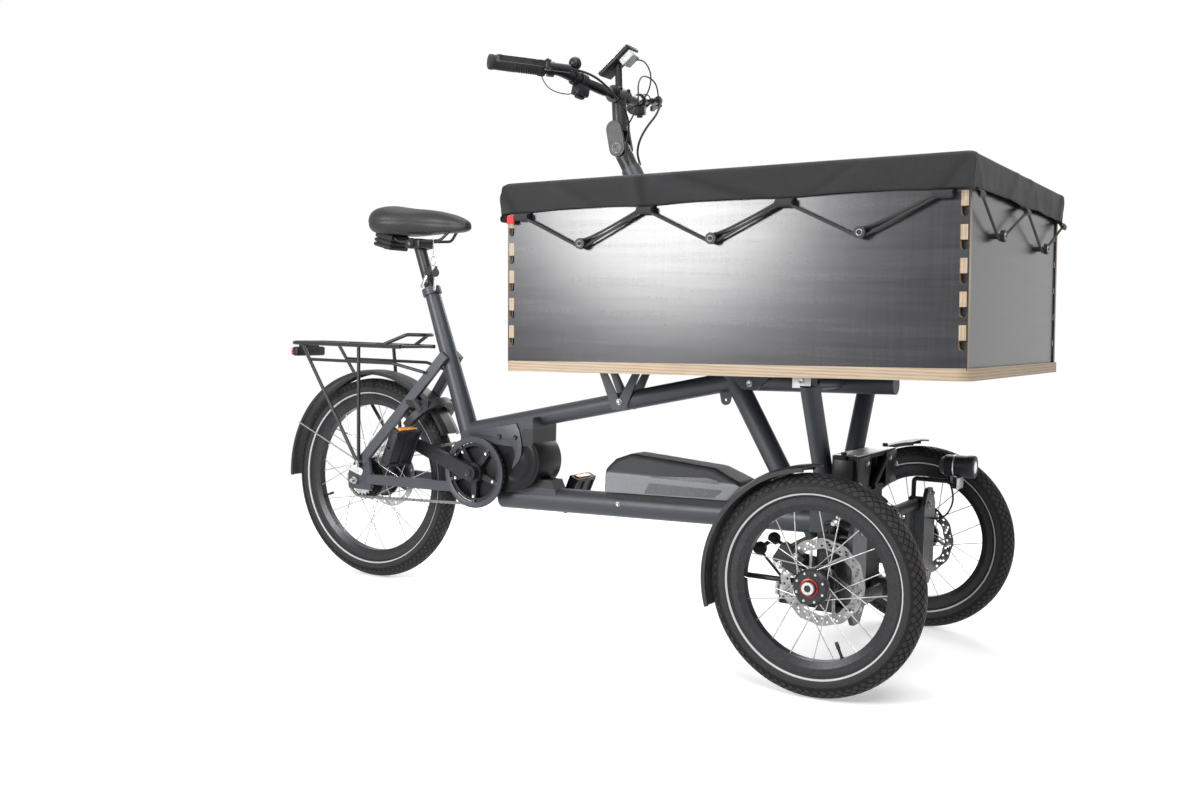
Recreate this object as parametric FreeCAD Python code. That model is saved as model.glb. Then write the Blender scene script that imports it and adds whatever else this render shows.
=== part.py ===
import FreeCAD, Part
import math
import os

# Cargo tricycle with two leaning, steered front wheels, a plywood box and one driven rear wheel.
# Millimetres. X points forward, Y to the rider's left, Z up. The origin is on the ground under the middle.
# Places called ..._AT or ..._X are counted forward from the rear axle, heights from the ground.

# Overall layout
REAR_AXLE_X = -656.0
WHEELBASE = 1314.0
TRACK = 649.0
RUN_FIT = 0.05
TOUCH_GAP = 0.3
OVERRUN = 40.0

# Wheels: 20 inch tyre behind, 16 inch tyres in front
REAR_TYRE_R = 253.0
FRONT_TYRE_R = 202.5
TYRE_SECTION_R = 25.0
TYRE_BEAD_DEPTH = 43.0
RIM_HALF_W = 15.0
RIM_INNER_HALF_W = 9.0
RIM_DEPTH = 24.0
SPOKE_R = 1.1
SPOKE_SINK = 3.0
SPOKE_LEAN_DEG = 62.0
SPOKE_BESIDE_SHARE = 1.3
SPOKE_RIM_SHARE = 0.4
FRONT_SPOKES = 20
REAR_SPOKES = 32
ROTOR_R = 80.0
ROTOR_BAND = 15.0
ROTOR_THICK = 2.0
ROTOR_HUB_R = 24.0
ROTOR_BORE_R = 17.0
ROTOR_ARMS = 6
ROTOR_ARM_W = 8.0
ROTOR_HOLES = 12
ROTOR_HOLE_R = 3.2

# Front hub, counted outward from the wheel's middle plane
FRONT_AXLE_R = 8.0
FRONT_HUB_R = 19.0
FRONT_HUB_IN = -33.5
FRONT_HUB_OUT = 27.5
FRONT_FLANGE_R = 29.0
FRONT_FLANGE_AT = -19.0
FRONT_CAP_R = 33.0
FRONT_CAP_AT = 13.0
FLANGE_THICK = 4.0

# Rear hub, axle and sprocket
REAR_AXLE_R = 5.0
REAR_AXLE_HALF = 96.0
AXLE_NUT_R = 10.0
AXLE_NUT_W = 9.0
AXLE_SPACER_R = 9.0
REAR_HUB_R = 44.0
REAR_HUB_HALF = 38.0
REAR_FLANGE_R = 51.0
REAR_FLANGE_AT = 30.0
REAR_HUB_END = 60.0
DRIVER_R = 18.0
REAR_ROTOR_AT = 53.0
SPROCKET_TEETH = 22
CHAINRING_TEETH = 38
CHAIN_PITCH = 12.7
CHAIN_HALF_H = 4.0
CHAIN_HALF_W = 3.5
CHAIN_Y = -53.5
TOOTH_THICK = 2.6
TOOTH_DEPTH = 5.0
TOOTH_ROOT_SHARES = (0.0, 0.22, 0.78)
TOOTH_TIP_SHARES = (0.42, 0.58)

# Crank, chain guard and pedals
CRANK_CLEAR = 104.0
CRANK_Z = 301.0
CRANK_LENGTH = 169.0
CRANK_REST_DEG = 161.0
CRANK_AXLE_R = 9.0
CRANK_ARM_IN = 71.0
CRANK_ARM_OUT = 87.0
CRANK_BOSS_R = 18.0
CRANK_TIP_R = 13.0
GUARD_R = 83.0
GUARD_INNER_R = 62.0
GUARD_IN_Y = 59.0
GUARD_OUT_Y = 62.0
GUARD_SLOTS = 5
GUARD_SLOT_W = 5.0
GUARD_SLOT_R = 72.0
GUARD_SLOT_SPAN_DEG = 50.0
SPIDER_ARMS = 5
SPIDER_ARM_W = 14.0
SPIDER_R = 24.0
PEDAL_SPINDLE_R = 5.0
PEDAL_IN = 96.0
PEDAL_OUT = 184.0
PEDAL_LENGTH = 96.0
PEDAL_THICK = 24.0
PEDAL_BARREL_R = 11.0
PEDAL_RAIL_W = 12.0
PEDAL_REST_DEG = 68.0

# Motor
MOTOR_HALF_W = 47.0
MOTOR_CRANK_R = 56.0
MOTOR_AHEAD = 105.0
MOTOR_Z = 334.0
MOTOR_R = 68.0
MOTOR_CAP_R = 50.0
MOTOR_CAP_RISE = 3.0

# Frame tubes
SEAT_LEAN_DEG = 20.1
SEAT_FOOT_CLEAR = 37.0
SEAT_FOOT_Z = 400.0
SEAT_TUBE_LOW_Z = 385.0
SEAT_TUBE_TOP_Z = 735.0
SEAT_TUBE_FOOT_R = 24.0
SEAT_TUBE_TOP_R = 18.5
SEAT_BORE_LOW_Z = 470.0
SEAT_CLAMP_R = 23.5
SEAT_CLAMP_H = 16.0
UPPER_TUBE_R = 21.0
UPPER_TUBE_FOOT_AHEAD = 6.0
UPPER_TUBE_FOOT_Z = 392.0
UPPER_TUBE_BEND_BEHIND = 317.5
UPPER_TUBE_BEND_Z = 546.0
UPPER_TUBE_FRONT_AHEAD = 31.0
LOWER_TUBE_R = 27.5
LOWER_TUBE_REAR_AHEAD = 43.0
LOWER_TUBE_REAR_Z = 242.5
LOWER_TUBE_FRONT_Z = 268.5
LOWER_TUBE_END_BEHIND = 52.0
STEER_LEAN_DEG = 30.6
STEER_MARK_BEHIND = 316.0
STEER_MARK_Z = 543.5
HEAD_TUBE_R = 22.5
HEAD_TUBE_LOW_Z = 275.0
HEAD_TUBE_TOP_Z = 1003.0
STEERER_R = 14.0
CROSS_TUBE_BEHIND = 84.0
CROSS_TUBE_R = 15.0
CROSS_TUBE_Z = 556.0
CROSS_TUBE_HALF = 176.0
STRUT_R = 19.5
STRUT_TOP_Y = 172.0
STRUT_FOOT_Y = 66.0
FRONT_NODE_BACK_BEHIND = 109.0
FRONT_NODE_HALF_W = 82.0
FRONT_NODE_LOW_Z = 255.0
FRONT_NODE_TOP_Z = 345.0
TAB_BEHIND = 339.0
TAB_Z = 503.0
TAB_R = 11.0
TAB_THICK = 5.0
TAB_HOLE_R = 3.25
TAB_ROOT_HALF = 20.0
CRADLE_WALL = 2.5
CRADLE_FOOT_BEHIND = 52.0
CRADLE_NOSE_AHEAD = 155.0
CRADLE_LOW_Z = 372.0
LINK_HALF_W = 24.0
LINK_BACK_AHEAD = 33.0
LINK_NOSE_AHEAD = 215.0
LINK_TOP_Z = 294.0

# Rear stays and dropouts
STAY_W = 12.0
STAY_H = 24.0
STAY_TOP_BEHIND = 54.0
STAY_TOP_Z_RISE = 68.0
STAY_TOP_Y = 27.0
STAY_FOOT_AT = 14.0
STAY_FOOT_Z_RISE = 47.0
DROPOUT_IN = 67.5
DROPOUT_THICK = 8.0
CHAINSTAY_FRONT_BEHIND = 35.0
CHAINSTAY_FRONT_Y = 36.0
CHAINSTAY_Z_RISE = 5.0
CHAINSTAY_REAR_AT = 36.0
DROPOUT_BACK = 26.0
DROPOUT_FRONT = 46.0
DROPOUT_DROP = 22.0
DROPOUT_RISE = 58.0

# Rear rack, lamp and fender
RACK_Z_RISE = 84.0
RACK_TUBE_R = 5.0
RACK_BAR_R = 4.0
RACK_LEG_R = 4.5
RACK_HALF_W = 66.0
RACK_REAR_AT = -243.0
RACK_FRONT_AT = 128.0
RACK_BEND_R = 28.0
RACK_LEG_Y = 84.0
RACK_LEG_Z_RISE = 39.0
RACK_LEG_TOP_AT = -200.0
RACK_POST_TOP_AT = -7.0
RACK_STRUT_Z_RISE = 43.0
RACK_STRUT_FRONT_AT = 104.0
RACK_STRUT_Y = 66.0
RACK_STAY_AT = 190.0
RACK_STAY_Z_RISE = 24.0
RACK_STAY_Y = 50.0
RACK_BAR_COUNT = 3
RACK_HANDLE_BACK_AT = 62.0
RACK_HANDLE_FRONT_AT = 160.0
RACK_HANDLE_RISE = 30.0
RACK_HANDLE_HALF_W = 42.0
TAIL_LAMP_HALF_W = 52.0
TAIL_LAMP_DEPTH = 26.0
TAIL_LAMP_H = 24.0
TAIL_LAMP_DROP = 6.0
FENDER_GAP = 19.0
FENDER_THICK = 3.0
FENDER_HALF_W = 31.0
FENDER_CROWN = 8.0
FENDER_SKIRT = 9.0
REAR_FENDER_FRONT_DEG = 28.0
REAR_FENDER_REAR_DEG = 183.0
FENDER_STAY_R = 1.8
FENDER_STAY_DEG = 152.0
FENDER_STAY_Y = 82.0

# Ring lock
LOCK_DEG = 44.0
LOCK_BORE_R = 58.0
LOCK_RIM = 15.0
LOCK_THICK = 18.0
LOCK_BARREL_R = 9.0
LOCK_BARREL_LENGTH = 34.0
LOCK_ARM_SHARE = 0.35
LOCK_BARREL_SHARE = 0.6

# Seat post and saddle
SEAT_POST_R = 15.0
SEAT_POST_LOW_Z = 560.0
SEAT_POST_TOP_Z_RISE = 105.0
SADDLE_SETBACK = 121.0
SADDLE_LENGTH = 274.0
SADDLE_BASE_Z_RISE = 26.0
SADDLE_HEIGHT = 71.0
SADDLE_HALF_W = 80.0
SADDLE_RAIL_R = 3.5
SADDLE_RAIL_Y = 22.0
SADDLE_RAIL_Z_RISE = 10.0
SADDLE_HEAD_HALF = 24.0
SADDLE_HEAD_H = 24.0
RAIL_BACK_SHARE = 0.16
RAIL_FRONT_SHARE = 0.86
RAIL_SPREAD_SHARE = 1.5
BUMPER_R = 19.0
BUMPER_LENGTH = 34.0
BUMPER_AHEAD = 32.0

# Front carrier with the two leaning beams
BEAM_AT = 19.0
UPPER_BEAM_Z = 290.0
LOWER_BEAM_Z = 145.0
BEAM_R = 13.0
BEAM_PIVOT_INSET = 109.5
BEAM_PIN_R = 10.0
BEAM_BOSS_R = 22.0
BEAM_BOSS_HALF = 18.0
BEAM_EYE_R = 16.0
BEAM_EYE_HALF = 15.0
BEAM_EYE_PIN_R = 8.0
SPINE_BACK = 52.0
SPINE_FRONT = 3.0
SPINE_HALF_W = 42.0
SPINE_LOW_Z = 112.0
HOUSING_HALF_W = 120.0
HOUSING_LOW_Z = 345.0
HOUSING_TOP_Z = 413.0
HOUSING_WALL = 6.0
HOUSING_RIBS = 4
TOP_PLATE_THICK = 3.0
PIN_CAP_R = 15.0
PIN_CAP_W = 7.0

# Uprights and steering knuckles
KINGPIN_INSET = 74.5
KINGPIN_R = 9.0
BARREL_R = 17.0
BARREL_LOW_Z = 160.0
BARREL_TOP_Z = 275.0
PLATE_BACK = 36.0
PLATE_THICK = 9.0
PLATE_IN_INSET = 140.5
PLATE_OUT_INSET = 62.5
PLATE_LOW_Z = 118.0
PLATE_TOP_Z = 325.0
WEB_IN = -14.0
WEB_OUT = 3.0
EAR_R = 15.0
EAR_THICK = 12.0
EAR_GAP = 2.0
KNUCKLE_IN = 20.0
KNUCKLE_THICK = 8.0
KNUCKLE_HALF = 17.0
KINGPIN_NUT_R = 11.0
KINGPIN_NUT_H = 10.0
AXLE_COLLAR_R = 12.0
AXLE_COLLAR_W = 10.5
WHEEL_NUT_R = 12.0
WHEEL_NUT_W = 9.0
STEER_ARM = 90.0
STEER_ARM_HALF_W = 9.0
BALL_R = 11.0
BALL_Z = 172.0
BALL_STUD_R = 5.0
CALIPER_DEG = 150.0
CALIPER_AT_R = 72.0
CALIPER_LENGTH = 54.0
CALIPER_HEIGHT = 38.0
CALIPER_HALF_W = 13.0
CALIPER_SLOT_HALF = 2.6
FENDER_BAR_R = 5.0
FRONT_FENDER_FRONT_DEG = 88.0
FRONT_FENDER_REAR_DEG = 197.0
FRONT_FENDER_GAP = 11.5
FENDER_BAR_Z = 196.0
FENDER_BAR_Y = 34.0
FENDER_TIP = 40.0

# Tie rod, steering shaft and its lower arm
TIE_ROD_R = 7.0
TIE_EYE_WALL = 5.0
TIE_EYE_HALF = 10.0
TIE_ARM_W = 14.0
SLEEVE_BORE_R = 12.0
SLEEVE_LOW = 14.0
SLEEVE_HIGH = 14.0
PITMAN_BALL_R = 8.0
PITMAN_W = 16.0
PITMAN_THICK = 11.0
PITMAN_STUD_R = 4.0
PITMAN_STUD_LENGTH = 20.0
TIE_LEFT_PLAY = 1.6

# Headlight on the left knuckle
LAMP_R = 23.0
LAMP_LENGTH = 58.0
LAMP_AT = 88.0
LAMP_Z = 374.0
LAMP_LENS_R = 20.0
LAMP_LENS_W = 4.0
LAMP_POST_R = 5.0
LAMP_POST_TOP_Z = 340.0
LAMP_POST_BEND_R = 7.5
REFLECTOR_W = 36.0
REFLECTOR_H = 24.0
REFLECTOR_T = 5.0

# Stem, bar and controls
STEM_PIVOT_Z = 1048.0
STEM_BASE_R = 19.5
STEM_BASE_LOW_Z = 1003.5
STEM_BOSS_R = 19.0
STEM_BOSS_HALF = 13.0
STEM_CHEEK_W = 7.0
STEM_BOLT_R = 5.0
STEM_R = 16.5
BAR_BEHIND = 624.0
BAR_Z = 1166.0
BAR_R = 11.1
BAR_CLAMP_R = 19.0
BAR_CLAMP_HALF = 26.0
BAR_STRAIGHT_HALF = 72.0
BAR_BEND_BEHIND = 662.0
BAR_BEND_Y = 190.0
BAR_BEND_Z = 1190.0
BAR_END_BEHIND = 759.0
BAR_END_Y = 300.0
BAR_END_Z = 1195.0
BAR_BEND_R = 46.0
GRIP_R = 15.5
GRIP_LENGTH = 118.0
GRIP_CAP = 4.0
PERCH_R = 16.0
PERCH_W = 13.0
PERCH_FROM_GRIP = 6.0
PERCH_SINK_SHARE = 0.9
MASTER_R = 8.5
MASTER_LENGTH = 52.0
MASTER_REACH = 27.0
LEVER_PIVOT_R = 3.0
LEVER_REACH = 42.0
LEVER_LENGTH = 104.0
LEVER_W = 12.0
LEVER_T = 6.0
BELL_R = 14.0
BELL_Y = -146.0
BELL_RISE = 30.0
DISPLAY_LENGTH = 94.0
DISPLAY_W = 64.0
DISPLAY_THICK = 13.0
DISPLAY_TILT_DEG = 39.0
DISPLAY_BEHIND = 628.0
DISPLAY_Z = 1240.0
DISPLAY_POST_R = 8.0
CABLE_R = 2.5
HOSE_BULGE = 54.0
HOSE_SPREAD = 200.0
HOSE_TOP_RISE = 21.0
HOSE_END_RISE = 10.5

# Box: plywood floor, panels in slots, all raked up a little towards the front
BOX_RAKE_DEG = 1.31
BOX_REAR_BEHIND = 666.0
BOX_LENGTH = 934.0
BOX_WIDTH = 725.0
BOX_LOW_Z = 570.0
FLOOR_THICK = 21.0
FLOOR_CORNER_R = 26.0
PANEL_THICK = 12.0
PANEL_INSET = 7.0
PANEL_HEIGHT = 350.0
GROOVE_DEPTH = 3.0
END_PANEL_INSET = 15.0
SLOT_COUNT = 5
SLOT_H = 42.0
SLOT_PITCH = 55.0
SLOT_FIRST = 29.0
TAB_H = 25.0
TAB_GAP = 0.3
KNOB_UP = 228.0
KNOB_NECK_R = 5.0
KNOB_NECK_LENGTH = 12.0
KNOB_HEAD_R = 10.5
KNOB_HEAD_T = 7.0
KNOB_PITCH = 279.0
KNOB_END_PITCH = 360.0
COLUMN_CLEARANCE = 4.0
BRACKET_T = 4.0
BRACKET_TOP_HALF = 56.0
BRACKET_FOOT_HALF = 17.0
BRACKET_REAR_BEHIND = 590.0
BRACKET_FRONT_BEHIND = 274.0
BRACKET_DROP = 18.0
BRACKET_CROTCH_SHARE = 0.3
BRACKET_LEG_W = 17.0
ANGLE_W = 36.0

# Cover and its elastic cord
COVER_T = 4.0
COVER_GAP = 0.5
COVER_SKIRT = 58.0
COVER_SLACK = 4.0
COVER_CROWN = 6.0
COVER_NOTCH_HALF = 34.0
COVER_NOTCH_FRONT_BEHIND = 499.0
COVER_HEM_RISE = 12.0
CORD_R = 2.0
CORD_SLACK = 1.2
CORD_ON_NECK_SHARE = 0.75
CORD_BEND_R = 6.0
LOOP_W = 26.0
LOOP_H = 18.0
LOOP_T = 2.5
LOOP_RISE_SHARE = 1.5
LOOP_END_SHARE = 0.94
LOOP_PLACE_SHARES = (-1.5, -0.5, 0.5, 1.5)

# Battery and its rail, heights above the lower tube's axis
BATTERY_BACK_AT = 702.0
BATTERY_NOSE_BEHIND = 278.0
BATTERY_LOW = 32.0
BATTERY_TOP = 121.0
BATTERY_HALF_W = 46.0
BATTERY_LOW_HALF_W = 42.0
BATTERY_TOP_HALF_W = 27.0
BATTERY_SHOULDER = 74.0
RAIL_HALF_W = 22.0
RAIL_BACK_AT = 696.0
RAIL_FRONT_BEHIND = 310.0
RAIL_ROOT = 10.0

# Shares of the sizes above, for outlines
ARC_REACH_SHARE = 0.45
UPRIGHT_EDGE_SHARE = 0.9
SADDLE_LOW_SHARE = 0.6
SADDLE_FOOT_SHARE = 0.7
SADDLE_EDGE_SHARE = 0.4
SADDLE_RIM_W_SHARE = 0.72
SADDLE_RIM_H_SHARE = 0.88
HOSE_SHARES = [
    (0.30, 0.85, 1.00), (0.70, 0.65, 0.90), (1.00, 0.39, 0.68), (0.96, 0.22, 0.52),
    (0.82, 0.14, 0.37), (0.69, 0.13, 0.24), (0.67, 0.135, 0.115), (0.82, 0.14, 0.00),
]
SADDLE_SECTION_SHARES = [
    (0.00, 0.50, 0.68, 0.30),
    (0.10, 0.96, 0.98, 0.06),
    (0.26, 1.00, 1.00, 0.00),
    (0.44, 0.76, 0.91, 0.02),
    (0.62, 0.46, 0.86, 0.04),
    (0.80, 0.32, 0.72, 0.08),
    (0.94, 0.25, 0.54, 0.14),
    (1.00, 0.14, 0.42, 0.24),
]
BATTERY_PROFILE_SHARES = [
    (0.000, 0.00), (0.012, 0.60), (0.072, 0.85), (0.186, 1.00),
    (0.80, 0.76), (0.98, 0.46), (1.000, 0.36), (0.905, 0.00),
]

V = FreeCAD.Vector
X_DIR = V(1, 0, 0)
Y_DIR = V(0, 1, 0)
Z_DIR = V(0, 0, 1)
FRONT_AT = WHEELBASE
CRANK_AT = REAR_TYRE_R + CRANK_CLEAR
SEAT_FOOT_AT = REAR_TYRE_R + SEAT_FOOT_CLEAR
MOTOR_AT = CRANK_AT + MOTOR_AHEAD
LOWER_TUBE_REAR_AT = CRANK_AT + LOWER_TUBE_REAR_AHEAD
CRADLE_NOSE_AT = CRANK_AT + CRADLE_NOSE_AHEAD
LINK_BACK_AT = CRANK_AT + LINK_BACK_AHEAD
LINK_NOSE_AT = CRANK_AT + LINK_NOSE_AHEAD
CRADLE_FOOT_AT = CRANK_AT - CRADLE_FOOT_BEHIND
CHAINSTAY_FRONT_AT = CRANK_AT - CHAINSTAY_FRONT_BEHIND
UPPER_TUBE_FOOT_AT = SEAT_FOOT_AT + UPPER_TUBE_FOOT_AHEAD
STAY_TOP_AT = SEAT_FOOT_AT - STAY_TOP_BEHIND
STAY_FOOT_Z = REAR_TYRE_R + STAY_FOOT_Z_RISE
CHAINSTAY_Z = REAR_TYRE_R + CHAINSTAY_Z_RISE
RACK_LEG_Z = REAR_TYRE_R + RACK_LEG_Z_RISE
STAY_TOP_Z = 2 * REAR_TYRE_R + STAY_TOP_Z_RISE
RACK_Z = 2 * REAR_TYRE_R + RACK_Z_RISE
RACK_STRUT_Z = 2 * REAR_TYRE_R + RACK_STRUT_Z_RISE
RACK_STAY_Z = 2 * REAR_TYRE_R + RACK_STAY_Z_RISE
SEAT_POST_TOP_Z = SEAT_TUBE_TOP_Z + SEAT_POST_TOP_Z_RISE
SADDLE_BASE_Z = SEAT_POST_TOP_Z + SADDLE_BASE_Z_RISE
SADDLE_RAIL_Z = SEAT_POST_TOP_Z + SADDLE_RAIL_Z_RISE
UPPER_TUBE_BEND_AT = FRONT_AT - UPPER_TUBE_BEND_BEHIND
LOWER_TUBE_END_AT = FRONT_AT - LOWER_TUBE_END_BEHIND
STEER_MARK_AT = FRONT_AT - STEER_MARK_BEHIND
CROSS_TUBE_AT = FRONT_AT - CROSS_TUBE_BEHIND
FRONT_NODE_BACK_AT = FRONT_AT - FRONT_NODE_BACK_BEHIND
TAB_AT = FRONT_AT - TAB_BEHIND
BAR_AT = FRONT_AT - BAR_BEHIND
BAR_BEND_AT = FRONT_AT - BAR_BEND_BEHIND
BAR_END_AT = FRONT_AT - BAR_END_BEHIND
DISPLAY_AT = FRONT_AT - DISPLAY_BEHIND
BOX_REAR_AT = FRONT_AT - BOX_REAR_BEHIND
BRACKET_REAR_AT = FRONT_AT - BRACKET_REAR_BEHIND
BRACKET_FRONT_AT = FRONT_AT - BRACKET_FRONT_BEHIND
COVER_NOTCH_FRONT_AT = FRONT_AT - COVER_NOTCH_FRONT_BEHIND
BATTERY_NOSE_AT = FRONT_AT - BATTERY_NOSE_BEHIND
RAIL_FRONT_AT = FRONT_AT - RAIL_FRONT_BEHIND
UPPER_TUBE_FRONT_AT = FRONT_AT + UPPER_TUBE_FRONT_AHEAD
KINGPIN_Y = TRACK / 2 - KINGPIN_INSET
BEAM_PIVOT_Y = TRACK / 2 - BEAM_PIVOT_INSET
PLATE_IN_Y = TRACK / 2 - PLATE_IN_INSET
PLATE_OUT_Y = TRACK / 2 - PLATE_OUT_INSET
SEAT_SLOPE = math.tan(math.radians(SEAT_LEAN_DEG))
STEER_SLOPE = math.tan(math.radians(STEER_LEAN_DEG))
BOX_SLOPE = math.tan(math.radians(BOX_RAKE_DEG))
SADDLE_REAR_AT = SEAT_FOOT_AT - (SEAT_POST_TOP_Z - SEAT_FOOT_Z) * SEAT_SLOPE - SADDLE_SETBACK
BUMPER_AT = SADDLE_REAR_AT + BUMPER_AHEAD
BOX_MID_AT = BOX_REAR_AT + BOX_LENGTH / 2
CHAINRING_R = CHAINRING_TEETH * CHAIN_PITCH / (2 * math.pi)
SPROCKET_R = SPROCKET_TEETH * CHAIN_PITCH / (2 * math.pi)
STEER_AXIS = V(-math.sin(math.radians(STEER_LEAN_DEG)), 0, math.cos(math.radians(STEER_LEAN_DEG)))


# Places
def at(x, y, z):
    """A point counted forward from the rear axle."""
    return V(REAR_AXLE_X + x, y, z)


def seat_axis(z):
    return at(SEAT_FOOT_AT - (z - SEAT_FOOT_Z) * SEAT_SLOPE, 0, z)


def steer_axis(z):
    return at(STEER_MARK_AT - (z - STEER_MARK_Z) * STEER_SLOPE, 0, z)


def upper_tube_z(x):
    slope = (UPPER_TUBE_BEND_Z - UPPER_TUBE_FOOT_Z) / (UPPER_TUBE_BEND_AT - UPPER_TUBE_FOOT_AT)
    if x < UPPER_TUBE_BEND_AT:
        return UPPER_TUBE_FOOT_Z + (x - UPPER_TUBE_FOOT_AT) * slope
    return UPPER_TUBE_BEND_Z + (x - UPPER_TUBE_BEND_AT) * BOX_SLOPE


def lower_tube_z(x):
    slope = (LOWER_TUBE_FRONT_Z - LOWER_TUBE_REAR_Z) / (LOWER_TUBE_END_AT - LOWER_TUBE_REAR_AT)
    return LOWER_TUBE_REAR_Z + (x - LOWER_TUBE_REAR_AT) * slope


def floor_under_z(x):
    return BOX_LOW_Z + (x - BOX_MID_AT) * BOX_SLOPE


def on_circle(x, z, r, deg, y=0.0):
    a = math.radians(deg)
    return at(x + r * math.cos(a), y, z + r * math.sin(a))


# Shapes
def rod(a, b, r):
    d = b.sub(a)
    return Part.makeCylinder(r, d.Length, a, d)


def tube(a, b, r_out, r_in):
    return rod(a, b, r_out).cut(rod(a, b, r_in))


def taper(a, b, r_a, r_b):
    d = b.sub(a)
    return Part.makeCone(r_a, r_b, d.Length, a, d)


def side_disc(x, z, r, y0, y1):
    """A round disc whose axis runs along Y."""
    return rod(at(x, y0, z), at(x, y1, z), r)


def block(x0, x1, y0, y1, z0, z1):
    return Part.makeBox(x1 - x0, y1 - y0, z1 - z0, at(x0, y0, z0))


def side_plate(points, y0, y1):
    """An outline of (x, z) pairs, given thickness along Y."""
    corners = [at(x, y0, z) for x, z in points]
    face = Part.Face(Part.makePolygon(corners + corners[:1]))
    return face.extrude(V(0, y1 - y0, 0))


def front_plate(points, x0, x1):
    """An outline of (y, z) pairs, given thickness along X."""
    corners = [at(x0, y, z) for y, z in points]
    face = Part.Face(Part.makePolygon(corners + corners[:1]))
    return face.extrude(V(x1 - x0, 0, 0))


def plan_plate(points, z0, z1):
    """An outline of (x, y) pairs, given thickness along Z."""
    corners = [at(x, y, z0) for x, y in points]
    face = Part.Face(Part.makePolygon(corners + corners[:1]))
    return face.extrude(V(0, 0, z1 - z0))


def round_corners(points, radius):
    """Straight runs joined by tangent arcs; radius is cut down where the runs are short."""
    edges = []
    last = points[0]
    for i in range(1, len(points) - 1):
        back = points[i - 1].sub(points[i])
        ahead = points[i + 1].sub(points[i])
        half = back.getAngle(ahead) / 2
        reach = min(radius / math.tan(half), min(back.Length, ahead.Length) * ARC_REACH_SHARE)
        bend = reach * math.tan(half)
        u = V(back).normalize()
        w = V(ahead).normalize()
        start = points[i].add(u * reach)
        end = points[i].add(w * reach)
        middle_dir = u.add(w).normalize()
        middle = points[i].add(middle_dir * (bend / math.sin(half) - bend))
        edges.append(Part.LineSegment(last, start).toShape())
        edges.append(Part.Arc(start, middle, end).toShape())
        last = end
    edges.append(Part.LineSegment(last, points[-1]).toShape())
    return Part.Wire(edges)


def bent_rod(points, r, bend_r):
    path = round_corners(points, bend_r)
    start_dir = points[1].sub(points[0])
    section = Part.Wire([Part.makeCircle(r, points[0], start_dir)])
    solid = path.makePipeShell([section], True, False)
    return solid if solid.Volume > 0 else solid.reversed()


def free_cord(name, points, r):
    """A cord that nothing pulls tight: each arc is as large as its two runs allow."""
    radii = []
    for i in range(1, len(points) - 1):
        back = points[i - 1].sub(points[i])
        ahead = points[i + 1].sub(points[i])
        radii.append(min(back.Length, ahead.Length) * ARC_REACH_SHARE * math.tan(back.getAngle(ahead) / 2))
    print(name, "arc radii", [round(bend) for bend in radii])
    return bent_rod(points, r, max(radii))


def bar(a, b, width, height, width_dir):
    """A rectangular bar from a to b, with its width along width_dir."""
    along = b.sub(a)
    box = Part.makeBox(along.Length, width, height, V(0, -width / 2, -height / 2))
    turn = FreeCAD.Rotation(along, width_dir, along.cross(width_dir), "XYZ")
    box.Placement = FreeCAD.Placement(a, turn)
    return box


def turned(profile, x, z, angle=360.0, start=0.0):
    """Turns an outline of (radius, y) pairs about a line along Y."""
    corners = [at(x + r, y, z) for r, y in profile]
    face = Part.Face(Part.makePolygon(corners + corners[:1]))
    face.rotate(at(x, 0, z), Y_DIR, -start)
    return face.revolve(at(x, 0, z), V(0, -1, 0), angle)


def hull_of_circles(x0, z0, r0, x1, z1, r1, y0, y1):
    """Two circles and their outer tangents, given thickness along Y."""
    run = math.hypot(x1 - x0, z1 - z0)
    aim = math.atan2(z1 - z0, x1 - x0)
    open_angle = math.acos((r0 - r1) / run)

    def spot(x, z, r, a):
        return at(x + r * math.cos(a), y0, z + r * math.sin(a))

    up, down = aim + open_angle, aim - open_angle
    edges = [
        Part.LineSegment(spot(x0, z0, r0, up), spot(x1, z1, r1, up)).toShape(),
        Part.Arc(spot(x1, z1, r1, up), spot(x1, z1, r1, aim), spot(x1, z1, r1, down)).toShape(),
        Part.LineSegment(spot(x1, z1, r1, down), spot(x0, z0, r0, down)).toShape(),
        Part.Arc(spot(x0, z0, r0, down), spot(x0, z0, r0, aim + math.pi), spot(x0, z0, r0, up)).toShape(),
    ]
    return Part.Face(Part.Wire(edges)).extrude(V(0, y1 - y0, 0))


def mirrored(shape):
    return shape.mirror(V(0, 0, 0), Y_DIR)


def both(shape):
    return [shape, mirrored(shape)]


def join(shapes):
    whole = shapes[0].multiFuse(shapes[1:]) if len(shapes) > 1 else shapes[0]
    return whole.removeSplitter()


def fitted(shapes):
    """Cuts each solid by the ones before it, as tubes are mitred before welding."""
    done = []
    for shape in shapes:
        for other in done:
            shape = shape.cut(other)
        done.extend(shape.Solids)
    return done


def raked(shape):
    turned_shape = shape.copy()
    turned_shape.rotate(at(BOX_MID_AT, 0, BOX_LOW_Z), Y_DIR, -BOX_RAKE_DEG)
    return turned_shape


NODES = {}


def keep(name, shape):
    solids = shape if isinstance(shape, list) else [shape]
    NODES[name] = Part.makeCompound(solids) if len(solids) > 1 else solids[0]


# Wheels
def tyre(x, z, outer_r, y):
    """Round section with a flat foot that lies on the rim."""
    middle = outer_r - TYRE_SECTION_R
    foot = outer_r - TYRE_BEAD_DEPTH
    drop = middle - foot
    half = math.sqrt(TYRE_SECTION_R ** 2 - drop ** 2)
    low = at(x + foot, y - half, z)
    high = at(x + foot, y + half, z)
    arc = Part.Arc(low, at(x + outer_r, y, z), high).toShape()
    face = Part.Face(Part.Wire([arc, Part.LineSegment(high, low).toShape()]))
    return face.revolve(at(x, 0, z), Y_DIR, 360)


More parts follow.
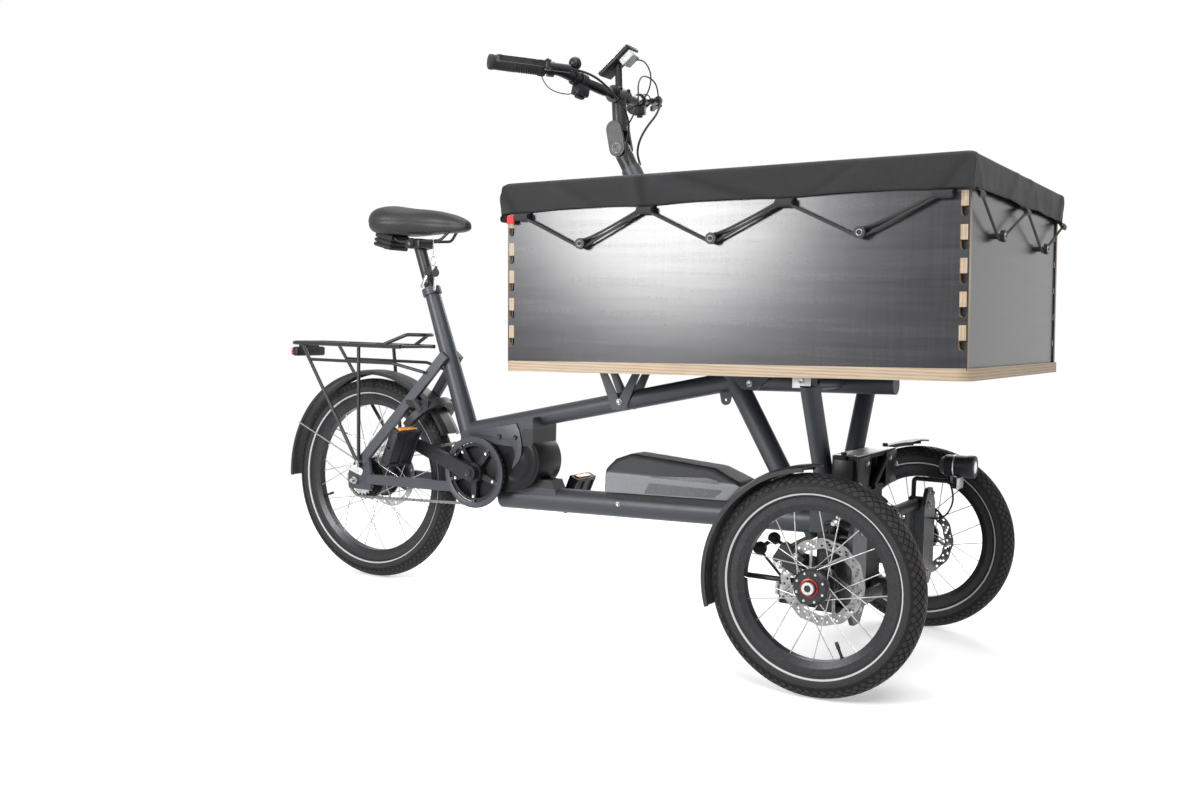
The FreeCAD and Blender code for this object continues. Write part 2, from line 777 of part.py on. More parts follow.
def rim(x, z, outer_r, y):
    """Box section under the tyre with two low flanges."""
    seat = outer_r - TYRE_BEAD_DEPTH
    inner = seat - RIM_DEPTH
    profile = [
        (inner, y - RIM_INNER_HALF_W), (inner, y + RIM_INNER_HALF_W),
        (seat - RIM_DEPTH / 2, y + RIM_HALF_W), (seat, y + RIM_HALF_W),
        (seat, y - RIM_HALF_W), (seat - RIM_DEPTH / 2, y - RIM_HALF_W),
    ]
    return turned(profile, x, z)


def spokes(x, z, outer_r, y, count, flange_r, flange_in, flange_out):
    """Tangent spokes, alternately from the two flanges and leaning both ways."""
    rim_r = outer_r - TYRE_BEAD_DEPTH - RIM_DEPTH + SPOKE_SINK
    made = []
    for i in range(count):
        rim_deg = 360.0 * i / count
        lean = SPOKE_LEAN_DEG if (i // 2) % 2 else -SPOKE_LEAN_DEG
        beside = SPOKE_R * SPOKE_BESIDE_SHARE if lean > 0 else -SPOKE_R * SPOKE_BESIDE_SHARE
        flange_y = y + beside + (flange_in if i % 2 else flange_out)
        rim_y = y + beside + (-RIM_INNER_HALF_W if i % 2 else RIM_INNER_HALF_W) * SPOKE_RIM_SHARE
        foot = on_circle(x, z, flange_r - SPOKE_SINK, rim_deg + lean, flange_y)
        tip = on_circle(x, z, rim_r, rim_deg, rim_y)
        made.append(rod(foot, tip, SPOKE_R))
    return made


def rotor(x, z, y):
    """Brake disc: a holed band carried by slanting arms."""
    band = side_disc(x, z, ROTOR_R, y, y + ROTOR_THICK).cut(
        side_disc(x, z, ROTOR_R - ROTOR_BAND, y, y + ROTOR_THICK))
    centre = side_disc(x, z, ROTOR_HUB_R, y, y + ROTOR_THICK)
    parts = [band, centre]
    for i in range(ROTOR_ARMS):
        deg = 360.0 * i / ROTOR_ARMS
        root = on_circle(x, z, ROTOR_BORE_R, deg, y + ROTOR_THICK / 2)
        tip = on_circle(x, z, ROTOR_R - ROTOR_BAND / 2, deg + 180.0 / ROTOR_ARMS, y + ROTOR_THICK / 2)
        parts.append(bar(root, tip, ROTOR_THICK, ROTOR_ARM_W, Y_DIR))
    disc = join(parts).cut(side_disc(x, z, ROTOR_BORE_R, y, y + ROTOR_THICK))
    for i in range(ROTOR_HOLES):
        hole = on_circle(x, z, ROTOR_R - ROTOR_BAND / 2, 180.0 * (2 * i + 1) / ROTOR_HOLES, y)
        disc = disc.cut(rod(hole, hole.add(Y_DIR * ROTOR_THICK), ROTOR_HOLE_R))
    return disc


def toothed_disc(x, z, teeth, pitch_r, y0, y1, bore_r):
    """Teeth are kept inside the chain's inner line."""
    tip = pitch_r - CHAIN_HALF_H - TOUCH_GAP
    root = tip - TOOTH_DEPTH
    points = []
    for i in range(teeth):
        outline = [(share, root) for share in TOOTH_ROOT_SHARES] + [(share,
                tip) for share in TOOTH_TIP_SHARES]
        for share, r in sorted(outline):
            a = 2 * math.pi * (i + share) / teeth
            points.append((x + r * math.cos(a), z + r * math.sin(a)))
    return side_plate(points, y0, y1).cut(side_disc(x, z, bore_r, y0, y1))


def make_front_wheel(side):
    """side is +1 for the left wheel and -1 for the right one."""
    name = "front_left" if side > 0 else "front_right"
    x, z, y = FRONT_AT, FRONT_TYRE_R, TRACK / 2
    hub_profile = [
        (FRONT_AXLE_R + RUN_FIT, y + FRONT_HUB_IN), (ROTOR_HUB_R, y + FRONT_HUB_IN),
        (ROTOR_HUB_R, y + FRONT_HUB_IN + FLANGE_THICK), (FRONT_HUB_R, y + FRONT_HUB_IN + FLANGE_THICK),
        (FRONT_HUB_R, y + FRONT_FLANGE_AT - FLANGE_THICK / 2),
        (FRONT_FLANGE_R, y + FRONT_FLANGE_AT - FLANGE_THICK / 2),
        (FRONT_FLANGE_R, y + FRONT_FLANGE_AT + FLANGE_THICK / 2),
        (FRONT_HUB_R, y + FRONT_FLANGE_AT + FLANGE_THICK / 2), (FRONT_HUB_R, y + FRONT_CAP_AT),
        (FRONT_CAP_R, y + FRONT_CAP_AT), (FRONT_CAP_R, y + FRONT_HUB_OUT - FLANGE_THICK),
        (FRONT_FLANGE_R, y + FRONT_HUB_OUT), (FRONT_AXLE_R + RUN_FIT, y + FRONT_HUB_OUT),
    ]
    pieces = {
        "tyre": [tyre(x, z, FRONT_TYRE_R, y)],
        "rim": [rim(x, z, FRONT_TYRE_R, y)],
        "spokes": spokes(x, z, FRONT_TYRE_R, y, FRONT_SPOKES, FRONT_FLANGE_R,
                         FRONT_FLANGE_AT, FRONT_CAP_AT + FLANGE_THICK),
        "hub": [turned(hub_profile, x, z)],
        "rotor": [rotor(x, z, y + FRONT_HUB_IN - ROTOR_THICK)],
    }
    for piece, solids in pieces.items():
        keep(name + "_" + piece, solids if side > 0 else [mirrored(s) for s in solids])


def make_rear_wheel():
    x, z = 0.0, REAR_TYRE_R
    keep("rear_tyre", tyre(x, z, REAR_TYRE_R, 0.0))
    keep("rear_rim", rim(x, z, REAR_TYRE_R, 0.0))
    keep("rear_spokes", spokes(x, z, REAR_TYRE_R, 0.0, REAR_SPOKES, REAR_FLANGE_R,
                               -REAR_FLANGE_AT, REAR_FLANGE_AT))
    bore = REAR_AXLE_R + RUN_FIT
    hub_profile = [
        (bore, -REAR_HUB_END), (DRIVER_R, -REAR_HUB_END), (DRIVER_R, -REAR_HUB_HALF),
        (REAR_HUB_R, -REAR_HUB_HALF),
        (REAR_HUB_R, -REAR_FLANGE_AT - FLANGE_THICK / 2), (REAR_FLANGE_R,
                                                           -REAR_FLANGE_AT - FLANGE_THICK / 2),
        (REAR_FLANGE_R, -REAR_FLANGE_AT + FLANGE_THICK / 2), (REAR_HUB_R,
                                                              -REAR_FLANGE_AT + FLANGE_THICK / 2),
        (REAR_HUB_R, REAR_FLANGE_AT - FLANGE_THICK / 2), (REAR_FLANGE_R, REAR_FLANGE_AT - FLANGE_THICK / 2),
        (REAR_FLANGE_R, REAR_FLANGE_AT + FLANGE_THICK / 2), (REAR_HUB_R, REAR_FLANGE_AT + FLANGE_THICK / 2),
        (REAR_HUB_R, REAR_HUB_HALF), (ROTOR_HUB_R, REAR_HUB_HALF), (ROTOR_HUB_R, REAR_ROTOR_AT),
        (ROTOR_BORE_R, REAR_ROTOR_AT), (ROTOR_BORE_R, REAR_HUB_END), (bore, REAR_HUB_END),
    ]
    keep("rear_hub", turned(hub_profile, x, z))
    keep("rear_rotor", rotor(x, z, REAR_ROTOR_AT))
    axle = side_disc(x, z, REAR_AXLE_R, -REAR_AXLE_HALF, REAR_AXLE_HALF)
    outer = DROPOUT_IN + DROPOUT_THICK
    hex_nut = side_plate([(x + AXLE_NUT_R * math.cos(k * math.pi / 3),
                           z + AXLE_NUT_R * math.sin(k * math.pi / 3))
                          for k in range(6)], outer, outer + AXLE_NUT_W)
    spacer = side_disc(x, z, AXLE_SPACER_R, REAR_HUB_END + TOUCH_GAP, DROPOUT_IN)
    shaft = join([axle] + both(hex_nut) + both(spacer))
    fender_r = REAR_TYRE_R + FENDER_GAP
    stay_top = on_circle(x, z, fender_r, FENDER_STAY_DEG, FENDER_HALF_W + FENDER_STAY_R)
    stay = rod(at(STAY_FOOT_AT, FENDER_STAY_Y, STAY_FOOT_Z), stay_top, FENDER_STAY_R)
    bolt = rod(at(STAY_FOOT_AT, DROPOUT_IN + DROPOUT_THICK, STAY_FOOT_Z),
               at(STAY_FOOT_AT, FENDER_STAY_Y + AXLE_NUT_W, STAY_FOOT_Z), REAR_AXLE_R)
    keep("rear_axle", [shaft] + both(join([stay, bolt])))


# Drive
def make_drive():
    bx, bz = CRANK_AT, CRANK_Z
    tip_x = bx + CRANK_LENGTH * math.cos(math.radians(CRANK_REST_DEG))
    tip_z = bz + CRANK_LENGTH * math.sin(math.radians(CRANK_REST_DEG))
    far_x, far_z = 2 * bx - tip_x, 2 * bz - tip_z
    right = hull_of_circles(bx, bz, CRANK_BOSS_R, tip_x, tip_z, CRANK_TIP_R, -CRANK_ARM_OUT, -CRANK_ARM_IN)
    left = hull_of_circles(bx, bz, CRANK_BOSS_R, far_x, far_z, CRANK_TIP_R, CRANK_ARM_IN, CRANK_ARM_OUT)
    axle = side_disc(bx, bz, CRANK_AXLE_R, -CRANK_ARM_IN, CRANK_ARM_IN)
    right_spindle = side_disc(tip_x, tip_z, PEDAL_SPINDLE_R, -PEDAL_OUT, -CRANK_ARM_OUT)
    left_spindle = side_disc(far_x, far_z, PEDAL_SPINDLE_R, CRANK_ARM_OUT, PEDAL_OUT)
    keep("crank_arms", join([axle, right, left, right_spindle, left_spindle]))

    tooth_in = CHAIN_Y + TOOTH_THICK / 2
    ring = toothed_disc(bx, bz, CHAINRING_TEETH, CHAINRING_R, tooth_in - TOOTH_THICK, tooth_in,
                        GUARD_INNER_R)
    guard = side_disc(bx, bz, GUARD_R, -GUARD_OUT_Y, -GUARD_IN_Y).cut(
        side_disc(bx, bz, GUARD_INNER_R, -GUARD_OUT_Y, -GUARD_IN_Y))
    slot_profile = [
        (GUARD_SLOT_R - GUARD_SLOT_W / 2, -GUARD_OUT_Y), (GUARD_SLOT_R + GUARD_SLOT_W / 2, -GUARD_OUT_Y),
        (GUARD_SLOT_R + GUARD_SLOT_W / 2, -GUARD_IN_Y), (GUARD_SLOT_R - GUARD_SLOT_W / 2, -GUARD_IN_Y),
    ]
    for i in range(GUARD_SLOTS):
        guard = guard.cut(turned(slot_profile, bx, bz, GUARD_SLOT_SPAN_DEG, 360.0 * i / GUARD_SLOTS))
    parts = [ring, guard, side_disc(bx, bz, SPIDER_R, -CRANK_ARM_IN, tooth_in)]
    for i in range(SPIDER_ARMS):
        deg = CRANK_REST_DEG + 180.0 * (2 * i + 1) / SPIDER_ARMS
        y_mid = (tooth_in - TOOTH_THICK - GUARD_OUT_Y) / 2
        root = on_circle(bx, bz, CRANK_AXLE_R, deg, y_mid)
        tip = on_circle(bx, bz, GUARD_INNER_R + TOOTH_THICK, deg, y_mid)
        parts.append(bar(root, tip, GUARD_OUT_Y + tooth_in, SPIDER_ARM_W, Y_DIR))
    bore = side_disc(bx, bz, CRANK_AXLE_R, -CRANK_ARM_IN, tooth_in)
    keep("chainring", join(parts).cut(bore))

    outer = hull_of_circles(bx, bz, CHAINRING_R + CHAIN_HALF_H, 0, REAR_TYRE_R, SPROCKET_R + CHAIN_HALF_H,
                            CHAIN_Y - CHAIN_HALF_W, CHAIN_Y + CHAIN_HALF_W)
    inner = hull_of_circles(bx, bz, CHAINRING_R - CHAIN_HALF_H, 0, REAR_TYRE_R, SPROCKET_R - CHAIN_HALF_H,
                            CHAIN_Y - CHAIN_HALF_W, CHAIN_Y + CHAIN_HALF_W)
    keep("chain", outer.cut(inner))
    keep("rear_sprocket", toothed_disc(0, REAR_TYRE_R, SPROCKET_TEETH, SPROCKET_R,
                                       tooth_in - TOOTH_THICK, tooth_in, DRIVER_R + RUN_FIT))

    for name, x, z, side in (("pedal_right", tip_x, tip_z, -1), ("pedal_left", far_x, far_z, 1)):
        half = PEDAL_LENGTH / 2
        rails = []
        for y0 in (PEDAL_IN, (PEDAL_IN + PEDAL_OUT - PEDAL_RAIL_W) / 2, PEDAL_OUT - PEDAL_RAIL_W):
            rails.append(block(x - half, x + half, y0, y0 + PEDAL_RAIL_W, z - PEDAL_THICK / 2,
                               z + PEDAL_THICK / 2))
        for sign in (-1, 1):
            edge = x + sign * (half - PEDAL_RAIL_W / 2)
            rails.append(block(edge - PEDAL_RAIL_W / 2, edge + PEDAL_RAIL_W / 2, PEDAL_IN, PEDAL_OUT,
                               z - PEDAL_THICK / 2, z + PEDAL_THICK / 2))
        barrel = side_disc(x, z, PEDAL_BARREL_R, PEDAL_IN, PEDAL_OUT)
        pedal = join(rails + [barrel]).cut(side_disc(x, z, PEDAL_SPINDLE_R + RUN_FIT, PEDAL_IN, PEDAL_OUT))
        pedal.rotate(at(x, 0, z), Y_DIR, -PEDAL_REST_DEG)
        keep(name, pedal if side > 0 else mirrored(pedal))


def motor_body():
    shell = hull_of_circles(CRANK_AT, CRANK_Z, MOTOR_CRANK_R, MOTOR_AT, MOTOR_Z, MOTOR_R,
                            -MOTOR_HALF_W, MOTOR_HALF_W)
    return shell


# Frame
def make_frame():
    seat = taper(seat_axis(SEAT_TUBE_LOW_Z), seat_axis(SEAT_TUBE_TOP_Z), SEAT_TUBE_FOOT_R, SEAT_TUBE_TOP_R)
    seat = seat.cut(rod(seat_axis(SEAT_BORE_LOW_Z), seat_axis(SEAT_TUBE_TOP_Z + OVERRUN),
                        SEAT_POST_R + RUN_FIT))
    upper_foot = at(UPPER_TUBE_FOOT_AT, 0, UPPER_TUBE_FOOT_Z)
    upper_bend = at(UPPER_TUBE_BEND_AT, 0, UPPER_TUBE_BEND_Z)
    upper_front = at(UPPER_TUBE_FRONT_AT, 0, upper_tube_z(UPPER_TUBE_FRONT_AT))
    upper_rear = rod(upper_foot, upper_bend, UPPER_TUBE_R)
    upper_nose = rod(upper_bend, upper_front, UPPER_TUBE_R)
    lower = rod(at(LOWER_TUBE_REAR_AT, 0, LOWER_TUBE_REAR_Z), at(LOWER_TUBE_END_AT, 0, LOWER_TUBE_FRONT_Z),
                LOWER_TUBE_R)
    lower = lower.cut(block(LOWER_TUBE_END_AT, LOWER_TUBE_END_AT + OVERRUN, -LOWER_TUBE_R, LOWER_TUBE_R, 0,
                            FRONT_NODE_TOP_Z))
    head = rod(steer_axis(HEAD_TUBE_LOW_Z), steer_axis(HEAD_TUBE_TOP_Z), HEAD_TUBE_R)
    cross = rod(at(CROSS_TUBE_AT, -CROSS_TUBE_HALF, CROSS_TUBE_Z),
                at(CROSS_TUBE_AT, CROSS_TUBE_HALF, CROSS_TUBE_Z),
                CROSS_TUBE_R)
    strut = rod(at(CROSS_TUBE_AT, STRUT_FOOT_Y, FRONT_NODE_TOP_Z),
                at(CROSS_TUBE_AT, STRUT_TOP_Y, CROSS_TUBE_Z),
                STRUT_R)
    strut = strut.cut(block(FRONT_NODE_BACK_AT - OVERRUN, LOWER_TUBE_END_AT, 0, STRUT_TOP_Y,
                            FRONT_NODE_TOP_Z - OVERRUN, FRONT_NODE_TOP_Z))
    node = block(FRONT_NODE_BACK_AT, LOWER_TUBE_END_AT, -FRONT_NODE_HALF_W, FRONT_NODE_HALF_W,
                 FRONT_NODE_LOW_Z, FRONT_NODE_TOP_Z)
    tab = side_plate([(TAB_AT - TAB_ROOT_HALF, UPPER_TUBE_BEND_Z),
                      (TAB_AT + TAB_ROOT_HALF, UPPER_TUBE_BEND_Z),
                      (TAB_AT + TAB_R, TAB_Z), (TAB_AT - TAB_R, TAB_Z)], -TAB_THICK / 2, TAB_THICK / 2)
    tab = tab.fuse(side_disc(TAB_AT, TAB_Z, TAB_R, -TAB_THICK / 2, TAB_THICK / 2))
    tab = tab.cut(side_disc(TAB_AT, TAB_Z, TAB_HOLE_R, -TAB_THICK / 2, TAB_THICK / 2))
    motor = motor_body()
    wide = MOTOR_HALF_W + CRADLE_WALL
    cradle = side_plate([
        (CRADLE_FOOT_AT, CRADLE_LOW_Z), (CRADLE_FOOT_AT, upper_tube_z(CRADLE_FOOT_AT)),
        (CRADLE_NOSE_AT, upper_tube_z(CRADLE_NOSE_AT)), (CRADLE_NOSE_AT, CRADLE_LOW_Z + CRADLE_WALL),
        (MOTOR_AT, MOTOR_Z + MOTOR_R / 2), (CRANK_AT, CRADLE_LOW_Z)], -wide, wide)
    link = side_plate([
        (LINK_BACK_AT, lower_tube_z(LINK_BACK_AT)), (MOTOR_AT, LINK_TOP_Z),
        (LINK_NOSE_AT - LINK_HALF_W, LINK_TOP_Z),
        (LINK_NOSE_AT, lower_tube_z(LINK_NOSE_AT))], -LINK_HALF_W, LINK_HALF_W)
    clamp = tube(seat_axis(SEAT_TUBE_TOP_Z - SEAT_CLAMP_H), seat_axis(SEAT_TUBE_TOP_Z), SEAT_CLAMP_R,
                 SEAT_POST_R + RUN_FIT)
    solids = fitted([lower, head, seat, upper_rear, upper_nose, node, cross, strut, mirrored(strut), tab,
                     cradle.cut(motor), link.cut(motor), clamp])
    steer_bore = rod(steer_axis(BALL_Z), steer_axis(HEAD_TUBE_TOP_Z + OVERRUN), STEERER_R + RUN_FIT)
    tidy = []
    for solid in solids:
        tidy.extend(solid.cut(steer_bore).cut(motor).Solids)
    keep("main_frame", tidy)

    casing = motor.cut(side_disc(CRANK_AT, CRANK_Z, CRANK_AXLE_R + RUN_FIT, -MOTOR_HALF_W, MOTOR_HALF_W))
    cap = taper(at(MOTOR_AT, MOTOR_HALF_W, MOTOR_Z), at(MOTOR_AT, MOTOR_HALF_W + MOTOR_CAP_RISE, MOTOR_Z),
                MOTOR_CAP_R, MOTOR_CAP_R - MOTOR_CAP_RISE)
    for solid in solids:
        cap = cap.cut(solid)
    keep("motor_unit", casing.fuse(cap).removeSplitter())
    return solids


def make_stays(frame):
    mid = DROPOUT_IN + DROPOUT_THICK / 2
    seat_stay = bar(at(STAY_TOP_AT, STAY_TOP_Y, STAY_TOP_Z), at(STAY_FOOT_AT, mid, STAY_FOOT_Z),
                    STAY_W, STAY_H, Y_DIR)
    chain_stay = bar(at(CHAINSTAY_FRONT_AT, CHAINSTAY_FRONT_Y, CHAINSTAY_Z),
                     at(CHAINSTAY_REAR_AT, mid, CHAINSTAY_Z),
                     STAY_W, STAY_H, Y_DIR)
    z = REAR_TYRE_R
    dropout = side_plate([
        (-DROPOUT_BACK, z - DROPOUT_DROP), (DROPOUT_FRONT, z - DROPOUT_DROP),
        (DROPOUT_FRONT, z + DROPOUT_DROP),
        (STAY_FOOT_AT + STAY_H, z + DROPOUT_RISE), (STAY_FOOT_AT - STAY_H / 2, z + DROPOUT_RISE),
        (-DROPOUT_BACK, z + DROPOUT_DROP)], DROPOUT_IN, DROPOUT_IN + DROPOUT_THICK)
    dropout = dropout.cut(side_disc(0, z, REAR_AXLE_R, DROPOUT_IN, DROPOUT_IN + DROPOUT_THICK))
    made = fitted([dropout, seat_stay, chain_stay])
    tidy = []
    for solid in made:
        for other in frame + [motor_body()] + NODES["rear_axle"].Solids:
            solid = solid.cut(other)
        tidy.append(max(solid.Solids, key=lambda s: s.Volume))
    keep("rear_stays", tidy + [mirrored(s) for s in tidy])


# Rear rack, lamp, fender and lock
def fender(x, z, y, inner_r, front_deg, rear_deg):
    """A thin crowned strip with turned-down edges, swept round the wheel."""
    outer_r = inner_r + FENDER_THICK
    side = FENDER_HALF_W - FENDER_THICK
    profile = [
        (inner_r - FENDER_SKIRT, y - FENDER_HALF_W), (outer_r - FENDER_CROWN / 2, y - FENDER_HALF_W),
        (outer_r, y - FENDER_HALF_W / 2), (outer_r, y + FENDER_HALF_W / 2),
        (outer_r - FENDER_CROWN / 2, y + FENDER_HALF_W), (inner_r - FENDER_SKIRT, y + FENDER_HALF_W),
        (inner_r - FENDER_SKIRT, y + side), (inner_r - FENDER_CROWN / 2, y + side),
        (inner_r, y + FENDER_HALF_W / 2), (inner_r, y - FENDER_HALF_W / 2),
        (inner_r - FENDER_CROWN / 2, y - side), (inner_r - FENDER_SKIRT, y - side),
    ]
    return turned(profile, x, z, rear_deg - front_deg, front_deg)


def make_rear_rack():
    r = RACK_TUBE_R
    rails = bent_rod([at(RACK_FRONT_AT, -RACK_HALF_W, RACK_Z), at(RACK_REAR_AT, -RACK_HALF_W, RACK_Z),
                      at(RACK_REAR_AT, RACK_HALF_W, RACK_Z), at(RACK_FRONT_AT, RACK_HALF_W, RACK_Z)], r,
                      RACK_BEND_R)
    parts = [rails]
    step = (RACK_FRONT_AT - RACK_REAR_AT) / (RACK_BAR_COUNT + 1)
    for i in range(RACK_BAR_COUNT + 1):
        x = RACK_FRONT_AT - r - step * i
        parts.append(rod(at(x, -RACK_HALF_W, RACK_Z), at(x, RACK_HALF_W, RACK_Z), RACK_BAR_R))
    foot = at(STAY_FOOT_AT, RACK_LEG_Y, RACK_LEG_Z)
    for top_x in (RACK_LEG_TOP_AT, RACK_POST_TOP_AT):
        parts += both(rod(foot, at(top_x, RACK_HALF_W, RACK_Z), RACK_LEG_R))
    share = (RACK_STRUT_Z - RACK_LEG_Z) / (RACK_Z - RACK_LEG_Z)
    strut_y = RACK_LEG_Y + (RACK_HALF_W - RACK_LEG_Y) * share
    strut_x = STAY_FOOT_AT + (RACK_LEG_TOP_AT - STAY_FOOT_AT) * share
    strut = bent_rod([at(strut_x, strut_y, RACK_STRUT_Z), at(RACK_STRUT_FRONT_AT, RACK_STRUT_Y,
                                                             RACK_STRUT_Z),
                      at(RACK_STAY_AT, RACK_STAY_Y, RACK_STAY_Z)], RACK_BAR_R, RACK_BEND_R)
    parts += both(strut)
    handle = bent_rod([at(RACK_HANDLE_BACK_AT, -RACK_HALF_W, RACK_Z),
                       at(RACK_FRONT_AT, -RACK_HANDLE_HALF_W, RACK_Z + RACK_HANDLE_RISE),
                       at(RACK_HANDLE_FRONT_AT, -RACK_HANDLE_HALF_W / 2, RACK_Z + RACK_HANDLE_RISE),
                       at(RACK_HANDLE_FRONT_AT, RACK_HANDLE_HALF_W / 2, RACK_Z + RACK_HANDLE_RISE),
                       at(RACK_FRONT_AT, RACK_HANDLE_HALF_W, RACK_Z + RACK_HANDLE_RISE),
                       at(RACK_HANDLE_BACK_AT, RACK_HALF_W, RACK_Z)], RACK_LEG_R, RACK_BEND_R)
    parts.append(handle)
    rack = join(parts)
    outer = DROPOUT_IN + DROPOUT_THICK
    lug = rod(at(STAY_FOOT_AT, outer, RACK_LEG_Z), at(STAY_FOOT_AT, RACK_LEG_Y, RACK_LEG_Z), r)
    rack = join([rack] + both(lug))
    for solid in NODES["rear_stays"].Solids + [NODES["rear_axle"]]:
        rack = rack.cut(solid)
    keep("rear_rack", max(rack.Solids, key=lambda s: s.Volume))
    lamp_x = RACK_REAR_AT - TAIL_LAMP_DEPTH / 2
    lamp_top = RACK_Z - r - TAIL_LAMP_DROP
    lamp = block(lamp_x, lamp_x + TAIL_LAMP_DEPTH, -TAIL_LAMP_HALF_W, TAIL_LAMP_HALF_W,
                 lamp_top - TAIL_LAMP_H, lamp_top)
    lamp = lamp.makeFillet(TAIL_LAMP_H / 4, lamp.Edges)
    hanger = block(RACK_REAR_AT - r, RACK_REAR_AT + r, -TAIL_LAMP_H, TAIL_LAMP_H,
                   lamp_top - TAIL_LAMP_DROP, RACK_Z)
    keep("tail_light", lamp.fuse(hanger).cut(rack).removeSplitter())
    keep("rear_fender", fender(0, REAR_TYRE_R, 0, REAR_TYRE_R + FENDER_GAP,
                               REAR_FENDER_FRONT_DEG, REAR_FENDER_REAR_DEG))


def make_ring_lock(frame):
    """A horseshoe round the tyre and fender, open towards the axle, hung on the seat stays."""
    middle = REAR_TYRE_R - TYRE_SECTION_R
    centre = on_circle(0, REAR_TYRE_R, middle, 0)
    ring = rod(centre.sub(Z_DIR * (LOCK_THICK / 2)), centre.add(Z_DIR * (LOCK_THICK / 2)),
               LOCK_BORE_R + LOCK_RIM)
    ring = ring.cut(rod(centre.sub(Z_DIR * LOCK_THICK), centre.add(Z_DIR * LOCK_THICK), LOCK_BORE_R))
    gate = LOCK_BORE_R + LOCK_RIM
    ring = ring.cut(Part.makeBox(gate, 2 * gate, 2 * LOCK_THICK,
                                 centre.sub(V(gate + LOCK_BORE_R * LOCK_ARM_SHARE, gate, LOCK_THICK))))
    barrel_at = centre.add(V(LOCK_BORE_R * LOCK_BARREL_SHARE, -LOCK_BORE_R - LOCK_RIM / 2 + LOCK_BARREL_R,
                             0))
    barrel = rod(barrel_at, barrel_at.add(Z_DIR * LOCK_BARREL_LENGTH), LOCK_BARREL_R)
    body = ring.fuse(barrel)
    body.rotate(at(0, 0, REAR_TYRE_R), Y_DIR, -LOCK_DEG)
    ear_z = REAR_TYRE_R + (middle + LOCK_BORE_R) * math.sin(math.radians(LOCK_DEG))
    ear_x = (middle + LOCK_BORE_R) * math.cos(math.radians(LOCK_DEG))
    share = (STAY_TOP_Z - ear_z) / (STAY_TOP_Z - STAY_FOOT_Z)
    stay_x = STAY_TOP_AT + (STAY_FOOT_AT - STAY_TOP_AT) * share
    stay_y = STAY_TOP_Y + (DROPOUT_IN + DROPOUT_THICK / 2 - STAY_TOP_Y) * share
    ear = bar(at(stay_x, stay_y, ear_z), at(ear_x, stay_y, ear_z), STAY_W, LOCK_THICK, Y_DIR)
    lock = body.multiFuse(both(ear))
    for solid in NODES["rear_stays"].Solids + [NODES["rear_fender"]] + frame:
        lock = lock.cut(solid)
    keep("ring_lock", max(lock.Solids, key=lambda s: s.Volume))


# Seat
def saddle_section(share_x, share_w, share_top, share_low):
    x = SADDLE_REAR_AT + SADDLE_LENGTH * share_x
    w = SADDLE_HALF_W * share_w
    low = SADDLE_BASE_Z + SADDLE_HEIGHT * share_low * SADDLE_LOW_SHARE
    top = SADDLE_BASE_Z + SADDLE_HEIGHT * share_top
    h = top - low
    foot_l, foot_r = at(x, -w * SADDLE_FOOT_SHARE, low), at(x, w * SADDLE_FOOT_SHARE, low)
    edge_z = low + h * SADDLE_EDGE_SHARE
    edge_l, edge_r = at(x, -w, edge_z), at(x, w, edge_z)
    rim_w, rim_z = w * SADDLE_RIM_W_SHARE, low + h * SADDLE_RIM_H_SHARE
    rim_l, rim_r = at(x, -rim_w, rim_z), at(x, rim_w, rim_z)
    edges = [
        Part.LineSegment(foot_l, foot_r).toShape(),
        Part.Arc(foot_r, edge_r, rim_r).toShape(),
        Part.Arc(rim_r, at(x, 0, top), rim_l).toShape(),
        Part.Arc(rim_l, edge_l, foot_l).toShape(),
    ]
    return Part.Wire(edges)


def make_seat():
    saddle = Part.makeLoft([saddle_section(*shares) for shares in SADDLE_SECTION_SHARES], True, False)
    keep("saddle", saddle)
    post = rod(seat_axis(SEAT_POST_LOW_Z), seat_axis(SEAT_POST_TOP_Z), SEAT_POST_R)
    head_at = seat_axis(SEAT_POST_TOP_Z)
    head = Part.makeBox(2 * SADDLE_HEAD_HALF, 2 * (SADDLE_RAIL_Y + SADDLE_RAIL_R * 2), SADDLE_HEAD_H,
                        head_at.sub(V(SADDLE_HEAD_HALF, SADDLE_RAIL_Y + SADDLE_RAIL_R * 2,
                                      SADDLE_HEAD_H / 3)))
    head = head.makeFillet(SADDLE_HEAD_H / 4, head.Edges)
    rail_low = SADDLE_RAIL_Z
    back = SADDLE_REAR_AT + SADDLE_LENGTH * RAIL_BACK_SHARE
    front = SADDLE_REAR_AT + SADDLE_LENGTH * RAIL_FRONT_SHARE
    rail = bent_rod([at(back, SADDLE_RAIL_Y * RAIL_SPREAD_SHARE, SADDLE_BASE_Z + SADDLE_HEIGHT / 4),
                     at(back + SADDLE_RAIL_Y, SADDLE_RAIL_Y, rail_low),
                     at(front - SADDLE_RAIL_Y * RAIL_SPREAD_SHARE, SADDLE_RAIL_Y, rail_low),
                     at(front, SADDLE_RAIL_Y / 2, SADDLE_BASE_Z + SADDLE_HEIGHT / 4)], SADDLE_RAIL_R,
                     SADDLE_RAIL_Y)
    rail = rail.cut(saddle)
    rail = max(rail.Solids, key=lambda s: s.Volume)
    rails = both(rail)
    bumper = rod(at(BUMPER_AT, 0, SADDLE_BASE_Z - BUMPER_LENGTH),
                 at(BUMPER_AT, 0, SADDLE_BASE_Z + BUMPER_LENGTH), BUMPER_R)
    bumper = bumper.cut(saddle)
    bumper = min(bumper.Solids, key=lambda s: s.CenterOfMass.z)
    body = post.fuse(head).removeSplitter()
    for piece in rails:
        body = body.cut(piece)
        bumper = bumper.cut(piece)
    keep("seat_post", [max(body.Solids, key=lambda s: s.Volume)] + rails + [max(bumper.Solids,
            key=lambda s: s.Volume)])


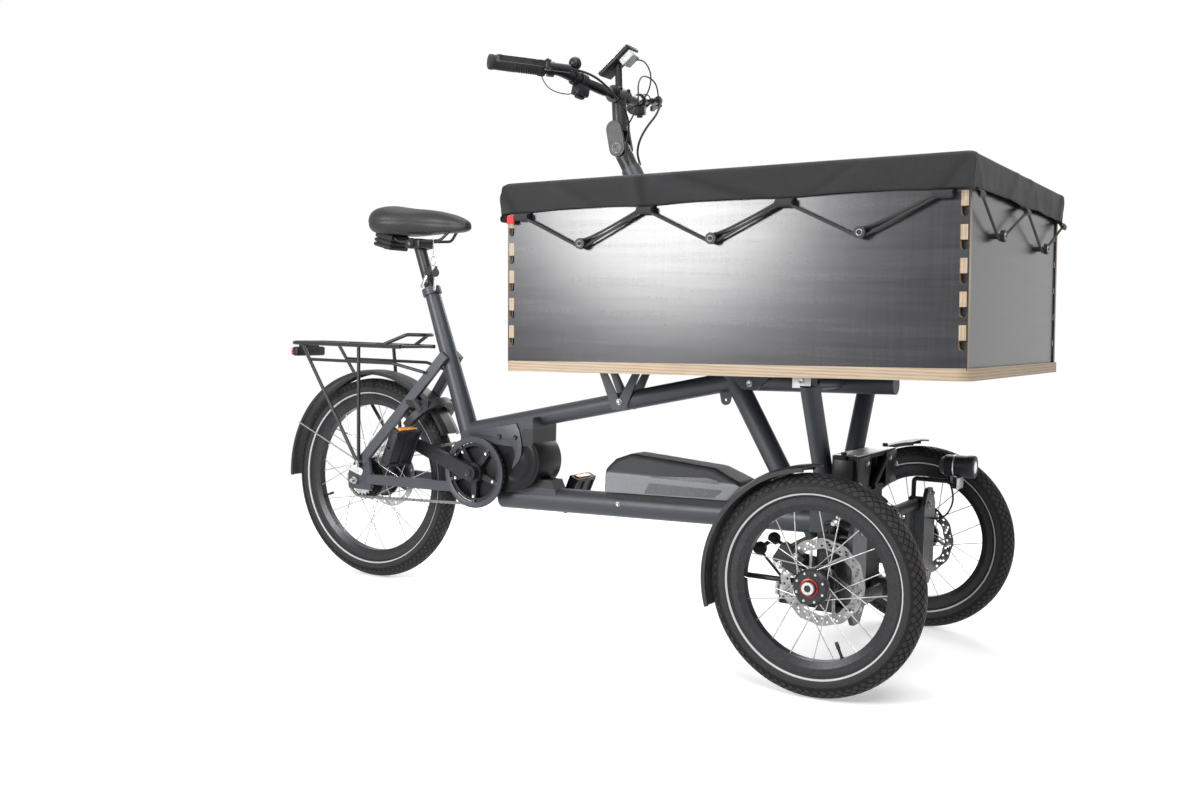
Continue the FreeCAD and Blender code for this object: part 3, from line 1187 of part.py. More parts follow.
# Front end
def beam(z):
    x = FRONT_AT + BEAM_AT
    parts = [rod(at(x, -BEAM_PIVOT_Y, z), at(x, BEAM_PIVOT_Y, z), BEAM_R),
             rod(at(x - BEAM_BOSS_HALF, 0, z), at(x + BEAM_BOSS_HALF, 0, z), BEAM_BOSS_R)]
    for y in (-BEAM_PIVOT_Y, BEAM_PIVOT_Y):
        parts.append(rod(at(x - BEAM_EYE_HALF, y, z), at(x + BEAM_EYE_HALF, y, z), BEAM_EYE_R))
    shape = join(parts)
    shape = shape.cut(rod(at(x - BEAM_BOSS_HALF, 0, z), at(x + BEAM_BOSS_HALF, 0, z), BEAM_PIN_R + RUN_FIT))
    for y in (-BEAM_PIVOT_Y, BEAM_PIVOT_Y):
        shape = shape.cut(rod(at(x - BEAM_EYE_HALF, y, z), at(x + BEAM_EYE_HALF, y, z),
                              BEAM_EYE_PIN_R + RUN_FIT))
    return shape


def make_front_carrier():
    back, face = FRONT_AT - SPINE_BACK, FRONT_AT - SPINE_FRONT
    spine = block(back, face, -SPINE_HALF_W, SPINE_HALF_W, SPINE_LOW_Z, HOUSING_LOW_Z)
    housing = block(back, face, -HOUSING_HALF_W, HOUSING_HALF_W, HOUSING_LOW_Z, HOUSING_TOP_Z)
    pocket = block(back + HOUSING_WALL, face, -HOUSING_HALF_W + HOUSING_WALL, HOUSING_HALF_W - HOUSING_WALL,
                   HOUSING_LOW_Z + HOUSING_WALL, HOUSING_TOP_Z - HOUSING_WALL)
    parts = [spine, housing.cut(pocket)]
    step = 2 * HOUSING_HALF_W / (HOUSING_RIBS + 1)
    for i in range(HOUSING_RIBS):
        foot = -HOUSING_HALF_W + step * (i + 1)
        lean = -foot / 3
        parts.append(front_plate([
            (foot - HOUSING_WALL / 2, HOUSING_LOW_Z), (foot + HOUSING_WALL / 2, HOUSING_LOW_Z),
            (foot + lean + HOUSING_WALL / 2, HOUSING_TOP_Z), (foot + lean - HOUSING_WALL / 2,
                                                              HOUSING_TOP_Z)],
            back, face - HOUSING_WALL))
    pin_front = FRONT_AT + BEAM_AT + BEAM_BOSS_HALF + TOUCH_GAP
    for z in (UPPER_BEAM_Z, LOWER_BEAM_Z):
        parts.append(rod(at(face - HOUSING_WALL, 0, z), at(pin_front + PIN_CAP_W, 0, z), BEAM_PIN_R))
        parts.append(rod(at(pin_front, 0, z), at(pin_front + PIN_CAP_W, 0, z), PIN_CAP_R))
    plate = block(back, face, -HOUSING_HALF_W, HOUSING_HALF_W, HOUSING_TOP_Z,
                  HOUSING_TOP_Z + TOP_PLATE_THICK)
    keep("front_carrier", [join(parts), plate])
    keep("upper_beam", beam(UPPER_BEAM_Z))
    keep("lower_beam", beam(LOWER_BEAM_Z))


def upright():
    x = FRONT_AT
    plate_x = x + PLATE_BACK
    pin_back = x + BEAM_AT - BEAM_EYE_HALF - TOUCH_GAP
    chamfer = PLATE_OUT_Y - BEAM_PIVOT_Y
    plate = front_plate([
        (PLATE_IN_Y, LOWER_BEAM_Z), (PLATE_IN_Y + chamfer / 2, PLATE_LOW_Z),
        (PLATE_OUT_Y - chamfer / 2, PLATE_LOW_Z),
        (PLATE_OUT_Y, LOWER_BEAM_Z), (PLATE_OUT_Y, UPPER_BEAM_Z), (PLATE_OUT_Y - chamfer / 2, PLATE_TOP_Z),
        (PLATE_IN_Y + chamfer / 2, PLATE_TOP_Z), (PLATE_IN_Y, UPPER_BEAM_Z)], plate_x,
        plate_x + PLATE_THICK)
    barrel = rod(at(x, KINGPIN_Y, BARREL_LOW_Z), at(x, KINGPIN_Y, BARREL_TOP_Z), BARREL_R)
    web = block(x, plate_x, KINGPIN_Y + WEB_IN, KINGPIN_Y + WEB_OUT, BARREL_LOW_Z, BARREL_TOP_Z)
    parts = [plate, barrel, web]
    for z in (UPPER_BEAM_Z, LOWER_BEAM_Z):
        parts.append(rod(at(pin_back, BEAM_PIVOT_Y, z), at(plate_x, BEAM_PIVOT_Y, z), BEAM_EYE_PIN_R))
    return join(parts).cut(rod(at(x, KINGPIN_Y, BARREL_LOW_Z), at(x, KINGPIN_Y, BARREL_TOP_Z),
                               KINGPIN_R + RUN_FIT))


def knuckle(side):
    """Left hand form. The right one carries a plain stud where its ball turns on it."""
    x, y, z = FRONT_AT, KINGPIN_Y, FRONT_TYRE_R
    low_top = BARREL_LOW_Z - EAR_GAP
    low = low_top - EAR_THICK
    high = BARREL_TOP_Z + EAR_GAP
    high_top = high + EAR_THICK
    face_in, face_out = y + KNUCKLE_IN, y + KNUCKLE_IN + KNUCKLE_THICK
    parts = [rod(at(x, y, low), at(x, y, high_top + KINGPIN_NUT_H), KINGPIN_R),
             rod(at(x, y, high_top), at(x, y, high_top + KINGPIN_NUT_H), KINGPIN_NUT_R),
             block(x - KNUCKLE_HALF, x + KNUCKLE_HALF, face_in, face_out, low, high_top)]
    for z0, z1 in ((low, low_top), (high, high_top)):
        parts.append(rod(at(x, y, z0), at(x, y, z1), EAR_R))
        parts.append(block(x - EAR_R, x + EAR_R, y, face_in, z0, z1))
    hub_in = TRACK / 2 + FRONT_HUB_IN
    nut_in = TRACK / 2 + FRONT_HUB_OUT + TOUCH_GAP
    parts.append(side_disc(x, z, FRONT_AXLE_R, face_out, nut_in + WHEEL_NUT_W))
    parts.append(side_disc(x, z, AXLE_COLLAR_R, face_out, hub_in - ROTOR_THICK - TOUCH_GAP))
    parts.append(side_disc(x, z, WHEEL_NUT_R, nut_in, nut_in + WHEEL_NUT_W))
    arm_x = x - STEER_ARM
    parts.append(block(arm_x, x, y - STEER_ARM_HALF_W, y + STEER_ARM_HALF_W, low, low_top))
    parts.append(rod(at(arm_x, y, low), at(arm_x, y, low_top), STEER_ARM_HALF_W))
    parts.append(rod(at(arm_x, y, low_top), at(arm_x, y, BALL_Z), BALL_STUD_R))
    if side > 0:
        parts.append(Part.makeSphere(BALL_R, at(arm_x, y, BALL_Z)))
    rotor_mid = hub_in - ROTOR_THICK / 2
    cx = x + CALIPER_AT_R * math.cos(math.radians(CALIPER_DEG))
    cz = z + CALIPER_AT_R * math.sin(math.radians(CALIPER_DEG))
    caliper = block(cx - CALIPER_LENGTH / 2, cx + CALIPER_LENGTH / 2, rotor_mid - CALIPER_HALF_W,
                    rotor_mid + CALIPER_HALF_W, cz - CALIPER_HEIGHT / 2, cz + CALIPER_HEIGHT / 2)
    caliper.rotate(at(cx, 0, cz), Y_DIR, 180 - CALIPER_DEG)
    caliper = caliper.makeFillet(CALIPER_SLOT_HALF, caliper.Edges)
    slot = side_disc(x, z, ROTOR_R + CALIPER_SLOT_HALF, rotor_mid - CALIPER_SLOT_HALF,
                     rotor_mid + CALIPER_SLOT_HALF)
    parts.append(caliper.cut(slot))
    carrier = side_plate([(x, z), (x, z + CALIPER_HEIGHT), (cx, cz + CALIPER_HEIGHT / 3),
                          (cx, cz - CALIPER_HEIGHT / 3)],
                         face_in, face_out)
    parts.append(carrier)
    bar_y = y + FENDER_BAR_Y
    bar_x = x - FRONT_TYRE_R - FENDER_SKIRT / 2
    skirt_in = TRACK / 2 - FENDER_HALF_W
    bar_start = at(x - KNUCKLE_HALF + FENDER_BAR_R, (face_in + face_out) / 2, FENDER_BAR_Z)
    parts.append(bent_rod([bar_start, at(x - ROTOR_R - BALL_R, bar_y, FENDER_BAR_Z),
                           at(bar_x, bar_y, FENDER_BAR_Z)],
                          FENDER_BAR_R, ROTOR_R))
    parts.append(rod(at(bar_x, bar_y, FENDER_BAR_Z), at(bar_x, skirt_in, FENDER_BAR_Z), FENDER_BAR_R))
    return join(parts)


def front_fender():
    x, z, y = FRONT_AT, FRONT_TYRE_R, TRACK / 2
    strip = fender(x, z, y, FRONT_TYRE_R + FRONT_FENDER_GAP, FRONT_FENDER_FRONT_DEG, FRONT_FENDER_REAR_DEG)
    tip_x = x + FENDER_TIP / 4
    for sign in (-1, 1):
        wedge = plan_plate([(tip_x, y), (tip_x, y + sign * OVERRUN),
                            (tip_x - FENDER_TIP, y + sign * OVERRUN)],
                           z, z + FRONT_TYRE_R + OVERRUN)
        strip = strip.cut(wedge)
    return max(strip.Solids, key=lambda s: s.Volume)


def make_front_ends():
    left = upright()
    keep("upright_left", left)
    keep("upright_right", mirrored(left))
    keep("knuckle_left", knuckle(1))
    keep("knuckle_right", mirrored(knuckle(-1)))
    strip = front_fender()
    keep("front_left_fender", strip)
    keep("front_right_fender", mirrored(strip))

    arm_x = FRONT_AT - STEER_ARM
    stud = rod(at(arm_x, -KINGPIN_Y, BALL_Z - 2 * BALL_R), at(arm_x, -KINGPIN_Y, BALL_Z),
               BALL_STUD_R + RUN_FIT)
    keep("tie_rod_ball", Part.makeSphere(BALL_R, at(arm_x, -KINGPIN_Y, BALL_Z)).cut(stud))

    eye_bore = BALL_R + TOUCH_GAP
    pin = pitman_ball()
    sleeve_x = pin.x - REAR_AXLE_X
    parts = [rod(at(arm_x, -KINGPIN_Y, BALL_Z), at(arm_x, KINGPIN_Y, BALL_Z), TIE_ROD_R)]
    for y in (-KINGPIN_Y, KINGPIN_Y):
        parts.append(rod(at(arm_x, y, BALL_Z - TIE_EYE_HALF), at(arm_x, y, BALL_Z + TIE_EYE_HALF),
                         eye_bore + TIE_EYE_WALL))
    parts.append(bar(at(sleeve_x, 0, BALL_Z), at(arm_x, 0, BALL_Z), TIE_ARM_W, TIE_ROD_R * 2, Y_DIR))
    parts.append(rod(at(sleeve_x, 0, BALL_Z - SLEEVE_LOW), at(sleeve_x, 0, BALL_Z + SLEEVE_HIGH),
                     SLEEVE_BORE_R + TIE_EYE_WALL))
    tie = join(parts)
    for y, play in ((-KINGPIN_Y, 0), (KINGPIN_Y, TIE_LEFT_PLAY)):
        tie = tie.cut(rod(at(arm_x, y, BALL_Z - TIE_EYE_HALF), at(arm_x, y, BALL_Z + TIE_EYE_HALF),
                          eye_bore + play))
    tie = tie.cut(rod(at(sleeve_x, 0, BALL_Z - SLEEVE_LOW), at(sleeve_x, 0, BALL_Z + SLEEVE_HIGH),
                      SLEEVE_BORE_R))
    keep("tie_rod", tie)

    x, y = FRONT_AT, KINGPIN_Y
    top = BARREL_TOP_Z + EAR_GAP + EAR_THICK + KINGPIN_NUT_H
    post = bent_rod([at(x, y, top), at(x, y, LAMP_POST_TOP_Z), at(x + LAMP_AT, y, LAMP_POST_TOP_Z),
                     at(x + LAMP_AT, y, LAMP_Z)], LAMP_POST_R, LAMP_POST_BEND_R)
    lamp_x = x + LAMP_AT - LAMP_LENGTH / 3
    can = rod(at(lamp_x, y, LAMP_Z), at(lamp_x + LAMP_LENGTH, y, LAMP_Z), LAMP_R)
    cap = taper(at(lamp_x, y, LAMP_Z), at(lamp_x - LAMP_R / 2, y, LAMP_Z), LAMP_R, LAMP_R / 2)
    lens = rod(at(lamp_x + LAMP_LENGTH, y, LAMP_Z), at(lamp_x + LAMP_LENGTH + LAMP_LENS_W, y, LAMP_Z),
               LAMP_LENS_R)
    mirror_plate = block(x + LAMP_AT, x + LAMP_AT + LAMP_POST_R + REFLECTOR_T, y - REFLECTOR_W / 2,
                         y + REFLECTOR_W / 2, LAMP_Z - LAMP_R - REFLECTOR_H, LAMP_Z - LAMP_R)
    keep("headlight", [join([post, can, cap, mirror_plate]), lens])


# Steering
def pitman_ball():
    """Centre of the lower arm's ball, square to the steering axis and behind it."""
    back = V(-STEER_AXIS.z, 0, STEER_AXIS.x)
    root_z = BALL_Z - back.z * STEER_ARM
    return steer_axis(root_z).add(back * STEER_ARM)


def make_steering():
    ball = pitman_ball()
    back = V(-STEER_AXIS.z, 0, STEER_AXIS.x)
    arm_tip = ball.add(Z_DIR * PITMAN_STUD_LENGTH)
    root = arm_tip.sub(back * (STEER_ARM - PITMAN_STUD_LENGTH * -back.z))
    shaft = rod(root.sub(STEER_AXIS * (PITMAN_THICK / 2)), steer_axis(STEM_BASE_LOW_Z + STEM_BASE_R),
                STEERER_R)
    arm = bar(root, arm_tip, PITMAN_W, PITMAN_THICK, Y_DIR)
    stud = rod(ball, arm_tip, PITMAN_STUD_R)
    knob = Part.makeSphere(PITMAN_BALL_R, ball)
    pivot = steer_axis(STEM_PIVOT_Z)
    px = pivot.x - REAR_AXLE_X
    collar = rod(steer_axis(STEM_BASE_LOW_Z), steer_axis(STEM_PIVOT_Z), STEM_BASE_R)
    cheek_space = STEM_BOSS_HALF + TOUCH_GAP
    for sign in (-1, 1):
        gap = side_disc(px, STEM_PIVOT_Z, STEM_BOSS_R + STEM_CHEEK_W / 2, sign * STEM_BOSS_HALF,
                        sign * OVERRUN)
        collar = collar.cut(gap)
    boss = side_disc(px, STEM_PIVOT_Z, STEM_BOSS_R, -STEM_BOSS_HALF, STEM_BOSS_HALF)
    neck = collar.fuse(boss).cut(side_disc(px, STEM_PIVOT_Z, STEM_BOLT_R + RUN_FIT, -OVERRUN, OVERRUN))
    steerer = join([shaft, arm, stud, knob, neck])
    keep("steering_shaft", steerer)

    clamp_x = BAR_AT
    up = at(clamp_x, 0, BAR_Z).sub(pivot)
    cheeks = []
    for sign in (-1, 1):
        y0, y1 = sorted((sign * cheek_space, sign * (cheek_space + STEM_CHEEK_W)))
        cheeks.append(hull_of_circles(px, STEM_PIVOT_Z, STEM_BOSS_R, clamp_x, BAR_Z - BAR_CLAMP_R * 4,
                                      STEM_BOSS_R - TOUCH_GAP, y0, y1))
    foot = pivot.add(V(up).normalize() * (STEM_BOSS_R * 2))
    column = rod(foot, at(clamp_x, 0, BAR_Z), STEM_R)
    bolt = side_disc(px, STEM_PIVOT_Z, STEM_BOLT_R, -cheek_space - STEM_CHEEK_W, cheek_space + STEM_CHEEK_W)
    clamp = side_disc(clamp_x, BAR_Z, BAR_CLAMP_R, -BAR_CLAMP_HALF, BAR_CLAMP_HALF)
    stem = join(cheeks + [column, bolt, clamp]).cut(side_disc(clamp_x, BAR_Z, BAR_R, -OVERRUN, OVERRUN))
    keep("stem", stem)

    end, bend = at(BAR_END_AT, BAR_END_Y, BAR_END_Z), at(BAR_BEND_AT, BAR_BEND_Y, BAR_BEND_Z)
    straight = at(BAR_AT, BAR_STRAIGHT_HALF, BAR_Z)
    flip = [V(p.x, -p.y, p.z) for p in (straight, bend, end)]
    handlebar = bent_rod([end, bend, straight] + flip, BAR_R, BAR_BEND_R)
    keep("handlebar", handlebar)
    inward = bend.sub(end).normalize()
    reach_dir = V(-inward.y, inward.x, 0).normalize()
    grip_end = end.sub(inward * GRIP_CAP)
    grip = rod(grip_end, end.add(inward * GRIP_LENGTH), GRIP_R).cut(
        rod(end, end.add(inward * (GRIP_LENGTH + OVERRUN)), BAR_R))
    keep("grips", both(grip))
    perch_a = end.add(inward * (GRIP_LENGTH + PERCH_FROM_GRIP))
    perch_b = perch_a.add(inward * PERCH_W)
    ring = tube(perch_a, perch_b, PERCH_R, BAR_R)
    mid = perch_a.add(inward * (PERCH_W / 2))
    master_a = mid.add(reach_dir * MASTER_REACH).sub(inward * (MASTER_LENGTH / 3))
    master = rod(master_a, master_a.add(inward * MASTER_LENGTH), MASTER_R)
    bridge = bar(mid.add(reach_dir * PERCH_R * PERCH_SINK_SHARE), mid.add(reach_dir * MASTER_REACH),
                 PERCH_W, PERCH_W, Z_DIR)
    pivot_at = master_a.add(reach_dir * (MASTER_R + LEVER_T))
    pin = rod(pivot_at.sub(Z_DIR * LEVER_W), pivot_at.add(Z_DIR * LEVER_W), LEVER_PIVOT_R)
    fork = []
    for sign in (-1, 1):
        mid_fork = pivot_at.add(Z_DIR * (sign * (LEVER_W / 2 + TOUCH_GAP + LEVER_PIVOT_R / 2)))
        fork.append(bar(mid_fork.sub(reach_dir * (MASTER_R + LEVER_T)), mid_fork.add(reach_dir * LEVER_T),
                        LEVER_PIVOT_R, LEVER_W, Z_DIR))
    perch = join([ring, master, bridge, pin] + fork)
    run = straight.sub(bend)
    share = (BAR_BEND_Y + BELL_Y) / (BAR_BEND_Y - BAR_STRAIGHT_HALF)
    bell_on = V(bend.x + run.x * share, BELL_Y, bend.z + run.z * share)
    across = V(run.x, -run.y, run.z).normalize()
    band = tube(bell_on.sub(across * (PERCH_W / 3)), bell_on.add(across * (PERCH_W / 3)), PERCH_R, BAR_R)
    dome = Part.makeSphere(BELL_R, bell_on.add(Z_DIR * BELL_RISE))
    neck_bell = rod(bell_on.add(Z_DIR * (BAR_R + TOUCH_GAP)), bell_on.add(Z_DIR * BELL_RISE),
                    LEVER_PIVOT_R * 2)
    controls = [shape.cut(handlebar) for shape in both(perch) + [join([band, dome, neck_bell])]]
    keep("bar_controls", [max(shape.Solids, key=lambda s: s.Volume) for shape in controls])

    tip = pivot_at.sub(inward * LEVER_LENGTH).add(reach_dir * (LEVER_REACH - MASTER_REACH - MASTER_R))
    knee = pivot_at.sub(inward * (LEVER_LENGTH / 3)).add(reach_dir * (LEVER_REACH - MASTER_REACH - MASTER_R))
    lever = join([bar(pivot_at, knee, LEVER_T, LEVER_W, Z_DIR.cross(inward)),
                  bar(knee, tip, LEVER_T, LEVER_W, Z_DIR.cross(inward)),
                  rod(knee.sub(Z_DIR * (LEVER_W / 2)), knee.add(Z_DIR * (LEVER_W / 2)), LEVER_T / 2),
                  rod(tip.sub(Z_DIR * (LEVER_W / 2)), tip.add(Z_DIR * (LEVER_W / 2)), LEVER_T),
                  rod(pivot_at.sub(Z_DIR * (LEVER_W / 2)), pivot_at.add(Z_DIR * (LEVER_W / 2)), LEVER_T)])
    lever = lever.cut(rod(pivot_at.sub(Z_DIR * LEVER_W), pivot_at.add(Z_DIR * LEVER_W),
                          LEVER_PIVOT_R + RUN_FIT))
    keep("brake_lever_left", lever)
    keep("brake_lever_right", mirrored(lever))
    hose_start = master_a.add(inward * (MASTER_LENGTH + TOUCH_GAP))

    middle = at(DISPLAY_AT, 0, DISPLAY_Z)
    screen = Part.makeBox(DISPLAY_LENGTH, DISPLAY_W, DISPLAY_THICK,
                          V(-DISPLAY_LENGTH / 2, -DISPLAY_W / 2, -DISPLAY_THICK / 2))
    screen = screen.makeFillet(DISPLAY_THICK / 3, screen.Edges)
    screen.Placement = FreeCAD.Placement(middle, FreeCAD.Rotation(Y_DIR, -DISPLAY_TILT_DEG))
    stand = rod(at(BAR_AT, 0, BAR_Z), middle, DISPLAY_POST_R).cut(
        side_disc(BAR_AT, BAR_Z, BAR_CLAMP_R, -OVERRUN, OVERRUN))
    keep("display", join([screen, stand]))
    return hose_start


def make_cables(hose_start):
    """Brake hoses from the levers, in front of the stem and down to the head of the steering shaft."""
    top = BAR_Z + HOSE_TOP_RISE
    end = STEM_BASE_LOW_Z + HOSE_END_RISE
    hoses = []
    for side in (-1, 1):
        route = [V(hose_start.x, side * hose_start.y, hose_start.z)]
        for share_x, share_y, share_z in HOSE_SHARES:
            route.append(at(BAR_AT + HOSE_BULGE * share_x, side * HOSE_SPREAD * share_y,
                            end + (top - end) * share_z))
        hoses.append(free_cord("hose", route, CABLE_R))
    keep("control_cables", hoses)


# Box
def rounded_slab(x0, x1, y0, y1, z0, z1, r):
    slab = block(x0, x1, y0, y1, z0, z1)
    upright_edges = [e for e in slab.Edges if abs(e.tangentAt(e.FirstParameter).z) > UPRIGHT_EDGE_SHARE]
    return slab.makeFillet(r, upright_edges)


def make_box():
    x0, x1 = BOX_REAR_AT, BOX_REAR_AT + BOX_LENGTH
    half = BOX_WIDTH / 2
    top = BOX_LOW_Z + FLOOR_THICK
    floor = raked(rounded_slab(x0, x1, -half, half, BOX_LOW_Z, top, FLOOR_CORNER_R))
    column = rod(steer_axis(BOX_LOW_Z - OVERRUN * 2), steer_axis(HEAD_TUBE_TOP_Z),
                 HEAD_TUBE_R + COLUMN_CLEARANCE)
    side_out = half - PANEL_INSET
    side_in = side_out - PANEL_THICK
    sx0, sx1 = x0 + PANEL_INSET, x1 - PANEL_INSET
    side = block(sx0, sx1, side_in, side_out, top - GROOVE_DEPTH, top + PANEL_HEIGHT)
    ends = []
    for end_x in (sx0 + END_PANEL_INSET - PANEL_THICK, sx1 - END_PANEL_INSET):
        panel = block(end_x, end_x + PANEL_THICK, -side_in, side_in, top - GROOVE_DEPTH, top + PANEL_HEIGHT)
        tabs = []
        for i in range(SLOT_COUNT):
            z = top + SLOT_FIRST + SLOT_PITCH * i
            slot_r = PANEL_THICK / 2 + TAB_GAP
            slot_x = end_x + PANEL_THICK / 2
            side = side.cut(block(slot_x - slot_r, slot_x + slot_r, side_in, side_out, z + slot_r,
                                  z + SLOT_H))
            side = side.cut(side_disc(slot_x, z + slot_r, slot_r, side_in, side_out))
            for sign in (-1, 1):
                y0, y1 = sorted((sign * side_in, sign * side_out))
                tabs.append(block(end_x, end_x + PANEL_THICK, y0, y1, z + SLOT_H - TAB_H, z + SLOT_H))
        ends.append(join([panel] + tabs))
    panels = [raked(s) for s in both(side) + ends]
    keep("box_panels", panels)
    floor = floor.cut(column)
    for panel in panels:
        floor = floor.cut(panel)
    keep("box_floor", max(floor.Solids, key=lambda s: s.Volume))

    knobs = []
    for foot, out in knob_places():
        neck_end = foot.add(out * KNOB_NECK_LENGTH)
        neck = rod(foot, neck_end, KNOB_NECK_R)
        head = rod(neck_end, neck_end.add(out * KNOB_HEAD_T), KNOB_HEAD_R)
        knobs.append(raked(neck.fuse(head)))
    keep("cord_knobs", knobs)

    brackets = []
    for x in (BRACKET_REAR_AT, BRACKET_FRONT_AT):
        foot_z = upper_tube_z(x) - BRACKET_DROP
        for y0 in (UPPER_TUBE_R, -UPPER_TUBE_R - BRACKET_T):
            outline = [
                (x - BRACKET_TOP_HALF, floor_under_z(x - BRACKET_TOP_HALF)),
                (x - BRACKET_TOP_HALF + BRACKET_LEG_W, floor_under_z(x - BRACKET_TOP_HALF + BRACKET_LEG_W)),
                (x, upper_tube_z(x) + UPPER_TUBE_R * BRACKET_CROTCH_SHARE),
                (x + BRACKET_TOP_HALF - BRACKET_LEG_W, floor_under_z(x + BRACKET_TOP_HALF - BRACKET_LEG_W)),
                (x + BRACKET_TOP_HALF, floor_under_z(x + BRACKET_TOP_HALF)),
                (x + BRACKET_FOOT_HALF, foot_z), (x - BRACKET_FOOT_HALF, foot_z)]
            brackets.append(side_plate(outline, y0, y0 + BRACKET_T))
    for sign in (-1, 1):
        y0, y1 = sorted((sign * CROSS_TUBE_HALF, sign * (CROSS_TUBE_HALF + BRACKET_T)))
        brackets.append(side_plate([
            (CROSS_TUBE_AT - ANGLE_W / 2, floor_under_z(CROSS_TUBE_AT - ANGLE_W / 2)),
            (CROSS_TUBE_AT + ANGLE_W / 2, floor_under_z(CROSS_TUBE_AT + ANGLE_W / 2)),
            (CROSS_TUBE_AT + ANGLE_W / 2, CROSS_TUBE_Z - CROSS_TUBE_R),
            (CROSS_TUBE_AT - ANGLE_W / 2, CROSS_TUBE_Z - CROSS_TUBE_R)],
            y0, y1))
    clear = []
    for shape in brackets:
        for solid in NODES["main_frame"].Solids:
            shape = shape.cut(solid)
        clear.append(max(shape.Solids, key=lambda s: s.Volume))
    keep("box_brackets", clear)


def knob_places():
    """Foot and outward direction of each cord knob, before the box is raked."""
    half = BOX_WIDTH / 2 - PANEL_INSET
    z = BOX_LOW_Z + FLOOR_THICK + KNOB_UP
    places = []
    for side in (-1, 1):
        for i in (-1, 0, 1):
            places.append((at(BOX_MID_AT + i * KNOB_PITCH, side * half, z), V(0, side, 0)))
    front_x = BOX_REAR_AT + BOX_LENGTH - PANEL_INSET - END_PANEL_INSET + PANEL_THICK
    rear_x = BOX_REAR_AT + PANEL_INSET + END_PANEL_INSET - PANEL_THICK
    for side in (-1, 1):
        places.append((at(front_x, side * KNOB_END_PITCH / 2, z), V(1, 0, 0)))
        places.append((at(rear_x, side * KNOB_END_PITCH / 2, z), V(-1, 0, 0)))
    return places


def cover_reach():
    half = BOX_WIDTH / 2 - PANEL_INSET + COVER_SLACK + COVER_T
    x0 = BOX_REAR_AT + PANEL_INSET - COVER_SLACK - COVER_T
    x1 = BOX_REAR_AT + BOX_LENGTH - PANEL_INSET + COVER_SLACK + COVER_T
    low_top = BOX_LOW_Z + FLOOR_THICK + PANEL_HEIGHT + COVER_GAP
    return x0, x1, half, low_top


def make_cover():
    x0, x1, half, under = cover_reach()
    top = under + COVER_T
    hem = top - COVER_SKIRT
    outer = block(x0, x1, -half, half, hem, top)
    crown = Part.makeLoft([
        Part.makePolygon([at(x0, -half, top), at(x1, -half, top), at(x1, half, top), at(x0, half, top),
                          at(x0, -half, top)]),
        Part.makePolygon([at(x0 + OVERRUN * 2, -half / 2, top + COVER_CROWN),
                          at(x1 - OVERRUN * 2, -half / 2, top + COVER_CROWN),
                          at(x1 - OVERRUN * 2, half / 2, top + COVER_CROWN),
                          at(x0 + OVERRUN * 2, half / 2, top + COVER_CROWN),
                          at(x0 + OVERRUN * 2, -half / 2, top + COVER_CROWN)])], True, True)
    hollow = block(x0 + COVER_T, x1 - COVER_T, -half + COVER_T, half - COVER_T, hem, under)
    cover = outer.fuse(crown).cut(hollow)
    for x_a, x_b in hem_bays():
        middle = (x_a + x_b) / 2
        arch = [at(x_a, -half - OVERRUN, hem), at(middle, -half - OVERRUN, hem + COVER_HEM_RISE),
                at(x_b, -half - OVERRUN, hem)]
        edge = Part.Wire([Part.Arc(*arch).toShape(), Part.LineSegment(arch[2], arch[0]).toShape()])
        cover = cover.cut(Part.Face(edge).extrude(V(0, 2 * (half + OVERRUN), 0)))
    notch = block(x0 - OVERRUN, COVER_NOTCH_FRONT_AT, -COVER_NOTCH_HALF, COVER_NOTCH_HALF, hem - OVERRUN,
                  top + OVERRUN)
    cover = cover.cut(notch)
    loops = []
    for x in hem_loops():
        for sign in (-1, 1):
            y0, y1 = sorted((sign * half, sign * (half + LOOP_T)))
            loops.append(block(x - LOOP_W / 2, x + LOOP_W / 2, y0, y1, hem - LOOP_H / 2,
                               hem + LOOP_H * LOOP_RISE_SHARE))
    for y in (-half * LOOP_END_SHARE, 0, half * LOOP_END_SHARE):
        loops.append(block(x1, x1 + LOOP_T, y - LOOP_W / 2, y + LOOP_W / 2, hem - LOOP_H / 2,
                           hem + LOOP_H * LOOP_RISE_SHARE))
    for y in (-half * LOOP_END_SHARE, half * LOOP_END_SHARE):
        loops.append(block(x0 - LOOP_T, x0, y - LOOP_W / 2, y + LOOP_W / 2, hem - LOOP_H / 2,
                           hem + LOOP_H * LOOP_RISE_SHARE))
    keep("box_cover", raked(join([cover] + loops)))


def hem_loops():
    return [BOX_MID_AT + KNOB_PITCH * share for share in LOOP_PLACE_SHARES]


def hem_bays():
    loops = hem_loops()
    return list(zip(loops[:-1], loops[1:]))


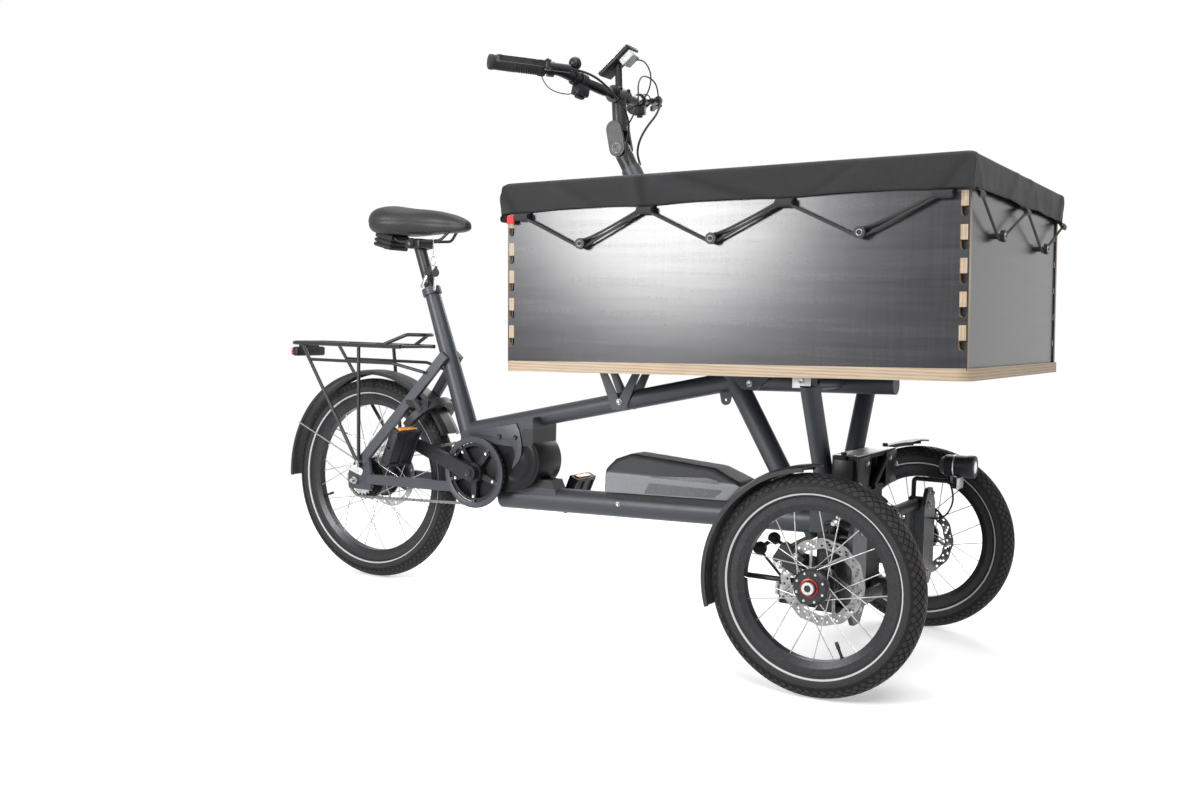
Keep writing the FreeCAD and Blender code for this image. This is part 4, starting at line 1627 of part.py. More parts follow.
def make_cover_cord():
    """An elastic cord that zigzags from the cover's loops down under the knobs on three sides."""
    x0, x1, half, under = cover_reach()
    hem = under + COVER_T - COVER_SKIRT
    z_knob = BOX_LOW_Z + FLOOR_THICK + KNOB_UP - KNOB_NECK_R - CORD_R - CORD_SLACK
    knob_y = BOX_WIDTH / 2 - PANEL_INSET + KNOB_NECK_LENGTH * CORD_ON_NECK_SHARE
    loop_y = half + LOOP_T + CORD_R + CORD_SLACK
    cords = []
    loops = hem_loops()
    route = []
    for i, x in enumerate(loops):
        route.append(at(x, loop_y, hem))
        if i < len(loops) - 1:
            route.append(at(x + KNOB_PITCH / 2, knob_y, z_knob))
    for sign in (-1, 1):
        points = [V(p.x, sign * p.y, p.z) for p in route]
        cords.append(raked(bent_rod(points, CORD_R, CORD_BEND_R)))
    front_face = BOX_REAR_AT + BOX_LENGTH - PANEL_INSET - END_PANEL_INSET + PANEL_THICK
    front_knob_x = front_face + KNOB_NECK_LENGTH * CORD_ON_NECK_SHARE
    loop_x = x1 + LOOP_T + CORD_R + CORD_SLACK
    front = [at(loop_x, -half * LOOP_END_SHARE, hem), at(front_knob_x, -KNOB_END_PITCH / 2, z_knob),
             at(loop_x, 0, hem),
             at(front_knob_x, KNOB_END_PITCH / 2, z_knob), at(loop_x, half * LOOP_END_SHARE, hem)]
    cords.append(raked(bent_rod(front, CORD_R, CORD_BEND_R)))
    keep("cover_cord", cords)


# Battery
def make_battery():
    span = BATTERY_NOSE_AT - BATTERY_BACK_AT
    rise = BATTERY_TOP - BATTERY_LOW
    outline = []
    for share_x, share_z in BATTERY_PROFILE_SHARES:
        x = BATTERY_BACK_AT + span * share_x
        outline.append((x, lower_tube_z(x) + BATTERY_LOW + rise * share_z))
    body = side_plate(outline, -BATTERY_HALF_W, BATTERY_HALF_W)
    base = lower_tube_z(BATTERY_BACK_AT)
    section = front_plate([
        (-BATTERY_LOW_HALF_W, base), (BATTERY_LOW_HALF_W, base), (BATTERY_HALF_W, base + BATTERY_SHOULDER),
        (BATTERY_TOP_HALF_W, base + BATTERY_TOP + BATTERY_LOW / 2),
        (-BATTERY_TOP_HALF_W, base + BATTERY_TOP + BATTERY_LOW / 2),
        (-BATTERY_HALF_W, base + BATTERY_SHOULDER)], BATTERY_BACK_AT, BATTERY_NOSE_AT)
    keep("battery_pack", body.common(section))
    top = BATTERY_LOW - TOUCH_GAP
    rail = side_plate([
        (RAIL_BACK_AT, lower_tube_z(RAIL_BACK_AT) + RAIL_ROOT),
        (RAIL_FRONT_AT, lower_tube_z(RAIL_FRONT_AT) + RAIL_ROOT),
        (RAIL_FRONT_AT, lower_tube_z(RAIL_FRONT_AT) + top), (RAIL_BACK_AT,
                                                             lower_tube_z(RAIL_BACK_AT) + top)],
        -RAIL_HALF_W, RAIL_HALF_W)
    for solid in NODES["main_frame"].Solids:
        rail = rail.cut(solid)
    keep("battery_rail", max(rail.Solids, key=lambda s: s.Volume))


def main():
    make_front_wheel(1)
    make_front_wheel(-1)
    make_rear_wheel()
    make_drive()
    frame = make_frame()
    make_stays(frame)
    make_rear_rack()
    make_ring_lock(frame)
    make_seat()
    make_front_carrier()
    make_front_ends()
    make_cables(make_steering())
    make_box()
    make_cover()
    make_cover_cord()
    make_battery()
    os.makedirs("parts", exist_ok=True)
    for name, shape in NODES.items():
        shape.exportStep("parts/" + name + ".step")
        print(name, "solids", len(shape.Solids), "valid", shape.isValid(), "volume", round(shape.Volume))
    print("nodes", len(NODES))


main()
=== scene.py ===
# %% [markdown]
# A cargo tricycle: a covered plywood box rides over two leaning front wheels, and one driven wheel follows.
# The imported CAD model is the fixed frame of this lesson. Every piece made here is placed on it, in metres,
# and moves with one of its bodies.

# %% Load the frame
import bpy
import bmesh
import math
from mathutils import Matrix, Vector, noise


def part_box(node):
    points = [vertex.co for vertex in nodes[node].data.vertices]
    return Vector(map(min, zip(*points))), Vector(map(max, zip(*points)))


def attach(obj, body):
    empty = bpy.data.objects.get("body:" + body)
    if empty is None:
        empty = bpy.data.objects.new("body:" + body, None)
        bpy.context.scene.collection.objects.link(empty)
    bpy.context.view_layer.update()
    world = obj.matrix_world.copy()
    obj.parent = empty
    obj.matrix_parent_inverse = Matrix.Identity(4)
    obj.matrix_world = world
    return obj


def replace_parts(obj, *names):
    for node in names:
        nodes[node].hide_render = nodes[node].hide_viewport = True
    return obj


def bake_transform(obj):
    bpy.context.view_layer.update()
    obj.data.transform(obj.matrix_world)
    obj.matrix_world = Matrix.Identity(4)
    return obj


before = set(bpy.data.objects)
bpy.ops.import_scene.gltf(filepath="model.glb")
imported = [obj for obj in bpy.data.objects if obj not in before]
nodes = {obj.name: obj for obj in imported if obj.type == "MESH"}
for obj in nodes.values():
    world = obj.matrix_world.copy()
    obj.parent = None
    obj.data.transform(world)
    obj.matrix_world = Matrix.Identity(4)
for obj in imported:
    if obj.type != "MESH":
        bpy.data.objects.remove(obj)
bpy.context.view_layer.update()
MM = 0.001
SIDES = ((-1, "right"), (1, "left"))

# %% [markdown]
# The photograph was taken from the right front, a little above the box floor. A camera is a place, three turns
# and a lens. The turns are written as yaw, pitch and roll, and the matrix is put together from the directions
# that they give, because that is easier to check than three Euler angles.

# %% Camera
CAMERA_PLACE = Vector((1.4457, -2.3981, 0.6644))
CAMERA_YAW, CAMERA_PITCH, CAMERA_ROLL = (math.radians(a) for a in (-31.003, -3.651, 1.403))
CAMERA_LENS_MM = 37.03


def show(name, data):
    """A new object in the scene."""
    made = bpy.data.objects.new(name, data)
    bpy.context.scene.collection.objects.link(made)
    return made


def aim_camera():
    """A camera that looks along yaw and pitch, turned about its own view line by roll."""
    level = math.cos(CAMERA_PITCH)
    ahead = Vector((math.sin(CAMERA_YAW) * level, math.cos(CAMERA_YAW) * level, math.sin(CAMERA_PITCH)))
    right = Vector((math.cos(CAMERA_YAW), -math.sin(CAMERA_YAW), 0.0))
    up = right.cross(ahead)
    cos, sin = math.cos(CAMERA_ROLL), math.sin(CAMERA_ROLL)
    turn = Matrix((right * cos + up * sin, up * cos - right * sin, -ahead)).transposed()
    data = bpy.data.cameras.new("photo_camera")
    data.lens = CAMERA_LENS_MM
    data.sensor_width = 36.0
    camera = show("photo_camera", data)
    camera.matrix_world = Matrix.Translation(CAMERA_PLACE) @ turn.to_4x4()
    bpy.context.scene.camera = camera


aim_camera()
bpy.context.scene.view_settings.view_transform = "Standard"
print("camera with a lens of", CAMERA_LENS_MM, "mm")

# %% [markdown]
# A finish is a small graph of nodes on one surface shader. A Field stands for one value in such a graph, so that a
# pattern can be written as a sum: every plus, times or comparison adds a Math node. Object coordinates are the place
# on the tricycle in metres, so a noise scale of 800 has grains of about a millimetre.

# %% Values in a node graph


class Field:
    """A node's output. Arithmetic with fields and numbers adds Math nodes. A comparison gives 1 or 0."""

    def __init__(self, tree, socket):
        self.tree, self.socket = tree, socket

    def math(self, operation, other=None):
        made = self.tree.nodes.new("ShaderNodeMath")
        made.operation = operation
        feed(made.inputs[0], self)
        if other is not None:
            feed(made.inputs[1], other)
        return Field(self.tree, made.outputs[0])

    def __add__(self, other):
        return self.math("ADD", other)

    def __sub__(self, other):
        return self.math("SUBTRACT", other)

    def __mul__(self, other):
        return self.math("MULTIPLY", other)

    def __mod__(self, other):
        return self.math("FLOORED_MODULO", other)

    def __gt__(self, other):
        return self.math("GREATER_THAN", other)

    def __lt__(self, other):
        return self.math("LESS_THAN", other)

    def __or__(self, other):
        return self.math("MAXIMUM", other)

    def __abs__(self):
        return self.math("ABSOLUTE")


def feed(socket, value):
    """Gives a socket a field, or else a plain number, vector or colour."""
    if isinstance(value, Field):
        value.tree.links.new(value.socket, socket)
    elif socket.type == "RGBA":
        socket.default_value = (*value, 1.0)
    else:
        socket.default_value = value


def add_node(tree, kind, out=0, **values):
    """A node with its inputs fed (To_Min is the input To Min), and one of its outputs as a field."""
    made = tree.nodes.new("ShaderNode" + kind)
    for name, value in values.items():
        feed(made.inputs[name.replace("_", " ")], value)
    return Field(tree, made.outputs[out])


def set_surface(tree, **values):
    for name, value in values.items():
        feed(tree.nodes["Principled BSDF"].inputs[name.replace("_", " ")], value)


def split(vector):
    """The x, y and z of a vector field."""
    made = add_node(vector.tree, "SeparateXYZ", Vector=vector).socket.node
    return [Field(vector.tree, out) for out in made.outputs]


def length_of(vector):
    made = vector.tree.nodes.new("ShaderNodeVectorMath")
    made.operation = "LENGTH"
    feed(made.inputs[0], vector)
    return Field(vector.tree, made.outputs["Value"])


def within(value, low, high):
    return (value > low) * (value < high)


def place_on(tree, stretch=(1, 1, 1), shift=(0, 0, 0)):
    """Object coordinates through a Mapping node, so that a pattern can be stretched or centred."""
    return add_node(tree, "Mapping", Vector=add_node(tree, "TexCoord", "Object"), Scale=stretch, Location=shift)


def noise_on(tree, scale, detail=4.0, stretch=(1, 1, 1)):
    return add_node(tree, "TexNoise", "Fac", Vector=place_on(tree, stretch), Scale=scale, Detail=detail)


def ramp(value, low, high, first, last):
    """Colours from first to last as value goes from low to high."""
    made = add_node(value.tree, "ValToRGB", "Color", Fac=value)
    for end, position, colour in zip(made.socket.node.color_ramp.elements, (low, high), (first, last)):
        end.position = position
        end.color = (*colour, 1.0)
    return made


def mix_colours(factor, first, second):
    """First where factor is 0, second where it is 1. Each is a colour or a field."""
    made = factor.tree.nodes.new("ShaderNodeMix")
    made.data_type = "RGBA"
    for socket, value in ((made.inputs["Factor"], factor), (made.inputs[6], first), (made.inputs[7], second)):
        feed(socket, value)
    return Field(factor.tree, made.outputs[2])


def relief(height, depth, strength):
    """Bump from a height field. depth is in metres."""
    bump = add_node(height.tree, "Bump", "Normal", Height=height, Strength=strength, Distance=depth)
    set_surface(height.tree, Normal=bump)


def grey(level):
    return (level, level, level)


BLACK, WHITE = grey(0.0), grey(1.0)


def make_finish(name, tones=None, gloss=0.5, grain=None, metallic=0.0, shine=0.5, **more):
    """One material. tones is a noise scale with two colours, gloss a roughness or a noise scale with two of them
    (both may end with a stretch), and grain a noise scale with the depth in metres and the strength of a relief."""
    made = bpy.data.materials.new(name)
    made.use_nodes = True
    tree = made.node_tree
    if tones:
        scale, first, last, *stretch = tones
        set_surface(tree, Base_Color=ramp(noise_on(tree, scale, 5.0, *stretch), 0.35, 0.65, first, last))
    if isinstance(gloss, tuple):
        scale, low, high, *stretch = gloss
        gloss = add_node(tree, "MapRange", Value=noise_on(tree, scale, 4.0, *stretch), To_Min=low, To_Max=high)
    if grain:
        scale, depth, strength = grain
        relief(noise_on(tree, scale), depth, strength)
    set_surface(tree, Roughness=gloss, Metallic=metallic, Specular_IOR_Level=shine, **more)
    return made


print("node helpers ready")

# %% [markdown]
# A white product picture needs even light from many sides: a pale world, large soft lamps and a pale floor. The
# world shows pure white to the camera and to reflections, and less than that as a light, so dark paint keeps its
# depth. The floor is lit near the wheels, where it takes their shadow, and fades to plain white further out, so
# that no horizon shows. One lamp stands low at the right rear, where the side of the box mirrors it.

# %% Light and floor
WORLD_LIGHT = 0.42
FLOOR_R = 14.0
FLOOR_LIT_R = 1.3
FLOOR_WHITE_R = 2.9
FLOOR_GLOW = 0.30
LAMPS = (("key_lamp", (2.2, -2.8, 3.6), (0.1, 0.0, 0.5), 2.6, 150),
         ("side_lamp", (-1.02, -2.9, 1.24), (0.2, -0.2, 0.8), 1.05, 92),
         ("top_lamp", (-0.3, 0.4, 3.8), (0.0, 0.0, 0.5), 3.0, 70),
         ("back_lamp", (-0.6, 3.4, 2.4), (0.0, 0.0, 0.6), 2.2, 60))


def seen_rays(tree):
    """1 for rays that are seen, straight or in a mirror or through glass, and 0 for those that only bring light."""
    path = tree.nodes.new("ShaderNodeLightPath")
    kinds = ("Is Camera Ray", "Is Glossy Ray", "Is Transmission Ray")
    straight, mirrored, through = (Field(tree, path.outputs[kind]) for kind in kinds)
    return straight | mirrored | through


def light_world():
    world = bpy.data.worlds.new("studio")
    bpy.context.scene.world = world
    world.use_nodes = True
    tree = world.node_tree
    sky = tree.nodes["Background"]
    feed(sky.inputs["Color"], WHITE)
    feed(sky.inputs["Strength"], add_node(tree, "MapRange", Value=seen_rays(tree), To_Min=WORLD_LIGHT, To_Max=1.0))


def soft_lamp(name, place, target, size, watts):
    data = bpy.data.lights.new(name, "AREA")
    data.shape = "DISK"
    data.size = size
    data.energy = watts
    away = Vector(place) - Vector(target)
    show(name, data).matrix_world = Matrix.Translation(place) @ away.to_track_quat("Z", "Y").to_matrix().to_4x4()


def mesh_of(shape, name):
    """Turns a bmesh into a mesh and frees it."""
    mesh = bpy.data.meshes.new(name)
    shape.to_mesh(mesh)
    shape.free()
    return mesh


def lay_floor():
    """A wide disc that is lit like any surface near the wheels, and plain white to the eye further out."""
    shape = bmesh.new()
    bmesh.ops.create_circle(shape, cap_ends=True, segments=96, radius=FLOOR_R)
    floor = show("studio_floor", mesh_of(shape, "studio_floor"))
    paint = make_finish("studio_white", None, 0.6, Base_Color=(0.86, 0.86, 0.87), Emission_Color=WHITE,
                        Emission_Strength=FLOOR_GLOW)
    tree = paint.node_tree
    away = length_of(add_node(tree, "TexCoord", "Object"))
    fade = add_node(tree, "MapRange", Value=away, From_Min=FLOOR_LIT_R, From_Max=FLOOR_WHITE_R)
    fade.socket.node.interpolation_type = "SMOOTHSTEP"
    both = tree.nodes.new("ShaderNodeMixShader")
    lit = Field(tree, tree.nodes["Principled BSDF"].outputs[0])
    plain = add_node(tree, "Emission", Strength=1.0)
    for socket, value in zip(both.inputs, (fade * seen_rays(tree), lit, plain)):
        feed(socket, value)
    tree.links.new(both.outputs[0], tree.nodes["Material Output"].inputs["Surface"])
    floor.data.materials.append(paint)


light_world()
for lamp in LAMPS:
    soft_lamp(*lamp)
lay_floor()
print("lamps", len(LAMPS))

# %% [markdown]
# Metal finishes. The frame has a matt blue-grey powder coat with a faint orange-peel skin. Hubs, cranks and bar
# are black anodised aluminium, which shines more than paint. Bolts, spokes and brake discs are bare steel.

# %% Metals and paints
POWDER = dict(tones=(500.0, (0.021, 0.024, 0.030), (0.027, 0.031, 0.039)), gloss=(60.0, 0.38, 0.50),
              grain=(900.0, 0.0002, 0.35), shine=0.42)


def frame_coat():
    """The powder coat, with the nose of the motor cradle and the link below it in black."""
    made = make_finish("frame_coat", **POWDER)
    tree = made.node_tree
    coat = Field(tree, tree.nodes["Principled BSDF"].inputs["Base Color"].links[0].from_socket)
    x, _, z = split(place_on(tree))
    nose = within(x, -0.1740, -0.1400) * within(z, 0.3600, 0.4120)
    link = within(x, -0.2100, -0.0700) * within(z, 0.2745, 0.3000)
    set_surface(tree, Base_Color=mix_colours(nose | link, coat, (0.006, 0.006, 0.007)))
    return made


PAINT = make_finish("powder_coat", **POWDER)
FRAME_PAINT = frame_coat()
SATIN = make_finish("satin_black", (300.0, (0.010, 0.010, 0.011), (0.015, 0.015, 0.016)), (45.0, 0.30, 0.46),
                    (700.0, 0.0001, 0.25), shine=0.32)
ANODISED = make_finish("black_anodised", (220.0, (0.016, 0.016, 0.018), (0.024, 0.024, 0.027)), (90.0, 0.26, 0.42),
                       (1800.0, 0.00004, 0.2), 0.45, 0.35)
ALLOY = make_finish("machined_alloy", (120.0, (0.50, 0.50, 0.51), (0.64, 0.64, 0.65), (1, 6, 1)),
                    (200.0, 0.24, 0.44, (1, 8, 1)), metallic=1.0)
STEEL = make_finish("bright_steel", (160.0, grey(0.36), grey(0.47)), (300.0, 0.22, 0.40), metallic=1.0)
ROTOR_STEEL = make_finish("ground_steel", (160.0, grey(0.16), grey(0.25)), (300.0, 0.28, 0.46), metallic=1.0)
CHAIN_STEEL = make_finish("oiled_steel", (500.0, grey(0.10), grey(0.26)), (200.0, 0.28, 0.46), metallic=1.0)
ZINC = make_finish("dull_zinc", (90.0, (0.46, 0.47, 0.47), (0.62, 0.63, 0.63)), (120.0, 0.34, 0.55), metallic=0.9)
UPRIGHT_GREY = make_finish("grey_upright", (140.0, (0.050, 0.052, 0.056), (0.070, 0.072, 0.076)), 0.42,
                           (1200.0, 0.00006, 0.3), 0.5)
RED_RING = make_finish("red_anodised", (200.0, (0.17, 0.012, 0.010), (0.24, 0.022, 0.016)), 0.35, metallic=0.5)
print("metals and paints made")

# %% [markdown]
# Plastics, rubber and lenses. Moulded plastic has a fine spark-eroded grain. Lamp glass is a clear coat over a
# bright inside, which is enough for a lamp that is switched off.

# %% Plastics, rubber and lenses


def moulded_plastic(name, tone, gloss, shine=0.24):
    tones = (260.0, [0.84 * c for c in tone], [1.2 * c for c in tone])
    return make_finish(name, tones, (70.0, gloss - 0.08, gloss + 0.08), (1600.0, 0.00012, 0.4), shine=shine)


def coloured_lens(name, deep, bright):
    """A ribbed lens: fine ridges in a clear coloured plastic."""
    made = make_finish(name, None, 0.14, Coat_Weight=0.7, Coat_Roughness=0.05)
    tree = made.node_tree
    ridges = add_node(tree, "TexWave", "Fac", Vector=place_on(tree), Scale=180.0, Distortion=0.4)
    set_surface(tree, Base_Color=ramp(ridges, 0.2, 0.8, deep, bright))
    relief(ridges, 0.0006, 0.6)
    return made


PLASTIC = moulded_plastic("moulded_plastic", (0.014, 0.014, 0.016), 0.46)
MOTOR_BLACK = moulded_plastic("motor_black", (0.007, 0.007, 0.008), 0.36, 0.14)
GREY_PLASTIC = moulded_plastic("grey_plastic", (0.085, 0.089, 0.093), 0.42)
PALE_PLASTIC = moulded_plastic("pale_plastic", (0.42, 0.43, 0.44), 0.30)
RUBBER = make_finish("soft_rubber", (400.0, grey(0.011), grey(0.016)), 0.66, (1100.0, 0.0002, 0.4), shine=0.30)
RED_LENS = coloured_lens("red_lens", (0.30, 0.008, 0.008), (0.55, 0.02, 0.02))
AMBER_LENS = coloured_lens("amber_lens", (0.55, 0.16, 0.01), (0.85, 0.32, 0.03))
CLEAR_LENS = coloured_lens("clear_lens", (0.62, 0.64, 0.66), (0.92, 0.93, 0.94))
SCREEN_GLASS = make_finish("dark_glass", (30.0, (0.009, 0.010, 0.012), (0.014, 0.015, 0.018)), 0.08,
                           Coat_Weight=0.8, Coat_Roughness=0.04)
print("plastics, rubber and lenses made")

# %% [markdown]
# The box is plywood with a black phenolic film on its faces. The film mirrors the room softly and shows the wood
# below as long faint streaks. Where a sheet is cut, its pale plies show as thin layers. The material finds the
# cut edges by itself: they are the faces that point along the sheet.

# %% Plywood
BOX_TURN = Vector((0.459, 0.0, 0.570))
BOX_RAKE = math.radians(1.31)
BOX_SIDE_Y = 0.3436
END_PANEL_FROM_MIDDLE = 0.451
END_PANEL_HALF = 6.1 * MM
PLY_THICK = 2.8 * MM
TONGUE_LOW = 0.637
TONGUE_H = 0.025
TONGUE_STEP = 0.055


def ply_layers(across):
    """Pale and darker veneers, stacked along one axis of the sheet, with long grain lines."""
    tree = across.tree
    layer = (across * (1.0 / PLY_THICK) + noise_on(tree, 30.0) * 0.6).math("PINGPONG", 1.0)
    tone = layer * 0.55 + noise_on(tree, 260.0, 6.0, (0.08, 0.08, 1.0)) * 0.6
    return ramp(tone, 0.15, 0.95, (0.185, 0.128, 0.080), (0.34, 0.265, 0.185))


def box_sheet(name, layers_along, cut_faces):
    """Film with streaks along and across it, and pale plies on the edges, which cut_faces finds from place and look."""
    made = make_finish(name)
    tree = made.node_tree
    place, look = split(place_on(tree)), split(add_node(tree, "TexCoord", "Normal"))
    edge = cut_faces(place, look)
    along, upright = noise_on(tree, 40.0, 6.0, (0.10, 0.10, 2.4)), noise_on(tree, 120.0, 5.0, (1.6, 1.6, 0.06))
    streaks = along * 0.68 + upright * 0.32
    film = ramp(streaks, 0.30, 0.72, (0.004, 0.004, 0.006), (0.017, 0.017, 0.022))
    rough = add_node(tree, "MapRange", Value=streaks, To_Min=0.18, To_Max=0.31) + edge * 0.35
    set_surface(tree, Base_Color=mix_colours(edge, film, ply_layers(place[layers_along])), Roughness=rough)
    relief(streaks, 0.0003, 0.28)
    return made


def floor_edges(place, look):
    """The floor sheet: every face that doesn't look up or down is a cut edge."""
    return abs(look[2]) < 0.8


def panel_edges(place, look):
    """The panels: end faces of the sides, and the ends of the tabs that stand in the side panels' slots."""
    x, y, z = place
    forward, sideways, upward = (abs(way) > 0.7 for way in look)
    level_x = x + (z - BOX_TURN.z) * math.sin(BOX_RAKE)
    level_z = z - (x - BOX_TURN.x) * math.sin(BOX_RAKE)
    in_end_panel = abs(abs(level_x - BOX_TURN.x) - END_PANEL_FROM_MIDDLE) < END_PANEL_HALF
    in_tongue = ((level_z - TONGUE_LOW) % TONGUE_STEP < TONGUE_H) * (level_z > TONGUE_LOW) * in_end_panel
    return (forward | upward | in_tongue * sideways) * (abs(y) > BOX_SIDE_Y)


FLOOR_PLY = box_sheet("floor_ply", 2, floor_edges)
PANEL_PLY = box_sheet("panel_ply", 0, panel_edges)
print("plywood made")

# %% [markdown]
# The CAD nodes keep their shapes and get these finishes. The front carrier, motor and display would look like cut
# paper with sharp corners. A Weld modifier joins their loose triangles, and a small Bevel then rounds every real
# edge and lets it catch the light, as a moulded or machined edge does.

# %% Dress the CAD nodes
WELD_DISTANCE = 0.02 * MM
EDGE_MM = {"front_carrier": 0.8, "motor_unit": 2.5, "display": 1.0}
DRESS = ((FRAME_PAINT, "main_frame"), (PAINT, "rear_stays box_brackets"), (UPRIGHT_GREY, "upright_left upright_right"),
         (MOTOR_BLACK, "front_carrier motor_unit"), (FLOOR_PLY, "box_floor"), (PANEL_PLY, "box_panels"),
         (SATIN, "upper_beam lower_beam rear_rack rear_fender front_left_fender front_right_fender seat_post stem "
                 "steering_shaft"),
         (PLASTIC, "ring_lock battery_rail cord_knobs headlight pedal_left pedal_right display battery_pack saddle "
                   "grips box_cover cover_cord control_cables chain"),
         (ANODISED, "crank_arms chainring handlebar bar_controls brake_lever_left brake_lever_right knuckle_left "
                    "knuckle_right rear_rim rear_hub front_left_rim front_left_hub front_right_rim front_right_hub"),
         (STEEL, "rear_axle rear_sprocket tie_rod tie_rod_ball rear_rotor front_left_rotor front_right_rotor "
                 "rear_spokes front_left_spokes front_right_spokes"),
         (RED_LENS, "tail_light"), (RUBBER, "rear_tyre front_left_tyre front_right_tyre"))


def round_edges(piece, width):
    piece.modifiers.new("join_triangles", "WELD").merge_threshold = WELD_DISTANCE
    edge = piece.modifiers.new("soft_edges", "BEVEL")
    edge.width = width
    edge.segments = 2
    edge.limit_method = "ANGLE"
    edge.angle_limit = math.radians(35)
    edge.harden_normals = False


for finish, names in DRESS:
    for name in names.split():
        nodes[name].data.materials.clear()
        nodes[name].data.materials.append(finish)
        if name in EDGE_MM:
            round_edges(nodes[name], EDGE_MM[name] * MM)
print("dressed", sum(len(names.split()) for finish, names in DRESS), "of", len(nodes), "nodes")

# %% [markdown]
# New pieces are made as small meshes by operators: a section is turned, a face is extruded, a row is repeated.
# Each mesh is merged and its faces are turned outwards before it becomes an object, and each object rides on the
# body that carries it.

# %% Piece helpers
MERGE_DISTANCE = 0.005 * MM


def new_piece(name, shape, finish, body, sharp_deg=38.0):
    """Makes an object from a bmesh. Edges that turn by more than sharp_deg stay sharp."""
    bmesh.ops.remove_doubles(shape, verts=shape.verts, dist=MERGE_DISTANCE)
    bmesh.ops.recalc_face_normals(shape, faces=shape.faces)
    mesh = mesh_of(shape, name)
    mesh.shade_smooth()
    mesh.set_sharp_from_angle(angle=math.radians(sharp_deg))
    mesh.materials.append(finish)
    made = show(name, mesh)
    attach(made, body)
    return made


def build(name, finish, body, slot, *parts):
    """A piece from parts. Each part is an add_ function and the values that it takes after the shape."""
    shape = bmesh.new()
    for add, *values in parts:
        add(shape, *values)
    return new_piece(name, shape, finish, body)


def facing(place, axis):
    """A matrix that takes the Z axis to the given axis at the given place."""
    return Matrix.Translation(Vector(place)) @ Vector(axis).to_track_quat("Z", "Y").to_matrix().to_4x4()


def fresh_verts(shape, before):
    return [v for v in shape.verts if v not in before]


def grow(shape, faces):
    """Extrudes faces and gives the new vertices, still where the old ones are."""
    made = bmesh.ops.extrude_face_region(shape, geom=faces)
    return [v for v in made["geom"] if isinstance(v, bmesh.types.BMVert)]


def soften(shape, edges, width):
    bmesh.ops.bevel(shape, geom=edges, offset=width, segments=2, profile=0.5, affect="EDGES", material=-1)


def spin_round(shape, geom, steps, cent=(0, 0, 0), axis=(0, 0, 1)):
    bmesh.ops.spin(shape, geom=geom, cent=cent, axis=axis, angle=2 * math.pi, steps=steps, use_merge=True)


def add_turned(shape, profile, place, axis, steps=32):
    """Turns (along, radius) points, in mm, about an axis. Ends at radius 0 close themselves when merged."""
    before = set(shape.verts)
    corners = [shape.verts.new((radius * MM, 0.0, along * MM)) for along, radius in profile]
    edges = [shape.edges.new(pair) for pair in zip(corners[:-1], corners[1:])]
    spin_round(shape, corners + edges, steps)
    bmesh.ops.transform(shape, matrix=facing(place, axis), verts=fresh_verts(shape, before))


def add_ring(shape, place, axis, radius, wire, steps=36, sides=10):
    """A wire ring: a small circle, spun about the axis."""
    before = set(shape.verts)
    stand = Matrix.Translation((radius, 0, 0)) @ Matrix.Rotation(math.pi / 2, 4, "X")
    made = bmesh.ops.create_circle(shape, segments=sides, radius=wire, matrix=stand)
    spin_round(shape, made["verts"] + list({e for v in made["verts"] for e in v.link_edges}), steps)
    bmesh.ops.transform(shape, matrix=facing(place, axis), verts=fresh_verts(shape, before))


def add_rod(shape, start, end, radius, steps=16):
    start, end = Vector(start), Vector(end)
    bmesh.ops.create_cone(shape, cap_ends=True, segments=steps, radius1=radius, radius2=radius,
                          depth=(end - start).length, matrix=facing((start + end) / 2, end - start))


def add_bolt(shape, place, axis, radius, height, sides):
    """A bolt head on a washer, in mm. Six sides for a nut, more for a round socket head with its key hole."""
    radius, height = radius * MM, height * MM
    at_place, washer_r = facing(place, axis), 1.35 * radius
    bmesh.ops.create_cone(shape, cap_ends=True, segments=20, radius1=washer_r, radius2=washer_r, depth=height * 0.36,
                          matrix=at_place @ Matrix.Translation((0, 0, height * 0.18)))
    head = bmesh.ops.create_cone(shape, cap_ends=True, segments=sides, radius1=radius, radius2=radius * 0.94,
                                 depth=height, matrix=at_place @ Matrix.Translation((0, 0, height * 0.7)))
    ends = [f for f in {f for v in head["verts"] for f in v.link_faces} if len(f.verts) == sides]
    top = max(ends, key=lambda f: (at_place.inverted() @ f.calc_center_median()).z)
    bmesh.ops.inset_region(shape, faces=[top], thickness=radius * 0.42)
    bmesh.ops.translate(shape, verts=list(top.verts), vec=facing((0, 0, 0), axis) @ Vector((0, 0, -height * 0.35)))


def add_block(shape, low, high, edge, turn=None):
    """A box between two corners with rounded edges, turned by a matrix if one is given."""
    before = set(shape.verts)
    low, high = Vector(low), Vector(high)
    spread = Matrix.Diagonal((*(high - low), 1.0))
    bmesh.ops.create_cube(shape, size=1.0, matrix=Matrix.Translation((low + high) / 2) @ spread)
    soften(shape, list({e for v in fresh_verts(shape, before) for e in v.link_edges}), edge)
    if turn is not None:
        bmesh.ops.transform(shape, matrix=turn, verts=fresh_verts(shape, before))


def pair(low, high, edge):
    """Parts for one block on each side. The corners are those of the left one."""
    (x0, y0, z0), (x1, y1, z1) = low, high
    return (add_block, (x0, -y1, z0), (x1, -y0, z1), edge), (add_block, low, high, edge)


def add_plate(shape, outline, thick, edge, place):
    """An outline of (u, v) points in mm, extruded by thick, with softened edges, and set in place by a matrix."""
    before = set(shape.verts)
    face = shape.faces.new([shape.verts.new((u * MM, v * MM, 0.0)) for u, v in outline])
    top = grow(shape, [face])
    bmesh.ops.translate(shape, verts=top, vec=(0, 0, thick))
    soften(shape, list({e for v in top for e in v.link_edges if e.other_vert(v) in top}), edge)
    bmesh.ops.transform(shape, matrix=place, verts=fresh_verts(shape, before))


